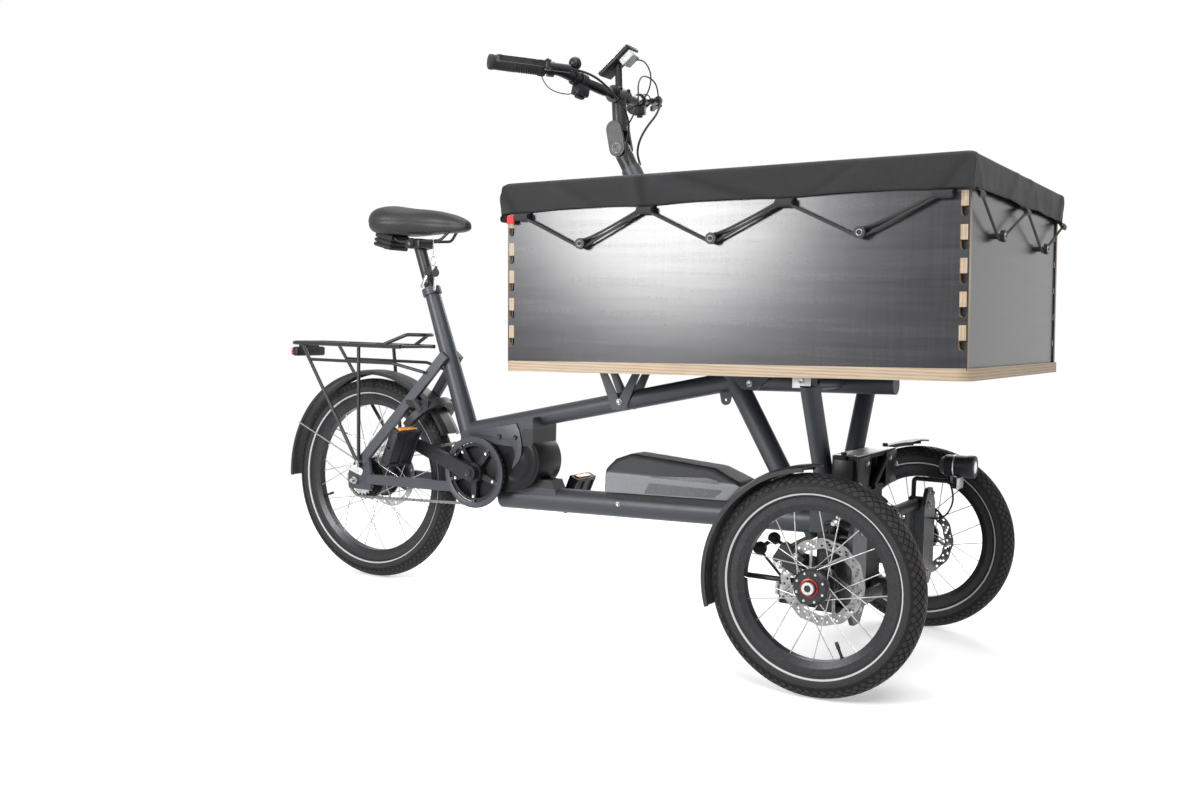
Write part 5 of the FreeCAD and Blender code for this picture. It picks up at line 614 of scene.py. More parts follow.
def side_plane(y, side):
    """Takes (u, v, w) to x = u and z = v, with w outwards from the plane at y on that side."""
    return Matrix(((1, 0, 0, 0), (0, 0, side, side * y), (0, 1, 0, 0), (0, 0, 0, 1)))


print("piece helpers ready")

# %% [markdown]
# A tyre is a carcass with rubber blocks on it. The carcass is a circle that is flattened where it sits in the rim,
# spun about the axle. The tread is one diamond block for each row, bent onto the round shoulder and then repeated
# round the wheel by a spin that copies. Alternate rows are half a step apart, which leaves the crossing grooves.

# %% Tyres
TYRE_SECTION = 25 * MM
TYRE_FOOT = 42.8 * MM
TYRE_RIB = 33 * MM
TYRE_LINE = 36.6 * MM
TREAD_ROWS = 9
TREAD_ROW_DEG = 15.5
TYRES = (("rear_tyre", "rear_wheel", 96), ("front_left_tyre", "wheel_left", 76),
         ("front_right_tyre", "wheel_right", 76))


def tyre_finish(name, centre, outer_r):
    """Black rubber with a grey reflective line near the rim, painted shade in the grooves between the blocks and some
    dust on the tread.
    """
    made = make_finish(name, None, (40.0, 0.5, 0.7), (900.0, 0.00025, 0.5), shine=0.22)
    tree = made.node_tree
    x, y, z = split(place_on(tree, shift=-centre))
    radius = length_of(add_node(tree, "CombineXYZ", X=x, Z=z))
    out = radius - (outer_r - TYRE_SECTION)
    from_core = (out * out + y * y).math("SQRT")
    # The carcass between the tread blocks is painted near black: painted shade in the grooves.
    painted_groove_shade = (from_core < TYRE_SECTION - 0.9 * MM) * (out > 2.0 * MM)
    line = abs(radius - (outer_r - TYRE_LINE)) < 1.5 * MM
    worn = add_node(tree, "MapRange", Value=radius, From_Min=outer_r - 5 * MM, From_Max=outer_r)
    patches = ramp(noise_on(tree, 26.0, 6.0), 0.42, 0.72, BLACK, WHITE)
    rubber = ramp(noise_on(tree, 340.0), 0.3, 0.7, (0.010, 0.010, 0.011), (0.018, 0.018, 0.019))
    dusted = mix_colours(worn * patches, rubber, (0.075, 0.064, 0.052))
    set_surface(tree, Base_Color=mix_colours(line, mix_colours(painted_groove_shade, dusted, grey(0.002)), grey(0.36)))
    return made


def tread_row(row, blocks, centre, outer_r):
    """A mesh of one row: a diamond that is raised, bent onto the round shoulder and copied round the wheel."""
    step = 2 * math.pi / blocks
    row_deg = (row - (TREAD_ROWS - 1) / 2) * TREAD_ROW_DEG
    block = bmesh.new()
    bmesh.ops.create_circle(block, cap_ends=True, segments=4, radius=1.0)
    bmesh.ops.poke(block, faces=block.faces[:])
    top = set(grow(block, block.faces[:]))
    for v in block.verts:
        share, sunk = (0.84, 0.1 * MM) if v in top else (0.95, 2.4 * MM)
        around = v.co.x * share * step / 2
        across = math.radians(row_deg + v.co.y * share * TREAD_ROW_DEG * 0.90)
        section = TYRE_SECTION - sunk
        reach = outer_r - TYRE_SECTION + section * math.cos(across)
        v.co = centre + Vector((reach * math.cos(around), section * math.sin(across), reach * math.sin(around)))
    start = Matrix.Rotation(step / 2 * (row % 2), 4, "Y")
    bmesh.ops.transform(block, matrix=start, space=Matrix.Translation(-centre), verts=block.verts[:])
    bmesh.ops.spin(block, geom=block.verts[:] + block.edges[:] + block.faces[:], cent=centre, axis=(0, 1, 0),
                   angle=2 * math.pi - step, steps=blocks - 1, use_duplicate=True)
    return mesh_of(block, "tread_row")


def make_tyre(node, body, blocks):
    low, high = (Vector(corner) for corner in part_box(node))
    centre = (low + high) / 2
    outer_r = (high.z - low.z) / 2
    shape = bmesh.new()
    section = bmesh.ops.create_circle(shape, segments=44, radius=TYRE_SECTION - 1.5 * MM,
                                      matrix=Matrix.Translation(centre + Vector((outer_r - TYRE_SECTION, 0, 0))))
    top_x = centre.x + outer_r
    for v in section["verts"]:
        v.co.x = max(v.co.x, top_x - TYRE_FOOT)
        if abs(v.co.x - (top_x - TYRE_RIB)) < 2.2 * MM:
            v.co.y += math.copysign(0.8 * MM, v.co.y - centre.y)
    spin_round(shape, shape.verts[:] + shape.edges[:], 160, centre, (0, 1, 0))
    for row in range(TREAD_ROWS):
        mesh = tread_row(row, blocks, centre, outer_r)
        shape.from_mesh(mesh)
        bpy.data.meshes.remove(mesh)
    made = new_piece(node + "_tread", shape, tyre_finish(node + "_rubber", centre, outer_r), body)
    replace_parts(made, node)
    print(made.name, len(made.data.polygons), "faces")


for tyre in TYRES:
    make_tyre(*tyre)

# %% [markdown]
# The chain runs round two sprockets. One outer and one inner link are made, and copies are set along the loop:
# the straight run above, the arc round the ring, the straight run below and the arc round the sprocket. Each link
# spans one pitch of 12.7 mm.

# %% Chain
CHAIN_PITCH = 12.7 * MM
CHAIN_Y = -53.5 * MM
CRANK = Vector((-0.299, 0.0, 0.301))
RING_CENTRE = CRANK + Vector((0.0, CHAIN_Y, 0.0))
RING_R = 76.81 * MM
SPROCKET_CENTRE = Vector((-0.656, CHAIN_Y, 0.253))
SPROCKET_R = 44.47 * MM
LINK_PLATE = 0.8 * MM


def chain_loop():
    """A function of the way along the loop, from 0 to its length, and that length."""
    run = RING_CENTRE - SPROCKET_CENTRE
    aim = math.atan2(run.z, run.x)
    spread = math.acos((SPROCKET_R - RING_R) / run.length)
    top, bottom = aim + spread, aim - spread
    straight = math.sqrt(run.length ** 2 - (RING_R - SPROCKET_R) ** 2)
    ring_arc = RING_R * 2 * spread
    total = 2 * straight + ring_arc + SPROCKET_R * (2 * math.pi - 2 * spread)

    def on_ring(angle):
        return RING_CENTRE + Vector((RING_R * math.cos(angle), 0.0, RING_R * math.sin(angle)))

    def on_sprocket(angle):
        return SPROCKET_CENTRE + Vector((SPROCKET_R * math.cos(angle), 0.0, SPROCKET_R * math.sin(angle)))

    def place(way):
        way = way % total
        if way < straight:
            return on_sprocket(top).lerp(on_ring(top), way / straight)
        way -= straight
        if way < ring_arc:
            return on_ring(top - way / RING_R)
        way -= ring_arc
        if way < straight:
            return on_ring(bottom).lerp(on_sprocket(bottom), way / straight)
        return on_sprocket(bottom - (way - straight) / SPROCKET_R)

    return place, total


def link_mesh(pitch, spread):
    """Two waisted side plates and a roller, with the first pin at the origin and the second along X."""
    shape = bmesh.new()
    for side in (-1, 1):
        made = bmesh.ops.create_circle(shape, cap_ends=True, segments=16, radius=4.0 * MM)
        for v in made["verts"]:
            waist = abs(v.co.x) < 1.0 * MM
            v.co.x += pitch / 2 + (0.0 if waist else math.copysign(pitch / 2, v.co.x))
            v.co = Vector((v.co.x, side * spread, v.co.y * (0.66 if waist else 1.0)))
        moved = grow(shape, list({f for v in made["verts"] for f in v.link_faces}))
        bmesh.ops.translate(shape, verts=moved, vec=(0, side * LINK_PLATE, 0))
    roller, pin = (10, 3.4 * MM, 2 * spread), (8, 1.6 * MM, 2 * (spread + LINK_PLATE) + 0.6 * MM)
    for sides, radius, depth in (roller, pin):
        bmesh.ops.create_cone(shape, cap_ends=True, segments=sides, radius1=radius, radius2=radius, depth=depth,
                              matrix=Matrix.Rotation(math.pi / 2, 4, "X"))
    bmesh.ops.recalc_face_normals(shape, faces=shape.faces)
    return mesh_of(shape, "chain_link")


def make_chain():
    place, total = chain_loop()
    count = 2 * round(total / (2 * CHAIN_PITCH))
    pitch = total / count
    links = [link_mesh(pitch, 1.5 * MM), link_mesh(pitch, 2.4 * MM)]
    shape = bmesh.new()
    across = Vector((0, 1, 0))
    for i in range(count):
        start = place(i * pitch)
        along = (place((i + 1) * pitch) - start).normalized()
        turn = Matrix((along, across, along.cross(across))).transposed().to_4x4()
        old = len(shape.verts)
        shape.from_mesh(links[i % 2])
        shape.verts.ensure_lookup_table()
        bmesh.ops.transform(shape, matrix=Matrix.Translation(start) @ turn, verts=shape.verts[old:])
    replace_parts(new_piece("drive_chain", shape, CHAIN_STEEL, "frame"), "chain")
    print("chain links", count, "pitch mm", round(pitch / MM, 2))


make_chain()

# %% [markdown]
# The saddle is foam under a black vinyl skin. The CAD solid gives its size. A copy is remeshed into small even
# faces and smoothed, which rounds it like foam, and then its points are moved: a shallow channel runs along the
# middle, and a seam is drawn in round the side.

# %% Saddle


def saddle_vinyl():
    """A grained skin: fine cells as relief."""
    made = make_finish("saddle_vinyl", (180.0, (0.009, 0.009, 0.010), (0.014, 0.014, 0.015)), (24.0, 0.39, 0.54),
                       shine=0.36)
    tree = made.node_tree
    relief(add_node(tree, "TexVoronoi", "Distance", Vector=place_on(tree), Scale=900.0), 0.0003, 0.45)
    return made


def evaluated_mesh(made):
    """The mesh of an object as its modifiers or its curve make it."""
    bpy.context.view_layer.update()
    return bpy.data.meshes.new_from_object(made.evaluated_get(bpy.context.evaluated_depsgraph_get()))


def rounded_copy(node, name, voxel, smooth_steps, finish):
    """A merged copy of a CAD node, remeshed into small even faces and smoothed."""
    shape = bmesh.new()
    shape.from_mesh(nodes[node].data)
    bmesh.ops.remove_doubles(shape, verts=shape.verts, dist=WELD_DISTANCE)
    made = show(name, mesh_of(shape, name))
    remesh = made.modifiers.new("even_faces", "REMESH")
    remesh.mode = "VOXEL"
    remesh.voxel_size = voxel
    smooth = made.modifiers.new("soften", "SMOOTH")
    smooth.factor = 0.5
    smooth.iterations = smooth_steps
    rounded = evaluated_mesh(made)
    made.modifiers.clear()
    made.data = rounded
    rounded.materials.clear()
    rounded.materials.append(finish)
    rounded.shade_smooth()
    return made


def stand_for(made, node, body):
    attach(made, body)
    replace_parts(made, node)


def make_saddle():
    made = rounded_copy("saddle", "saddle_pad", 3.5 * MM, 10, saddle_vinyl())
    low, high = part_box("saddle")
    for v in made.data.vertices:
        back = (v.co.x - low[0]) / (high[0] - low[0])
        up = (v.co.z - low[2]) / (high[2] - low[2])
        width = 9 * MM + 5 * MM * max(0.0, 0.5 - back)
        channel = math.exp(-(v.co.y / width) ** 2) * math.sin(math.pi * min(max((back - 0.06) / 0.80, 0.0), 1.0))
        if up > 0.45:
            v.co.z -= 4.0 * MM * channel
        seam = math.exp(-((up - 0.34 - 0.05 * math.sin(5 * back)) / 0.035) ** 2)
        v.co.y -= math.copysign(1.5 * MM * seam, v.co.y) * min(1.0, abs(v.co.y) / (12 * MM))
    finer = made.modifiers.new("finer", "SUBSURF")
    finer.levels = 1
    finer.render_levels = 1
    stand_for(made, "saddle", "seat")
    print("saddle faces", len(made.data.polygons))


make_saddle()

# %% [markdown]
# The cover is one piece of black cloth, cut as a cross and folded down over the box like a lid. A grid is laid out
# flat, its four corner squares are taken away, and each strip is bent over a rounded edge. The corner edges meet
# and are merged, which is the corner seam. Noise gives the slack between the loops, and creases run along given
# lines, where the cord pulls.

# %% Cover cloth
COVER_HALF_X = 0.4665
COVER_HALF_Y = 0.3622
COVER_MID_X = BOX_TURN.x
COVER_TOP_Z = 0.9462
COVER_SKIRT = 61 * MM
COVER_BEND = 7 * MM
COVER_LOOPS_X = (0.0405, 0.3195, 0.5985, 0.8775)
COVER_LOOPS_Y = (-0.342, 0.0, 0.342)
NOTCH_END_X = 0.159
NOTCH_HALF_Y = 0.036
SIDE_FOLDS = (((-0.030, 0.000), (0.034, 0.090), 4.2), ((0.120, 0.012), (0.235, 0.080), 2.2),
              ((0.296, 0.004), (0.312, 0.090), 3.6), ((0.345, 0.006), (0.560, 0.074), 4.4),
              ((0.640, 0.070), (0.742, 0.010), 2.8), ((0.862, 0.088), (0.925, 0.010), 3.6))
END_FOLDS = (((-0.350, 0.010), (-0.290, 0.085), 3.6), ((-0.150, 0.070), (-0.060, 0.008), 3.0),
             ((0.060, 0.008), (0.170, 0.076), 3.4), ((0.300, 0.085), (0.350, 0.010), 3.6))
SHEEN = dict(shine=0.25, Sheen_Weight=0.06, Sheen_Roughness=0.5)


def rake(point):
    """Places on the level box are turned up with the box towards the nose."""
    away = Vector(point) - BOX_TURN
    cos, sin = math.cos(BOX_RAKE), math.sin(BOX_RAKE)
    return BOX_TURN + Vector((away.x * cos - away.z * sin, away.y, away.x * sin + away.z * cos))


def weave_on(tree, threads_per_m):
    """Two crossing thread directions."""
    x, y, z = split(place_on(tree))
    turns = threads_per_m * 6.28
    return (z * turns).math("SINE") * ((x + y) * turns).math("SINE")


def webbing(name, first, last, threads_per_m, depth):
    made = make_finish(name, (420.0, first, last), 0.6, **SHEEN)
    relief(weave_on(made.node_tree, threads_per_m), depth, 0.5)
    return made


def cover_cloth():
    """Woven cloth with soft creases in its relief. Beside the folds its colour carries painted light and shade from the
    mesh.
    """
    made = make_finish("cover_cloth", None, 0.66, **SHEEN)
    tree = made.node_tree
    # The fold_shade attribute is painted light and shade beside the creases, added to the cloth's random tone.
    painted_fold_shade = add_node(tree, "Attribute", "Fac")
    painted_fold_shade.socket.node.attribute_name = "fold_shade"
    painted_shade_and_lint = painted_fold_shade * 0.5 + noise_on(tree, 420.0)
    set_surface(tree, Base_Color=ramp(painted_shade_and_lint, 0.0, 1.0, grey(0.003), (0.016875, 0.016875, 0.01875)))
    relief(noise_on(tree, 9.0, 2.5, (1.0, 1.0, 2.2)) * 100.0 + weave_on(tree, 1400.0), 0.0002, 0.5)
    return made


RED_WEBBING = webbing("red_webbing", (0.42, 0.020, 0.024), (0.56, 0.034, 0.038), 900.0, 0.0002)
WEBBING = webbing("loop_webbing", (0.012, 0.012, 0.013), (0.022, 0.022, 0.024), 700.0, 0.0004)


def over_edge(distance, half):
    """Bends a flat distance from the middle over a rounded edge: how far out, how far down."""
    flat_end = half - COVER_BEND
    beyond = abs(distance) - flat_end
    arc = COVER_BEND * math.pi / 2
    if beyond <= 0:
        return distance, 0.0
    if beyond < arc:
        angle = beyond / COVER_BEND
        return math.copysign(flat_end + COVER_BEND * math.sin(angle), distance), COVER_BEND * (1 - math.cos(angle))
    return math.copysign(half, distance), COVER_BEND + beyond - arc


def hem_pull(along, loops, half):
    """1 at a loop or a corner, less between them."""
    nearest = min(abs(along - spot) for spot in (*loops, -half, half))
    return math.exp(-(nearest / 0.055) ** 2)


def fold_height(along, drop, folds):
    """Height in millimetres of the creases near a place on the skirt, steep on one side and soft on the other, and the
    painted light and shade there: a painted highlight on the soft side and painted shade on the steep side."""
    total, shade = 0.0, 0.0
    for (a0, d0), (a1, d1), height in folds:
        run = Vector((a1 - a0, d1 - d0))
        reach = run.length
        run /= reach
        spot = Vector((along - a0, drop - d0))
        part = spot.dot(run) / reach
        aside = spot.x * run.y - spot.y * run.x
        fade = math.exp(-(max(0.0, -part, part - 1.0) * reach / 0.020) ** 2)
        total += height * fade * math.exp(-abs(aside) / (0.006 if aside > 0 else 0.026))
        # Painted highlight beside the soft side of the crease, and painted shade on its steep side.
        light = 0.5 * math.exp(-((aside + 0.010) / 0.014) ** 2)
        dark = math.exp(-((aside - 0.009) / 0.008) ** 2)
        shade += height / 4.0 * fade * (light - dark)
    return total, shade


def cover_point(flat):
    """Where a point of the flat cloth lies on the box, and the painted light and shade of its colour there."""
    x, drop_x = over_edge(flat.x, COVER_HALF_X)
    y, drop_y = over_edge(flat.y, COVER_HALF_Y)
    drop = drop_x + drop_y
    side, end = abs(flat.y) - COVER_HALF_Y, abs(flat.x) - COVER_HALF_X
    if side > end:
        pull = hem_pull(flat.x, [spot - COVER_MID_X for spot in COVER_LOOPS_X], COVER_HALF_X)
    else:
        pull = hem_pull(flat.y, COVER_LOOPS_Y, COVER_HALF_Y)
    down = min(1.0, drop / COVER_SKIRT)
    drop *= 1.0 + 0.055 * (pull - 0.55) * down
    place = Vector((COVER_MID_X + x, y, COVER_TOP_Z - drop))
    if drop <= 2 * MM:
        middle = (1 - (x / COVER_HALF_X) ** 2) * (1 - (y / COVER_HALF_Y) ** 2)
        sway = noise.noise(Vector((place.x * 5.0, place.y * 5.0, 7.0)))
        place.z += (3.2 + 2.4 * sway) * middle * MM
        return rake(place), 0.0
    ripple = noise.noise(Vector((place.x * 9.0, place.y * 9.0, place.z * 26.0)))
    fold = noise.noise(Vector((place.x * 22.0 + place.z * 16.0, place.y * 22.0, 3.0)))
    slack = (1.0 - 0.8 * pull) * math.sin(math.pi * min(0.78, 0.12 + 0.66 * down))
    if side > end:
        crease, shade = fold_height(flat.x + COVER_MID_X, drop, SIDE_FOLDS)
    else:
        crease, shade = fold_height(flat.y, drop, END_FOLDS)
    outward = Vector((math.copysign(1.0, x) if end > -COVER_BEND else 0.0,
                      math.copysign(1.0, y) if side > -COVER_BEND else 0.0, 0.0))
    place += outward * ((1.6 + 3.2 * ripple + 2.6 * fold) * slack + 1.5 * crease) * MM
    return rake(place), shade


def flat_cloth(corner_x, corner_y, reach_x, reach_y):
    """The cross with its slot for the stem: a grid, cut along straight lines, with the waste taken away."""
    shape = bmesh.new()
    bmesh.ops.create_grid(shape, x_segments=200, y_segments=168, size=1.0)
    bmesh.ops.scale(shape, vec=(reach_x, reach_y, 1.0), verts=shape.verts)
    notch_x = NOTCH_END_X - COVER_MID_X
    cuts = [(Vector((1, 0, 0)), at) for at in (corner_x, -corner_x, notch_x)]
    cuts += [(Vector((0, 1, 0)), at) for at in (corner_y, -corner_y, NOTCH_HALF_Y, -NOTCH_HALF_Y)]
    for across, at in cuts:
        bmesh.ops.bisect_plane(shape, geom=shape.verts[:] + shape.edges[:] + shape.faces[:], dist=0.0004,
                               plane_co=across * at, plane_no=across, use_snap_center=True)
    waste = []
    for face in shape.faces:
        spot = face.calc_center_median()
        in_corner = abs(spot.x) > corner_x and abs(spot.y) > corner_y
        if in_corner or (spot.x < notch_x and abs(spot.y) < NOTCH_HALF_Y):
            waste.append(face)
    bmesh.ops.delete(shape, geom=waste, context="FACES")
    return shape


def make_cover():
    corner_x, corner_y = (half - COVER_BEND + COVER_BEND * math.pi / 2 for half in (COVER_HALF_X, COVER_HALF_Y))
    reach_x, reach_y = (corner + COVER_SKIRT - COVER_BEND for corner in (corner_x, corner_y))
    shape = flat_cloth(corner_x, corner_y, reach_x, reach_y)
    flat_area = sum(face.calc_area() for face in shape.faces)
    # This layer holds the painted light and shade that the cloth's colour takes beside the creases.
    layer = shape.verts.layers.float.new("fold_shade")
    for v in shape.verts:
        v.co, v[layer] = cover_point(v.co)
    for _ in range(2):
        bmesh.ops.smooth_vert(shape, verts=shape.verts, factor=0.35, use_axis_x=True, use_axis_y=True, use_axis_z=True)
    bmesh.ops.remove_doubles(shape, verts=shape.verts, dist=1.2 * MM)
    made = new_piece("cover_sheet", shape, cover_cloth(), "cover", 80.0)
    thick = made.modifiers.new("cloth_thickness", "SOLIDIFY")
    thick.thickness = 1.2 * MM
    thick.offset = -1.0
    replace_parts(made, "box_cover")
    2 * reach_y
    2 * reach_x
    print("cover flat size m", round(2 * reach_x, 3), round(2 * reach_y, 3), "area", round(flat_area, 4))


make_cover()

# %% [markdown]
# Webbing loops hang from the hem, and an elastic cord runs through them and round the knobs. The cord is tight, so
# its runs are straight and it only bends where something holds it. A NURBS curve with a few points near each loop
# and knob gives that. Beside some runs lies a second strand, as the cord comes back.

# %% Loops and cord
LOOP_Z = 0.8790
LOOP_PATH = ((-4.8, 18), (-4.8, 9.5), (-3.6, 4.5), (0.5, 0.5), (3.6, -5), (6.4, -9.4), (9.2, -6.5), (9.6, -1),
             (6.5, 3.2), (0.0, 3.4), (-3.5, 6.5), (-3.5, 18))
LOOP_HALF_W = 16.0 * MM
STRAP_THICK = 1.2 * MM
TAB_CORNERS = ((0.0075, 0.8800), (0.0235, 0.8800), (0.0215, 0.8640), (0.0060, 0.8640))
KNOB_Z = 0.819
KNOB_AFTER_LOOP = 0.1395
FRONT_KNOBS_Y = (-0.18, 0.18)
CORD_R = 2.5 * MM


def add_strap(shape, across, places):
    """A flat strap through the given places: a rectangle that is bridged from each place to the next."""
    ring = None
    for i, place in enumerate(places):
        ahead = places[min(i + 1, len(places) - 1)] - places[max(i - 1, 0)]
        wide, thick = across * LOOP_HALF_W, ahead.cross(across).normalized() * (STRAP_THICK / 2)
        verts = [shape.verts.new(place + wide * a + thick * b) for a, b in ((-1, -1), (1, -1), (1, 1), (-1, 1))]
        edges = [shape.edges.new((verts[k], verts[(k + 1) % 4])) for k in range(4)]
        if ring is None or i == len(places) - 1:
            shape.faces.new(verts)
        if ring is not None:
            bmesh.ops.bridge_loops(shape, edges=ring + edges)
        ring = edges


def make_loops():
    shape = bmesh.new()
    ahead, left = Vector((1, 0, 0)), Vector((0, 1, 0))
    spots = [(Vector((x, s * 0.3636, 0)), ahead, left * s) for x in COVER_LOOPS_X for s in (-1, 1)]
    spots += [(Vector((0.9267, y, 0)), left, ahead) for y in COVER_LOOPS_Y]
    spots += [(Vector((-0.0087, y, 0)), left, -ahead) for y in (COVER_LOOPS_Y[0], COVER_LOOPS_Y[2])]
    for foot, along, out in spots:
        path = [foot + out * (forward * MM) + Vector((0, 0, LOOP_Z + height * MM)) for forward, height in LOOP_PATH]
        add_strap(shape, along, [rake(place) for place in path])
    new_piece("cover_loops", shape, WEBBING, "cover")
    print("cover loops", len(spots))


def make_corner_tabs():
    tab = bmesh.new()
    for side in (-1, 1):
        face = tab.faces.new([tab.verts.new(rake((x, side * 0.3700, z))) for x, z in TAB_CORNERS])
        bmesh.ops.translate(tab, verts=grow(tab, [face]), vec=(0, -side * 6.0 * MM, 0))
    new_piece("corner_tabs", tab, RED_WEBBING, "cover")


def cord_curve(name, points, radius, finish):
    """A NURBS curve of order 3 through its first and last points, with a round section."""
    data = bpy.data.curves.new(name, "CURVE")
    data.dimensions = "3D"
    line = data.splines.new("NURBS")
    line.points.add(len(points) - 1)
    for spot, point in zip(line.points, points):
        spot.co = (*point, 1.0)
    line.order_u = 3
    line.use_endpoint_u = True
    line.resolution_u = 8
    data.bevel_depth = radius
    data.bevel_resolution = 3
    data.use_fill_caps = True
    data.materials.append(finish)
    return show(name, data)


def line_of(curve):
    """Points of the line itself and their length, read from the curve with its bevel taken off for the moment."""
    depth = curve.data.bevel_depth
    curve.data.bevel_depth = 0.0
    mesh = evaluated_mesh(curve)
    curve.data.bevel_depth = depth
    line = [v.co.copy() for v in mesh.vertices]
    bpy.data.meshes.remove(mesh)
    return line, sum((b - a).length for a, b in zip(line[:-1], line[1:]))


def riding_cord(name, points, radius, finish, body):
    """A cord that moves with one body: a curve."""
    made = cord_curve(name, points, radius, finish)
    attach(made, body)
    length = line_of(made)[1]
    print(name, "length m", round(length, 3))
    return made


def bending_cord(name, points, radius):
    """A rubber cord: a mesh tube on the NURBS line of its points."""
    curve = cord_curve(name + "_line", points, radius, RUBBER)
    line, length = line_of(curve)
    mesh = evaluated_mesh(curve)
    bpy.data.objects.remove(curve)
    mesh.shade_smooth()
    made = show(name, mesh)
    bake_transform(made)
    print(name, "length m", round(length, 3))
    return made


def tight_route(stops):
    """Adds a point six diameters beside each stop on both runs, so that the runs between stay straight."""
    route = [stops[0]]
    for last, stop in zip(stops[:-1], stops[1:]):
        beside = (stop - last).normalized() * (12 * CORD_R)
        route += [last + beside, stop - beside, stop]
    return route


def cord_braid():
    """Black elastic cord in a braided sleeve: crossing slanted ridges."""
    made = make_finish("cord_braid", (600.0, grey(0.010), grey(0.022)), 0.66)
    x, y, z = split(place_on(made.node_tree))
    one, two = (((x + y) + z) * 5200.0).math("SINE"), (((x + y) - z) * 5200.0).math("SINE")
    relief(one | two, 0.0003, 0.6)
    return made


def cord_routes():
    """Where each cord goes: through the loops and under the knobs, and a second strand from knob to next loop."""
    routes = {}
    loop_z, knob_z = LOOP_Z - 1.2 * MM, KNOB_Z - 8.9 * MM
    for side, word in SIDES:
        loops = [rake((x, side * 0.3702, loop_z)) for x in COVER_LOOPS_X]
        knobs = [rake((x + KNOB_AFTER_LOOP, side * 0.3645, knob_z)) for x in COVER_LOOPS_X[:3]]
        stops = [loops[0]]
        for knob, loop in zip(knobs, loops[1:]):
            stops += [knob, loop]
        routes["cover_cord_" + word] = tight_route(stops)
        for i, (knob, loop) in enumerate(zip(knobs, loops[1:])):
            over = knob + Vector((-4.0, -0.4 * side, 17.6)) * MM
            beside = knob + Vector((9.6, -0.4 * side, 12.0)) * MM
            past = loop + Vector((-11.0, side * 0.6, -0.6)) * MM
            routes["second_strand_%s_%d" % (word, i + 1)] = [over, beside, past]
    loops = [rake((0.9330, y, loop_z)) for y in COVER_LOOPS_Y]
    knobs = [rake((0.9250, y, knob_z)) for y in FRONT_KNOBS_Y]
    routes["cover_cord_front"] = tight_route([loops[0], knobs[0], loops[1], knobs[1], loops[2]])
    return routes


def make_cords():
    braid = cord_braid()
    for name, points in cord_routes().items():
        made = riding_cord(name, points, CORD_R, braid, "cover")
        if name == "cover_cord_right":
            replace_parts(made, "cover_cord")


make_loops()
make_corner_tabs()
make_cords()

# %% [markdown]
# The rider's end of the bar. A grip is moulded rubber with ribs where the fingers close: one outline, turned about
# the bar. The brake hoses follow a smooth line from the levers to the column, as mesh tubes.

# %% Grips and hoses
HOSE_R = 2.5 * MM
HOSE_ROUTE = ((0.0287, 0.1937, 1.1894), (0.0502, 0.1700, 1.1870), (0.0718, 0.1300, 1.1697),
              (0.0880, 0.0780, 1.1316), (0.0858, 0.0440, 1.1040), (0.0783, 0.0280, 1.0780),
              (0.0713, 0.0260, 1.0555), (0.0702, 0.0270, 1.0339), (0.0783, 0.0280, 1.0140))


def grip_profile():
    """From the closed end along the grip: a smooth palm, ribs and a clamp collar."""
    profile = [(-4, 0), (-4, 12), (-2.5, 15), (1.5, 16), (6, 16), (8, 15), (50, 15.6)]
    for i in range(9):
        start = 54 + i * 5.2
        profile += [(start, 15.6), (start + 0.8, 14.1), (start + 2.4, 14.1), (start + 3.2, 15.6)]
    return profile + [(104, 15.6), (104.5, 17.2), (115, 17.2), (117.5, 16), (118, 11.2)]


def make_grips_and_hoses():
    for side, word in SIDES:
        grip = build("grip_" + word, RUBBER, "cockpit", "rubber",
                     (add_turned, grip_profile(), (-0.101, side * 0.300, 1.195), (0.097, -side * 0.110, -0.005), 40))
        hose = bending_cord("brake_hose_" + word, [(x, side * y, z) for x, y, z in HOSE_ROUTE], HOSE_R)
        if side < 0:
            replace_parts(grip, "grips")
            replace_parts(hose, "control_cables")


make_grips_and_hoses()

# %% [markdown]
# The display is a thin slab of dark glass in a black case with a bright metal rim, on a post above the bar clamp.
# A pale block with the sockets sits under its front end. Two pods clamp round the bar beside it. A dark bolt in
# bright rings shows on each cheek of the stem's hinge, and thin cables run down to the stem.

# %% Display and pods
BAR_CLAMP = Vector((0.034, 0.0, 1.166))
POD_COLLAR = ((-8, 11.2), (-8, 15), (-7, 15.8), (7, 15.8), (8, 15), (8, 11.2))
HINGE_BOLT = ((0, 15), (1.4, 14.6), (1.4, 7), (0.4, 6), (0.4, 0))
CABLES = {"display_cable": (1.6, ((0.0480, 0.006, 1.2370), (0.0800, 0.012, 1.2500), (0.1040, 0.020, 1.2180),
                                  (0.1000, 0.024, 1.1800), (0.0800, 0.022, 1.1500), (0.0520, 0.008, 1.1330))),
          "left_control_cable": (1.8, ((0.0060, 0.236, 1.1960), (0.0020, 0.238, 1.2280), (-0.0020, 0.214, 1.2440),
                                       (0.0040, 0.166, 1.2420), (0.0260, 0.110, 1.2250), (0.0480, 0.060, 1.1980),
                                       (0.0680, 0.030, 1.1640), (0.0700, 0.014, 1.1280), (0.0520, 0.010, 1.1000))),
          "right_control_wire": (1.1, ((-0.0260, -0.222, 1.1780), (-0.0220, -0.212, 1.1520),
                                       (0.0040, -0.180, 1.1400), (0.0160, -0.146, 1.1480), (0.0160, -0.128, 1.1660)))}


def slab(low, high, edge, turn):
    """A block as a part, in mm, turned by a matrix."""
    return add_block, Vector(low) * MM, Vector(high) * MM, edge * MM, turn


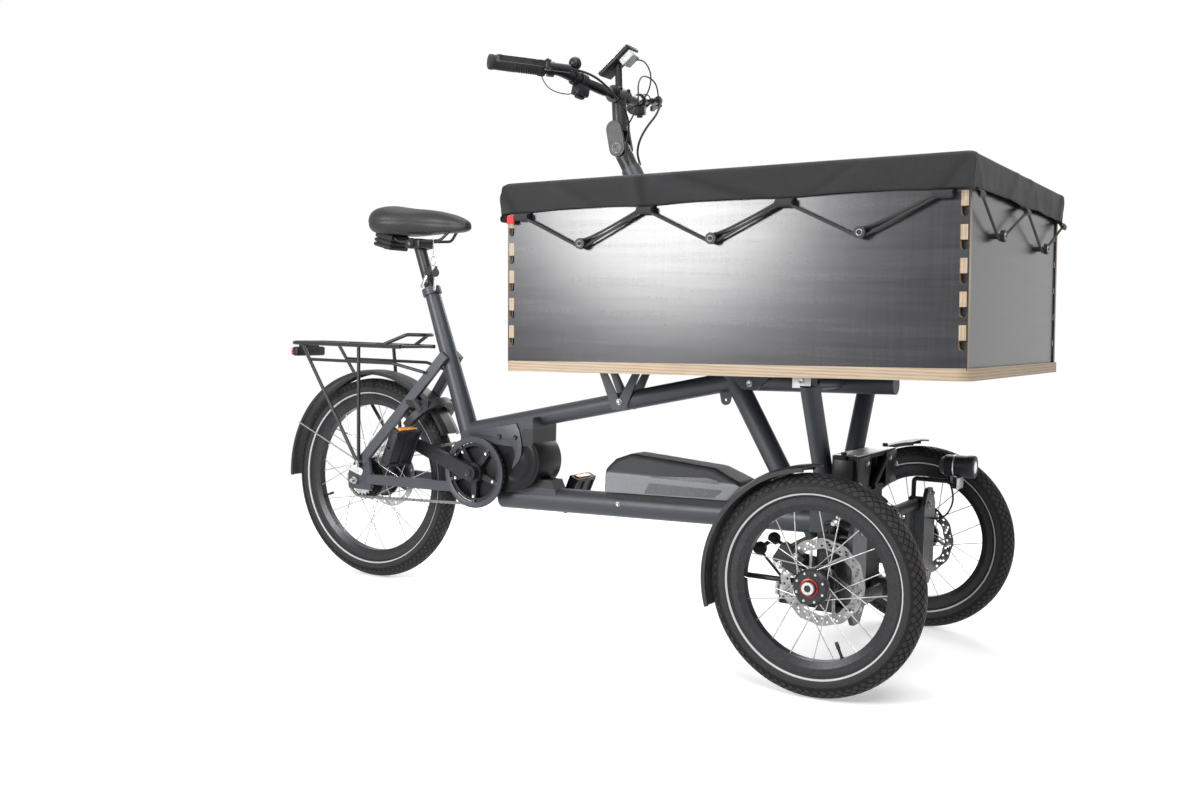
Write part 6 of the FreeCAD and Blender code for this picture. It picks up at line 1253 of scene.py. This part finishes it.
def make_display():
    tilt = Matrix.Translation((0.030, 0.0, 1.240)) @ Matrix.Rotation(math.radians(-39), 4, "Y")
    post = (add_rod, (0.034, 0, 1.182), (0.031, 0, 1.237), 8 * MM, 24)
    case = build("display_case", PLASTIC, "cockpit", "plastic", slab((-46, -25, -6.2), (46, 25, 4.8), 3.0, tilt), post)
    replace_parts(case, "display")
    build("display_rim", ALLOY, "cockpit", "alloy", slab((-46.5, -25.5, 2.0), (46.5, 25.5, 3.6), 0.6, tilt))
    build("display_glass", SCREEN_GLASS, "cockpit", "screen", slab((-43.5, -22.5, 4.4), (43.5, 22.5, 5.8), 0.6, tilt))
    build("display_sockets", PALE_PLASTIC, "cockpit", "plastic", slab((8, -17, -24), (43, 17, -5.5), 4.0, tilt))


def make_pods():
    parts = []
    for side in (-1, 1):
        along = Vector((-0.038, side * 0.118, 0.024)).normalized()
        place = BAR_CLAMP + Vector((0.0, side * 0.072, 0.0)) + along * 0.058
        on_bar = facing(place, along)
        parts += [(add_turned, POD_COLLAR, place, along, 28), slab((-13, -34, -17), (13, -10, 17), 5, on_bar),
                  slab((-6, -39, -10), (6, -33, 10), 2, on_bar)]
    build("bar_pods", PLASTIC, "cockpit", "plastic", *parts)


def make_stem_hinge():
    dark, bright = [], []
    for side in (-1, 1):
        place, out = Vector((0.0436, side * 0.0202, 1.048)), Vector((0, side, 0))
        dark.append((add_turned, HINGE_BOLT, place, out, 32))
        bright += [(add_ring, place + out * (1.5 * MM), out, 10.2 * MM, 0.9 * MM, 40, 8),
                   (add_ring, place + out * (1.2 * MM), out, 5.6 * MM, 0.7 * MM, 32, 8)]
    build("stem_hinge_bolts", ANODISED, "cockpit", "black_alloy", *dark)
    build("stem_hinge_rings", STEEL, "cockpit", "steel", *bright)


make_display()
make_pods()
make_stem_hinge()
for cable, (cable_mm, cable_points) in CABLES.items():
    riding_cord(cable, cable_points, cable_mm * MM, RUBBER, "cockpit")
print("display, pods and hinge made")

# %% [markdown]
# A pedal is a moulded block with sunk treads on both faces, pockets on its outer side and an amber reflector at each
# end. It is built level round its own spindle from blocks, and then turned to the way it hangs in the photograph.

# %% Pedals
PEDAL_TURN = math.radians(-68)
PEDAL_BARS = ((-46, 46, -43, -36), (-46, 46, 36, 43), (-46, -38, -43, 43), (38, 46, -43, 43), (-46, 46, -4, 4))
PEDALS = (("pedal_r", "pedal_right", -1, (-0.4588, -0.140, 0.3560)),
          ("pedal_l", "pedal_left", 1, (-0.1392, 0.140, 0.2460)))


def make_pedal(body, node, side, place):
    turn = Matrix.Translation(place) @ Matrix.Rotation(PEDAL_TURN, 4, "Y")
    parts = [slab((-45, -42, -8.5), (45, 42, 8.5), 1, turn)]
    for z0, z1 in ((-12, -8), (8, 12)):
        parts += [slab((x0, y0, z0), (x1, y1, z1), 0.8, turn) for x0, x1, y0, y1 in PEDAL_BARS]
    y0, y1 = sorted((side * 41, side * 44))
    parts += [slab((x0, y0, -11), (x1, y1, 11), 0.7, turn) for x0, x1 in ((-46, -40), (-6, 6), (40, 46))]
    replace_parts(build(node + "_block", PLASTIC, body, "plastic", *parts), node)
    ends = [slab((x0, -31, -6), (x1, 31, 6), 0.7, turn) for x0, x1 in ((-48.4, -45.5), (45.5, 48.4))]
    build(node + "_reflectors", AMBER_LENS, body, "plastic", *ends)


for pedal in PEDALS:
    make_pedal(*pedal)
print("pedals made")

# %% [markdown]
# The drive. A guard ring in the frame's colour runs round the chainring on small tabs, and a thin dark disc behind
# the chainring is a sheet of painted shade: it darkens the chainring's openings, so that no light comes through. The
# motor hangs in a hooked frame plate, and a dark round cover closes its side. The plate is one flat outline, extruded.

# %% Drive covers
HOOK_PLATE = ((-325, 397), (-189, 423), (-180, 407), (-175, 390), (-172, 371), (-173, 351), (-180, 335), (-193, 321),
              (-199, 317), (-196, 330), (-190, 346), (-192, 358), (-200, 371), (-214, 379), (-230, 384), (-247, 386),
              (-264, 386.5), (-292, 388), (-325, 388))
GUARD_RING = ((0, 70.5), (0, 83.6), (1.2, 84.4), (4.2, 84.4), (5.4, 83.6), (5.4, 72), (4.4, 70.5), (0, 70.5))
SHADE_DISC_PROFILE = ((0, 22), (0, 69), (0.4, 70), (1.0, 69), (1.0, 22), (0, 22))
MOTOR_DISH = ((0, 62), (1.6, 60), (2.2, 44), (1.2, 42), (1.2, 26), (2.4, 24), (2.4, 0))


def make_drive():
    right = Vector((0, -1, 0))
    tabs = []
    for i in range(5):
        turn = Matrix.Translation(CRANK) @ Matrix.Rotation(math.radians(18 + 72 * i), 4, "Y")
        tabs.append(slab((64, -66.8, -4), (77, -60, 4), 1, turn))
    build("chain_guard_ring", PAINT, "crank", "frame_paint",
          (add_turned, GUARD_RING, CRANK + right * 0.0620, right, 96), *tabs)
    # The thin dark disc is painted shade behind the chainring's openings.
    build("chainring_shade_disc", MOTOR_BLACK, "crank", "black_alloy",
          (add_turned, SHADE_DISC_PROFILE, CRANK + right * 0.0497, right, 72))
    build("motor_hook_plates", PAINT, "frame", "frame_paint",
          *((add_plate, HOOK_PLATE, 3.4 * MM, 0.8 * MM, side_plane(0.0496, side)) for side in (-1, 1)))
    build("motor_side_cover", MOTOR_BLACK, "frame", "black_alloy",
          (add_turned, MOTOR_DISH, (-0.194, -0.0469, 0.334), right, 64))


make_drive()
print("drive covers made")

# %% [markdown]
# The battery is a grey plastic shell. A copy of the CAD solid is remeshed and smoothed, which rounds its edges as a
# mould does. Its material reads the way that each face looks: grey sides, a black band on the slope and a dark top.

# %% Battery
BATTERY_PANEL = ((150, 290), (318, 296), (338, 312), (326, 334), (300, 338), (168, 330))


def battery_shell():
    made = make_finish("battery_shell", None, 0.42, (1500.0, 0.0001, 0.3), shine=0.20)
    tree = made.node_tree
    upward = split(add_node(tree, "TexCoord", "Normal"))[2]
    skin = ramp(noise_on(tree, 300.0), 0.3, 0.7, (0.150, 0.157, 0.165), (0.180, 0.188, 0.197))
    band, roof = ramp(upward, 0.22, 0.30, BLACK, WHITE), ramp(upward, 0.80, 0.92, BLACK, WHITE)
    sloped = mix_colours(band, skin, (0.012, 0.012, 0.014))
    rough = add_node(tree, "MapRange", Value=band, To_Min=0.46, To_Max=0.58)
    set_surface(tree, Base_Color=mix_colours(roof, sloped, (0.014, 0.014, 0.016)), Roughness=rough)
    return made


def make_battery():
    made = rounded_copy("battery_pack", "battery_case", 2.5 * MM, 14, battery_shell())
    stand_for(made, "battery_pack", "battery")
    build("battery_side_panels", GREY_PLASTIC, "battery", "plastic",
          *((add_plate, BATTERY_PANEL, 1.0 * MM, 0.4 * MM, side_plane(0.0444, side)) for side in (-1, 1)))
    print("battery faces", len(made.data.polygons))


make_battery()

# %% [markdown]
# The rear light is a black housing under the rack with a red lens on its back. Beside the rear axle a zinc plate with
# two holes takes a tow hitch, and rubber bellows carry the back of the saddle. A bunch of keys hangs under it.

# %% Rear light, hitch plate, saddle bellows and keys
HITCH_HOLE = ((0, 6.2), (1.8, 6.2), (1.8, 3.6), (0, 3.0))
KEY_HEAD = ((-1.8, 0), (-1.8, 9.6), (-0.9, 10.6), (0.9, 10.6), (1.8, 9.6), (1.8, 0))


def make_rear_light():
    low, high = (Vector(corner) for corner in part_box("tail_light"))
    house = build("rear_light_housing", PLASTIC, "frame", "plastic",
                  (add_block, (low.x + 0.007, -0.052, 0.555), (high.x, 0.052, 0.579), 0.005),
                  (add_block, ((low.x + high.x) / 2 - 0.004, -0.030, 0.578), (high.x - 0.002, 0.030, high.z), 0.001))
    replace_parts(house, "tail_light")
    build("rear_light_lens", RED_LENS, "frame", "lamp_red",
          (add_block, (low.x, -0.049, 0.557), (low.x + 0.0085, 0.049, 0.577), 0.003))


def make_hitch_plate():
    angles = [math.radians(7.5 + 15 * i) for i in range(24)]
    outline = [(28.5 * math.cos(a), math.copysign(8.8 * min(1, 2.2 * abs(math.sin(a))), math.sin(a))) for a in angles]
    turn = Matrix.Translation((-0.662, 0.0, 0.281)) @ Matrix.Rotation(math.radians(17), 4, "Y")
    holes = [(add_turned, HITCH_HOLE, turn @ Vector((x, -0.0780, 0.0)), (0, -1, 0), 20) for x in (-0.019, 0.010)]
    build("hitch_plate", ZINC, "frame", "steel",
          (add_plate, outline, 2.4 * MM, 0.5 * MM, turn @ side_plane(0.0758, -1)), *holes)


def make_bellows():
    slant = Matrix.Translation((-0.614, 0, 0.851)) @ Matrix.Rotation(math.radians(14), 4, "Y")
    folds = [slab((-30, -36, low), (26, 36, high), 4.2, slant) for low, high in ((-18, -8), (-7, 3), (4, 19))]
    build("saddle_bellows", RUBBER, "seat", "rubber", *folds, slab((-26, -32, -17), (22, 32, 18), 6, slant))


def add_bead(shape, place, radius):
    bmesh.ops.create_uvsphere(shape, u_segments=10, v_segments=8, radius=radius, matrix=Matrix.Translation(place))


def make_keys():
    steel, heads = [], []
    hook, drop = Vector((-0.4600, -0.0290, 0.852)), Vector((0, 0, -6.8 * MM))
    for i in range(6):
        steel += [(add_bead, hook + drop * i, 1.9 * MM), (add_rod, hook + drop * i, hook + drop * (i + 1), 0.7 * MM, 8)]
    steel.append((add_ring, (-0.4600, -0.0290, 0.800), (0.35, 1, 0), 11 * MM, 0.9 * MM))
    for lean, head in ((28, (-0.4760, -0.0290, 0.774)), (4, (-0.4510, -0.0305, 0.772))):
        turn = Matrix.Translation(head) @ Matrix.Rotation(math.radians(lean), 4, "Y")
        heads += [(add_turned, KEY_HEAD, head, (0, 1, 0), 24), slab((-3.5, -1.6, 8), (3.5, 1.6, 16), 0.8, turn)]
        steel.append(slab((-3.6, -1.0, -43), (3.6, 1.0, -9), 0.4, turn))
        steel += [slab((3.0, -0.9, z), (4.8, 0.9, z + 4), 0.3, turn) for z in (-40, -33, -26, -19)]
    build("key_blades", STEEL, "seat", "steel", *steel)
    build("key_heads", PLASTIC, "seat", "plastic", *heads)


make_rear_light()
make_hitch_plate()
make_bellows()
make_keys()
print("rear pieces made")

# %% [markdown]
# Front hubs and links. A turned cap nut and a red ring close each hub. Each knuckle carries a short link with
# rubber-booted ball joints beside the brake caliper. Valves stand in the rims. A brake disc is a drilled ring.

# %% Front hubs, valves and links
FRONT_AXLE = Vector((0.658, 0.0, 0.2025))
HUB_RING = ((0, 13.4), (2.2, 13.4), (2.8, 14.6), (2.2, 17), (0, 17))
HUB_NUT = ((0, 12.6), (8, 12.6), (9.8, 11.2), (9.8, 6.4), (7, 5.6), (7, 0))
BOOT = ((0, 0), (0, 7), (3, 11), (8, 13), (14, 13), (19, 11), (22, 8), (24, 9), (26, 7), (26, 0))
SMALL_BOOT = [(along * 12 / 13, radius * 12 / 13) for along, radius in BOOT]
VALVE_STEM = ((0, 0), (0, 4), (4, 4), (4, 2.8), (20, 2.8), (20, 3.6), (31, 3.4), (33, 2.2), (33, 0))
VALVES = (("wheel_right", (0.658, -0.3245, 0.2025), 0.138, -66), ("wheel_left", (0.658, 0.3245, 0.2025), 0.138, 140),
          ("rear_wheel", (-0.656, 0.0, 0.253), 0.189, 200))
ROTOR_HUB = ((-1.2, 22), (-1.2, 31), (1.2, 31), (1.2, 22), (-1.2, 22))
ROTOR_COLUMNS = 96


def make_hub(side, word):
    knuckle, out = "knuckle_" + word[0], Vector((0, side, 0))

    def at(x, y, z):
        return Vector((x, side * y, z))

    build("hub_ring_" + word, RED_RING, "wheel_" + word, "alloy",
          (add_turned, HUB_RING, FRONT_AXLE + out * 0.3521, out, 40))
    build("hub_nut_" + word, STEEL, knuckle, "steel", (add_turned, HUB_NUT, FRONT_AXLE + out * 0.3526, out, 24))
    build("ball_boots_" + word, RUBBER, knuckle, "rubber", (add_turned, BOOT, at(0.512, 0.227, 0.240), out, 28),
          (add_turned, SMALL_BOOT, at(0.540, 0.227, 0.262), out, 28))
    build("link_rods_" + word, ANODISED, knuckle, "black_alloy",
          (add_rod, at(0.512, 0.243, 0.240), at(0.566, 0.243, 0.186), 2.6 * MM),
          (add_rod, at(0.540, 0.243, 0.262), at(0.600, 0.262, 0.246), 3.4 * MM),
          (add_rod, at(0.512, 0.240, 0.240), at(0.540, 0.240, 0.262), 4.0 * MM))


def make_valve(wheel, centre, rim_r, deg):
    out = Vector((math.cos(math.radians(deg)), 0.0, math.sin(math.radians(deg))))
    build("valve_" + wheel, ANODISED, wheel, "black_alloy",
          (add_turned, VALVE_STEM, Vector(centre) + out * rim_r, -out, 16))


def drilled_ring():
    """A grid bent round the origin with a waved edge, with faces taken out as holes, and thickened."""
    shape = bmesh.new()
    bmesh.ops.create_grid(shape, x_segments=ROTOR_COLUMNS, y_segments=5, size=1.0)
    for v in shape.verts:
        turn = math.pi * v.co.x
        radius = (70.0 + 9.5 * v.co.y + 0.9 * math.cos(12 * turn) * (0.4 + abs(v.co.y))) * MM
        v.co = Vector((radius * math.cos(turn), 0.0, radius * math.sin(turn)))
    bmesh.ops.remove_doubles(shape, verts=shape.verts, dist=WELD_DISTANCE)
    holes = []
    for face in shape.faces:
        spot = face.calc_center_median()
        column = int((math.atan2(spot.z, spot.x) + math.pi) / (2 * math.pi) * ROTOR_COLUMNS)
        row = int((math.hypot(spot.x, spot.z) / MM - 60.5) / 3.8)
        if (row == 1 and column % 4 == 0) or (row == 3 and column % 4 == 2) or (row == 2 and column % 8 == 5):
            holes.append(face)
    bmesh.ops.delete(shape, geom=holes, context="FACES")
    bmesh.ops.solidify(shape, geom=shape.faces[:], thickness=1.8 * MM)
    bmesh.ops.translate(shape, verts=shape.verts[:], vec=(0, 0.9 * MM, 0))
    return shape


def make_rotor(side, word):
    """The drilled ring on six slanting arms, moved to its place beside the hub."""
    shape = drilled_ring()
    slant = Matrix.Translation((0.046, 0, 0)) @ Matrix.Rotation(0.5, 4, "Y")
    for i in range(6):
        add_block(shape, (-0.022, -0.0008, -0.0030), (0.020, 0.0008, 0.0030), 0.0003,
                  Matrix.Rotation(math.radians(60 * i), 4, "Y") @ slant)
    add_turned(shape, ROTOR_HUB, (0, 0, 0), (0, 1, 0), 40)
    bmesh.ops.translate(shape, verts=shape.verts[:], vec=FRONT_AXLE + Vector((0, side * 0.290, 0)))
    node = "front_%s_rotor" % word
    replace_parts(new_piece(node + "_drilled", shape, ROTOR_STEEL, "wheel_" + word), node)


for wheel_side in SIDES:
    make_hub(*wheel_side)
for valve in VALVES:
    make_valve(*valve)
for wheel_side in SIDES:
    make_rotor(*wheel_side)
print("hubs, links and valves made")

# %% [markdown]
# The front housing holds the leaning linkage. Its front is closed by two screwed plates and a slanting arm, a bright
# sheet covers its top, and a damper with a bare steel body stands beside the spine. Zinc plates tie the box floor to
# the tops of the struts.

# %% Front housing
DAMPER = ((0, 0), (0, 12), (3, 15), (6, 15), (6, 17), (26, 17), (26, 14), (30, 13), (33, 7), (44, 7), (44, 0))


def make_housing():
    pins = [(add_rod, (0.631, y, 0.340), (0.631, y, 0.424), 5.5 * MM) for y in (-0.125, 0.125)]
    arm = (add_rod, (0.655, -0.024, 0.350), (0.655, 0.050, 0.398), 8 * MM, 20)
    build("housing_plates", MOTOR_BLACK, "frame", "black_paint",
          *pair((0.6545, 0.052, 0.346), (0.6585, 0.119, 0.413), 0.0012),
          *pair((0.612, 0.119, 0.352), (0.650, 0.131, 0.410), 0.002), *pins, arm)
    build("bright_plates", ZINC, "frame", "steel",
          (add_block, (0.608, -0.112, 0.4162), (0.657, 0.112, 0.4178), 0.0006),
          *pair((0.543, 0.1802, 0.546), (0.581, 0.1826, 0.571), 0.0008))
    build("damper_bodies", ALLOY, "frame", "alloy",
          *((add_turned, DAMPER, (0.618, y, 0.258), (0, 0, 1), 32) for y in (-0.102, 0.102)))
    build("damper_arms", MOTOR_BLACK, "frame", "black_paint",
          *pair((0.588, 0.078, 0.266), (0.614, 0.104, 0.282), 0.002))


make_housing()
print("front housing made")

# %% [markdown]
# The headlight is a black can with a bezel and a white lens, on a bright clamp with a white reflector below. Its
# cable drops in a loop and goes into the upright's knuckle.

# %% Headlight
LAMP_PLACE = (0.7267, 0.250, 0.374)
LAMP_CAN = ((-12, 0), (-12, 12), (-9, 17), (0, 22), (4, 23.4), (46, 23.4), (47, 24.6), (60, 24.6), (61.5, 23.6),
            (61.5, 20.4), (58, 20))
LAMP_DOME = ((57, 20.3), (59.5, 20.0), (61.5, 16), (62.6, 9), (63, 0))
LAMP_CABLE = ((0.7300, 0.250, 0.3520), (0.7420, 0.248, 0.3250), (0.7480, 0.240, 0.2980), (0.7400, 0.228, 0.2720),
              (0.7240, 0.224, 0.2590), (0.7040, 0.226, 0.2600))


def make_headlight():
    ahead = (1, 0, 0)
    build("headlight_can", PLASTIC, "knuckle_l", "plastic", (add_turned, LAMP_CAN, LAMP_PLACE, ahead, 48))
    build("headlight_glass", CLEAR_LENS, "knuckle_l", "plastic", (add_turned, LAMP_DOME, LAMP_PLACE, ahead, 40),
          (add_block, (0.7555, 0.228, 0.326), (0.7595, 0.272, 0.350), 0.001))
    build("headlight_clamp", ALLOY, "knuckle_l", "alloy",
          (add_block, (0.739, 0.240, 0.338), (0.753, 0.260, 0.354), 0.002),
          (add_ring, (0.746, 0.250, 0.374), ahead, 23.6 * MM, 1.6 * MM, 40, 8))
    bending_cord("headlight_cable", LAMP_CABLE, 2.0 * MM)


make_headlight()

# %% [markdown]
# Screws and bolts go on last, from tables: where each sits, which way it looks, its head's radius and height in
# millimetres, and the number of sides. All bolts of one finish that ride on one body are one piece. A bright washer
# goes round the screw of each cord knob.

# %% Bolts
FRAME_BOLTS = ((0.0694, 0.0252, 0.4864, 5.0, 4.0, 12), (0.3840, 0.0252, 0.5420, 5.0, 4.0, 12),
               (0.0747, 0.0270, 0.2575, 4.0, 3.0, 12), (-0.642, 0.0880, 0.292, 4.2, 3.5, 12),
               (0.562, 0.1826, 0.560, 4.6, 3.4, 6))
MOTOR_BOLTS = ((-0.2348, 0.0530, 0.3895, 4.6, 2.4, 16), (-0.1900, 0.0530, 0.3900, 4.6, 2.4, 16))
HOUSING_BOLTS = ((-0.069, 0.400), (0.111, 0.384), (-0.111, 0.360), (0.069, 0.400))
UPRIGHT_BOLTS = ((0.215, 0.290, 6.0), (0.215, 0.145, 6.0), (0.240, 0.313, 3.6), (0.206, 0.316, 3.6))
BEAM_PINS_Z = (0.290, 0.145)


def both_sides(x, y, z, *head):
    return [((x, s * y, z), (0, s, 0), *head) for s in (-1, 1)]


def places_round(centre, y, radius, angles):
    return [(centre.x + radius * math.cos(a), y, centre.z + radius * math.sin(a)) for a in angles]


def knob_screws():
    spots = [((x + KNOB_AFTER_LOOP, s * 0.3742, KNOB_Z), (0, s, 0)) for x in COVER_LOOPS_X[:3] for s in (-1, 1)]
    spots += [((x, y, KNOB_Z), (a, 0, 0)) for x, a in ((0.9347, 1), (-0.0167, -1)) for y in FRONT_KNOBS_Y]
    return [(rake(place), axis, 3.4, 2.0, 12) for place, axis in spots]


def bolt_table():
    bright = [bolt for row in FRAME_BOLTS for bolt in both_sides(*row)]
    bright += [((0.6585, y, z), (1, 0, 0), 4.6, 3.4, 12) for y, z in HOUSING_BOLTS]
    bright += [((0.702, 0, z), (1, 0, 0), 7.0, 4.0, 6) for z in BEAM_PINS_Z]
    dark = knob_screws() + [bolt for row in MOTOR_BOLTS for bolt in both_sides(*row)]
    ring = places_round(CRANK, -0.0622, 0.0572, [math.radians(54 + 72 * i) for i in range(5)])
    clamp = [Vector(p) for y in (-0.017, 0.017) for p in places_round(BAR_CLAMP, y, 0.0188, (-0.66, 0.66))]
    table = {("frame", STEEL): bright, ("frame", ANODISED): dark,
             ("crank", STEEL): [(place, (0, -1, 0), 4.2, 3.0, 12) for place in ring],
             ("crank", ANODISED): both_sides(-0.299, 0.0868, 0.301, 9.0, 3.0, 16),
             ("seat", ANODISED): both_sides(-0.5270, 0.0290, 0.844, 10.0, 5.0, 16),
             ("cockpit", ANODISED): [(p, (p.x - BAR_CLAMP.x, 0, p.z - BAR_CLAMP.z), 3.6, 3.0, 12) for p in clamp]}
    along = Vector((math.cos(math.radians(30)), 0, math.sin(math.radians(30)))) * 0.018
    for side, word in SIDES:
        dots = places_round(FRONT_AXLE, side * 0.352, 0.0262, [0.393 + 0.7854 * i for i in range(8)])
        caliper = Vector((0.5956, side * 0.303, 0.2385))
        table["wheel_" + word, STEEL] = [(place, (0, side, 0), 1.7, 1.4, 8) for place in dots]
        table["upright_" + word[0], STEEL] = [((0.703, side * y, z), (1, 0, 0), r, 3.6, 6) for y, z, r in UPRIGHT_BOLTS]
        table["knuckle_" + word[0], STEEL] = [(caliper + along * k, (0, side, 0), 3.5, 3.0, 12) for k in (-1, 1)]
    return table


def make_bolts():
    table = bolt_table()
    for (body, finish), bolts in table.items():
        build("bolts_%s_%s" % (body, finish.name), finish, body, "steel" if finish == STEEL else "black_alloy",
              *((add_bolt, *bolt) for bolt in bolts))
    build("knob_washers", STEEL, "frame", "steel",
          *((add_ring, place + Vector(axis) * (0.6 * MM), axis, 5.0 * MM, 0.8 * MM, 28, 8)
            for place, axis, *_ in knob_screws()))
    print("bolts", sum(len(bolts) for bolts in table.values()))


make_bolts()
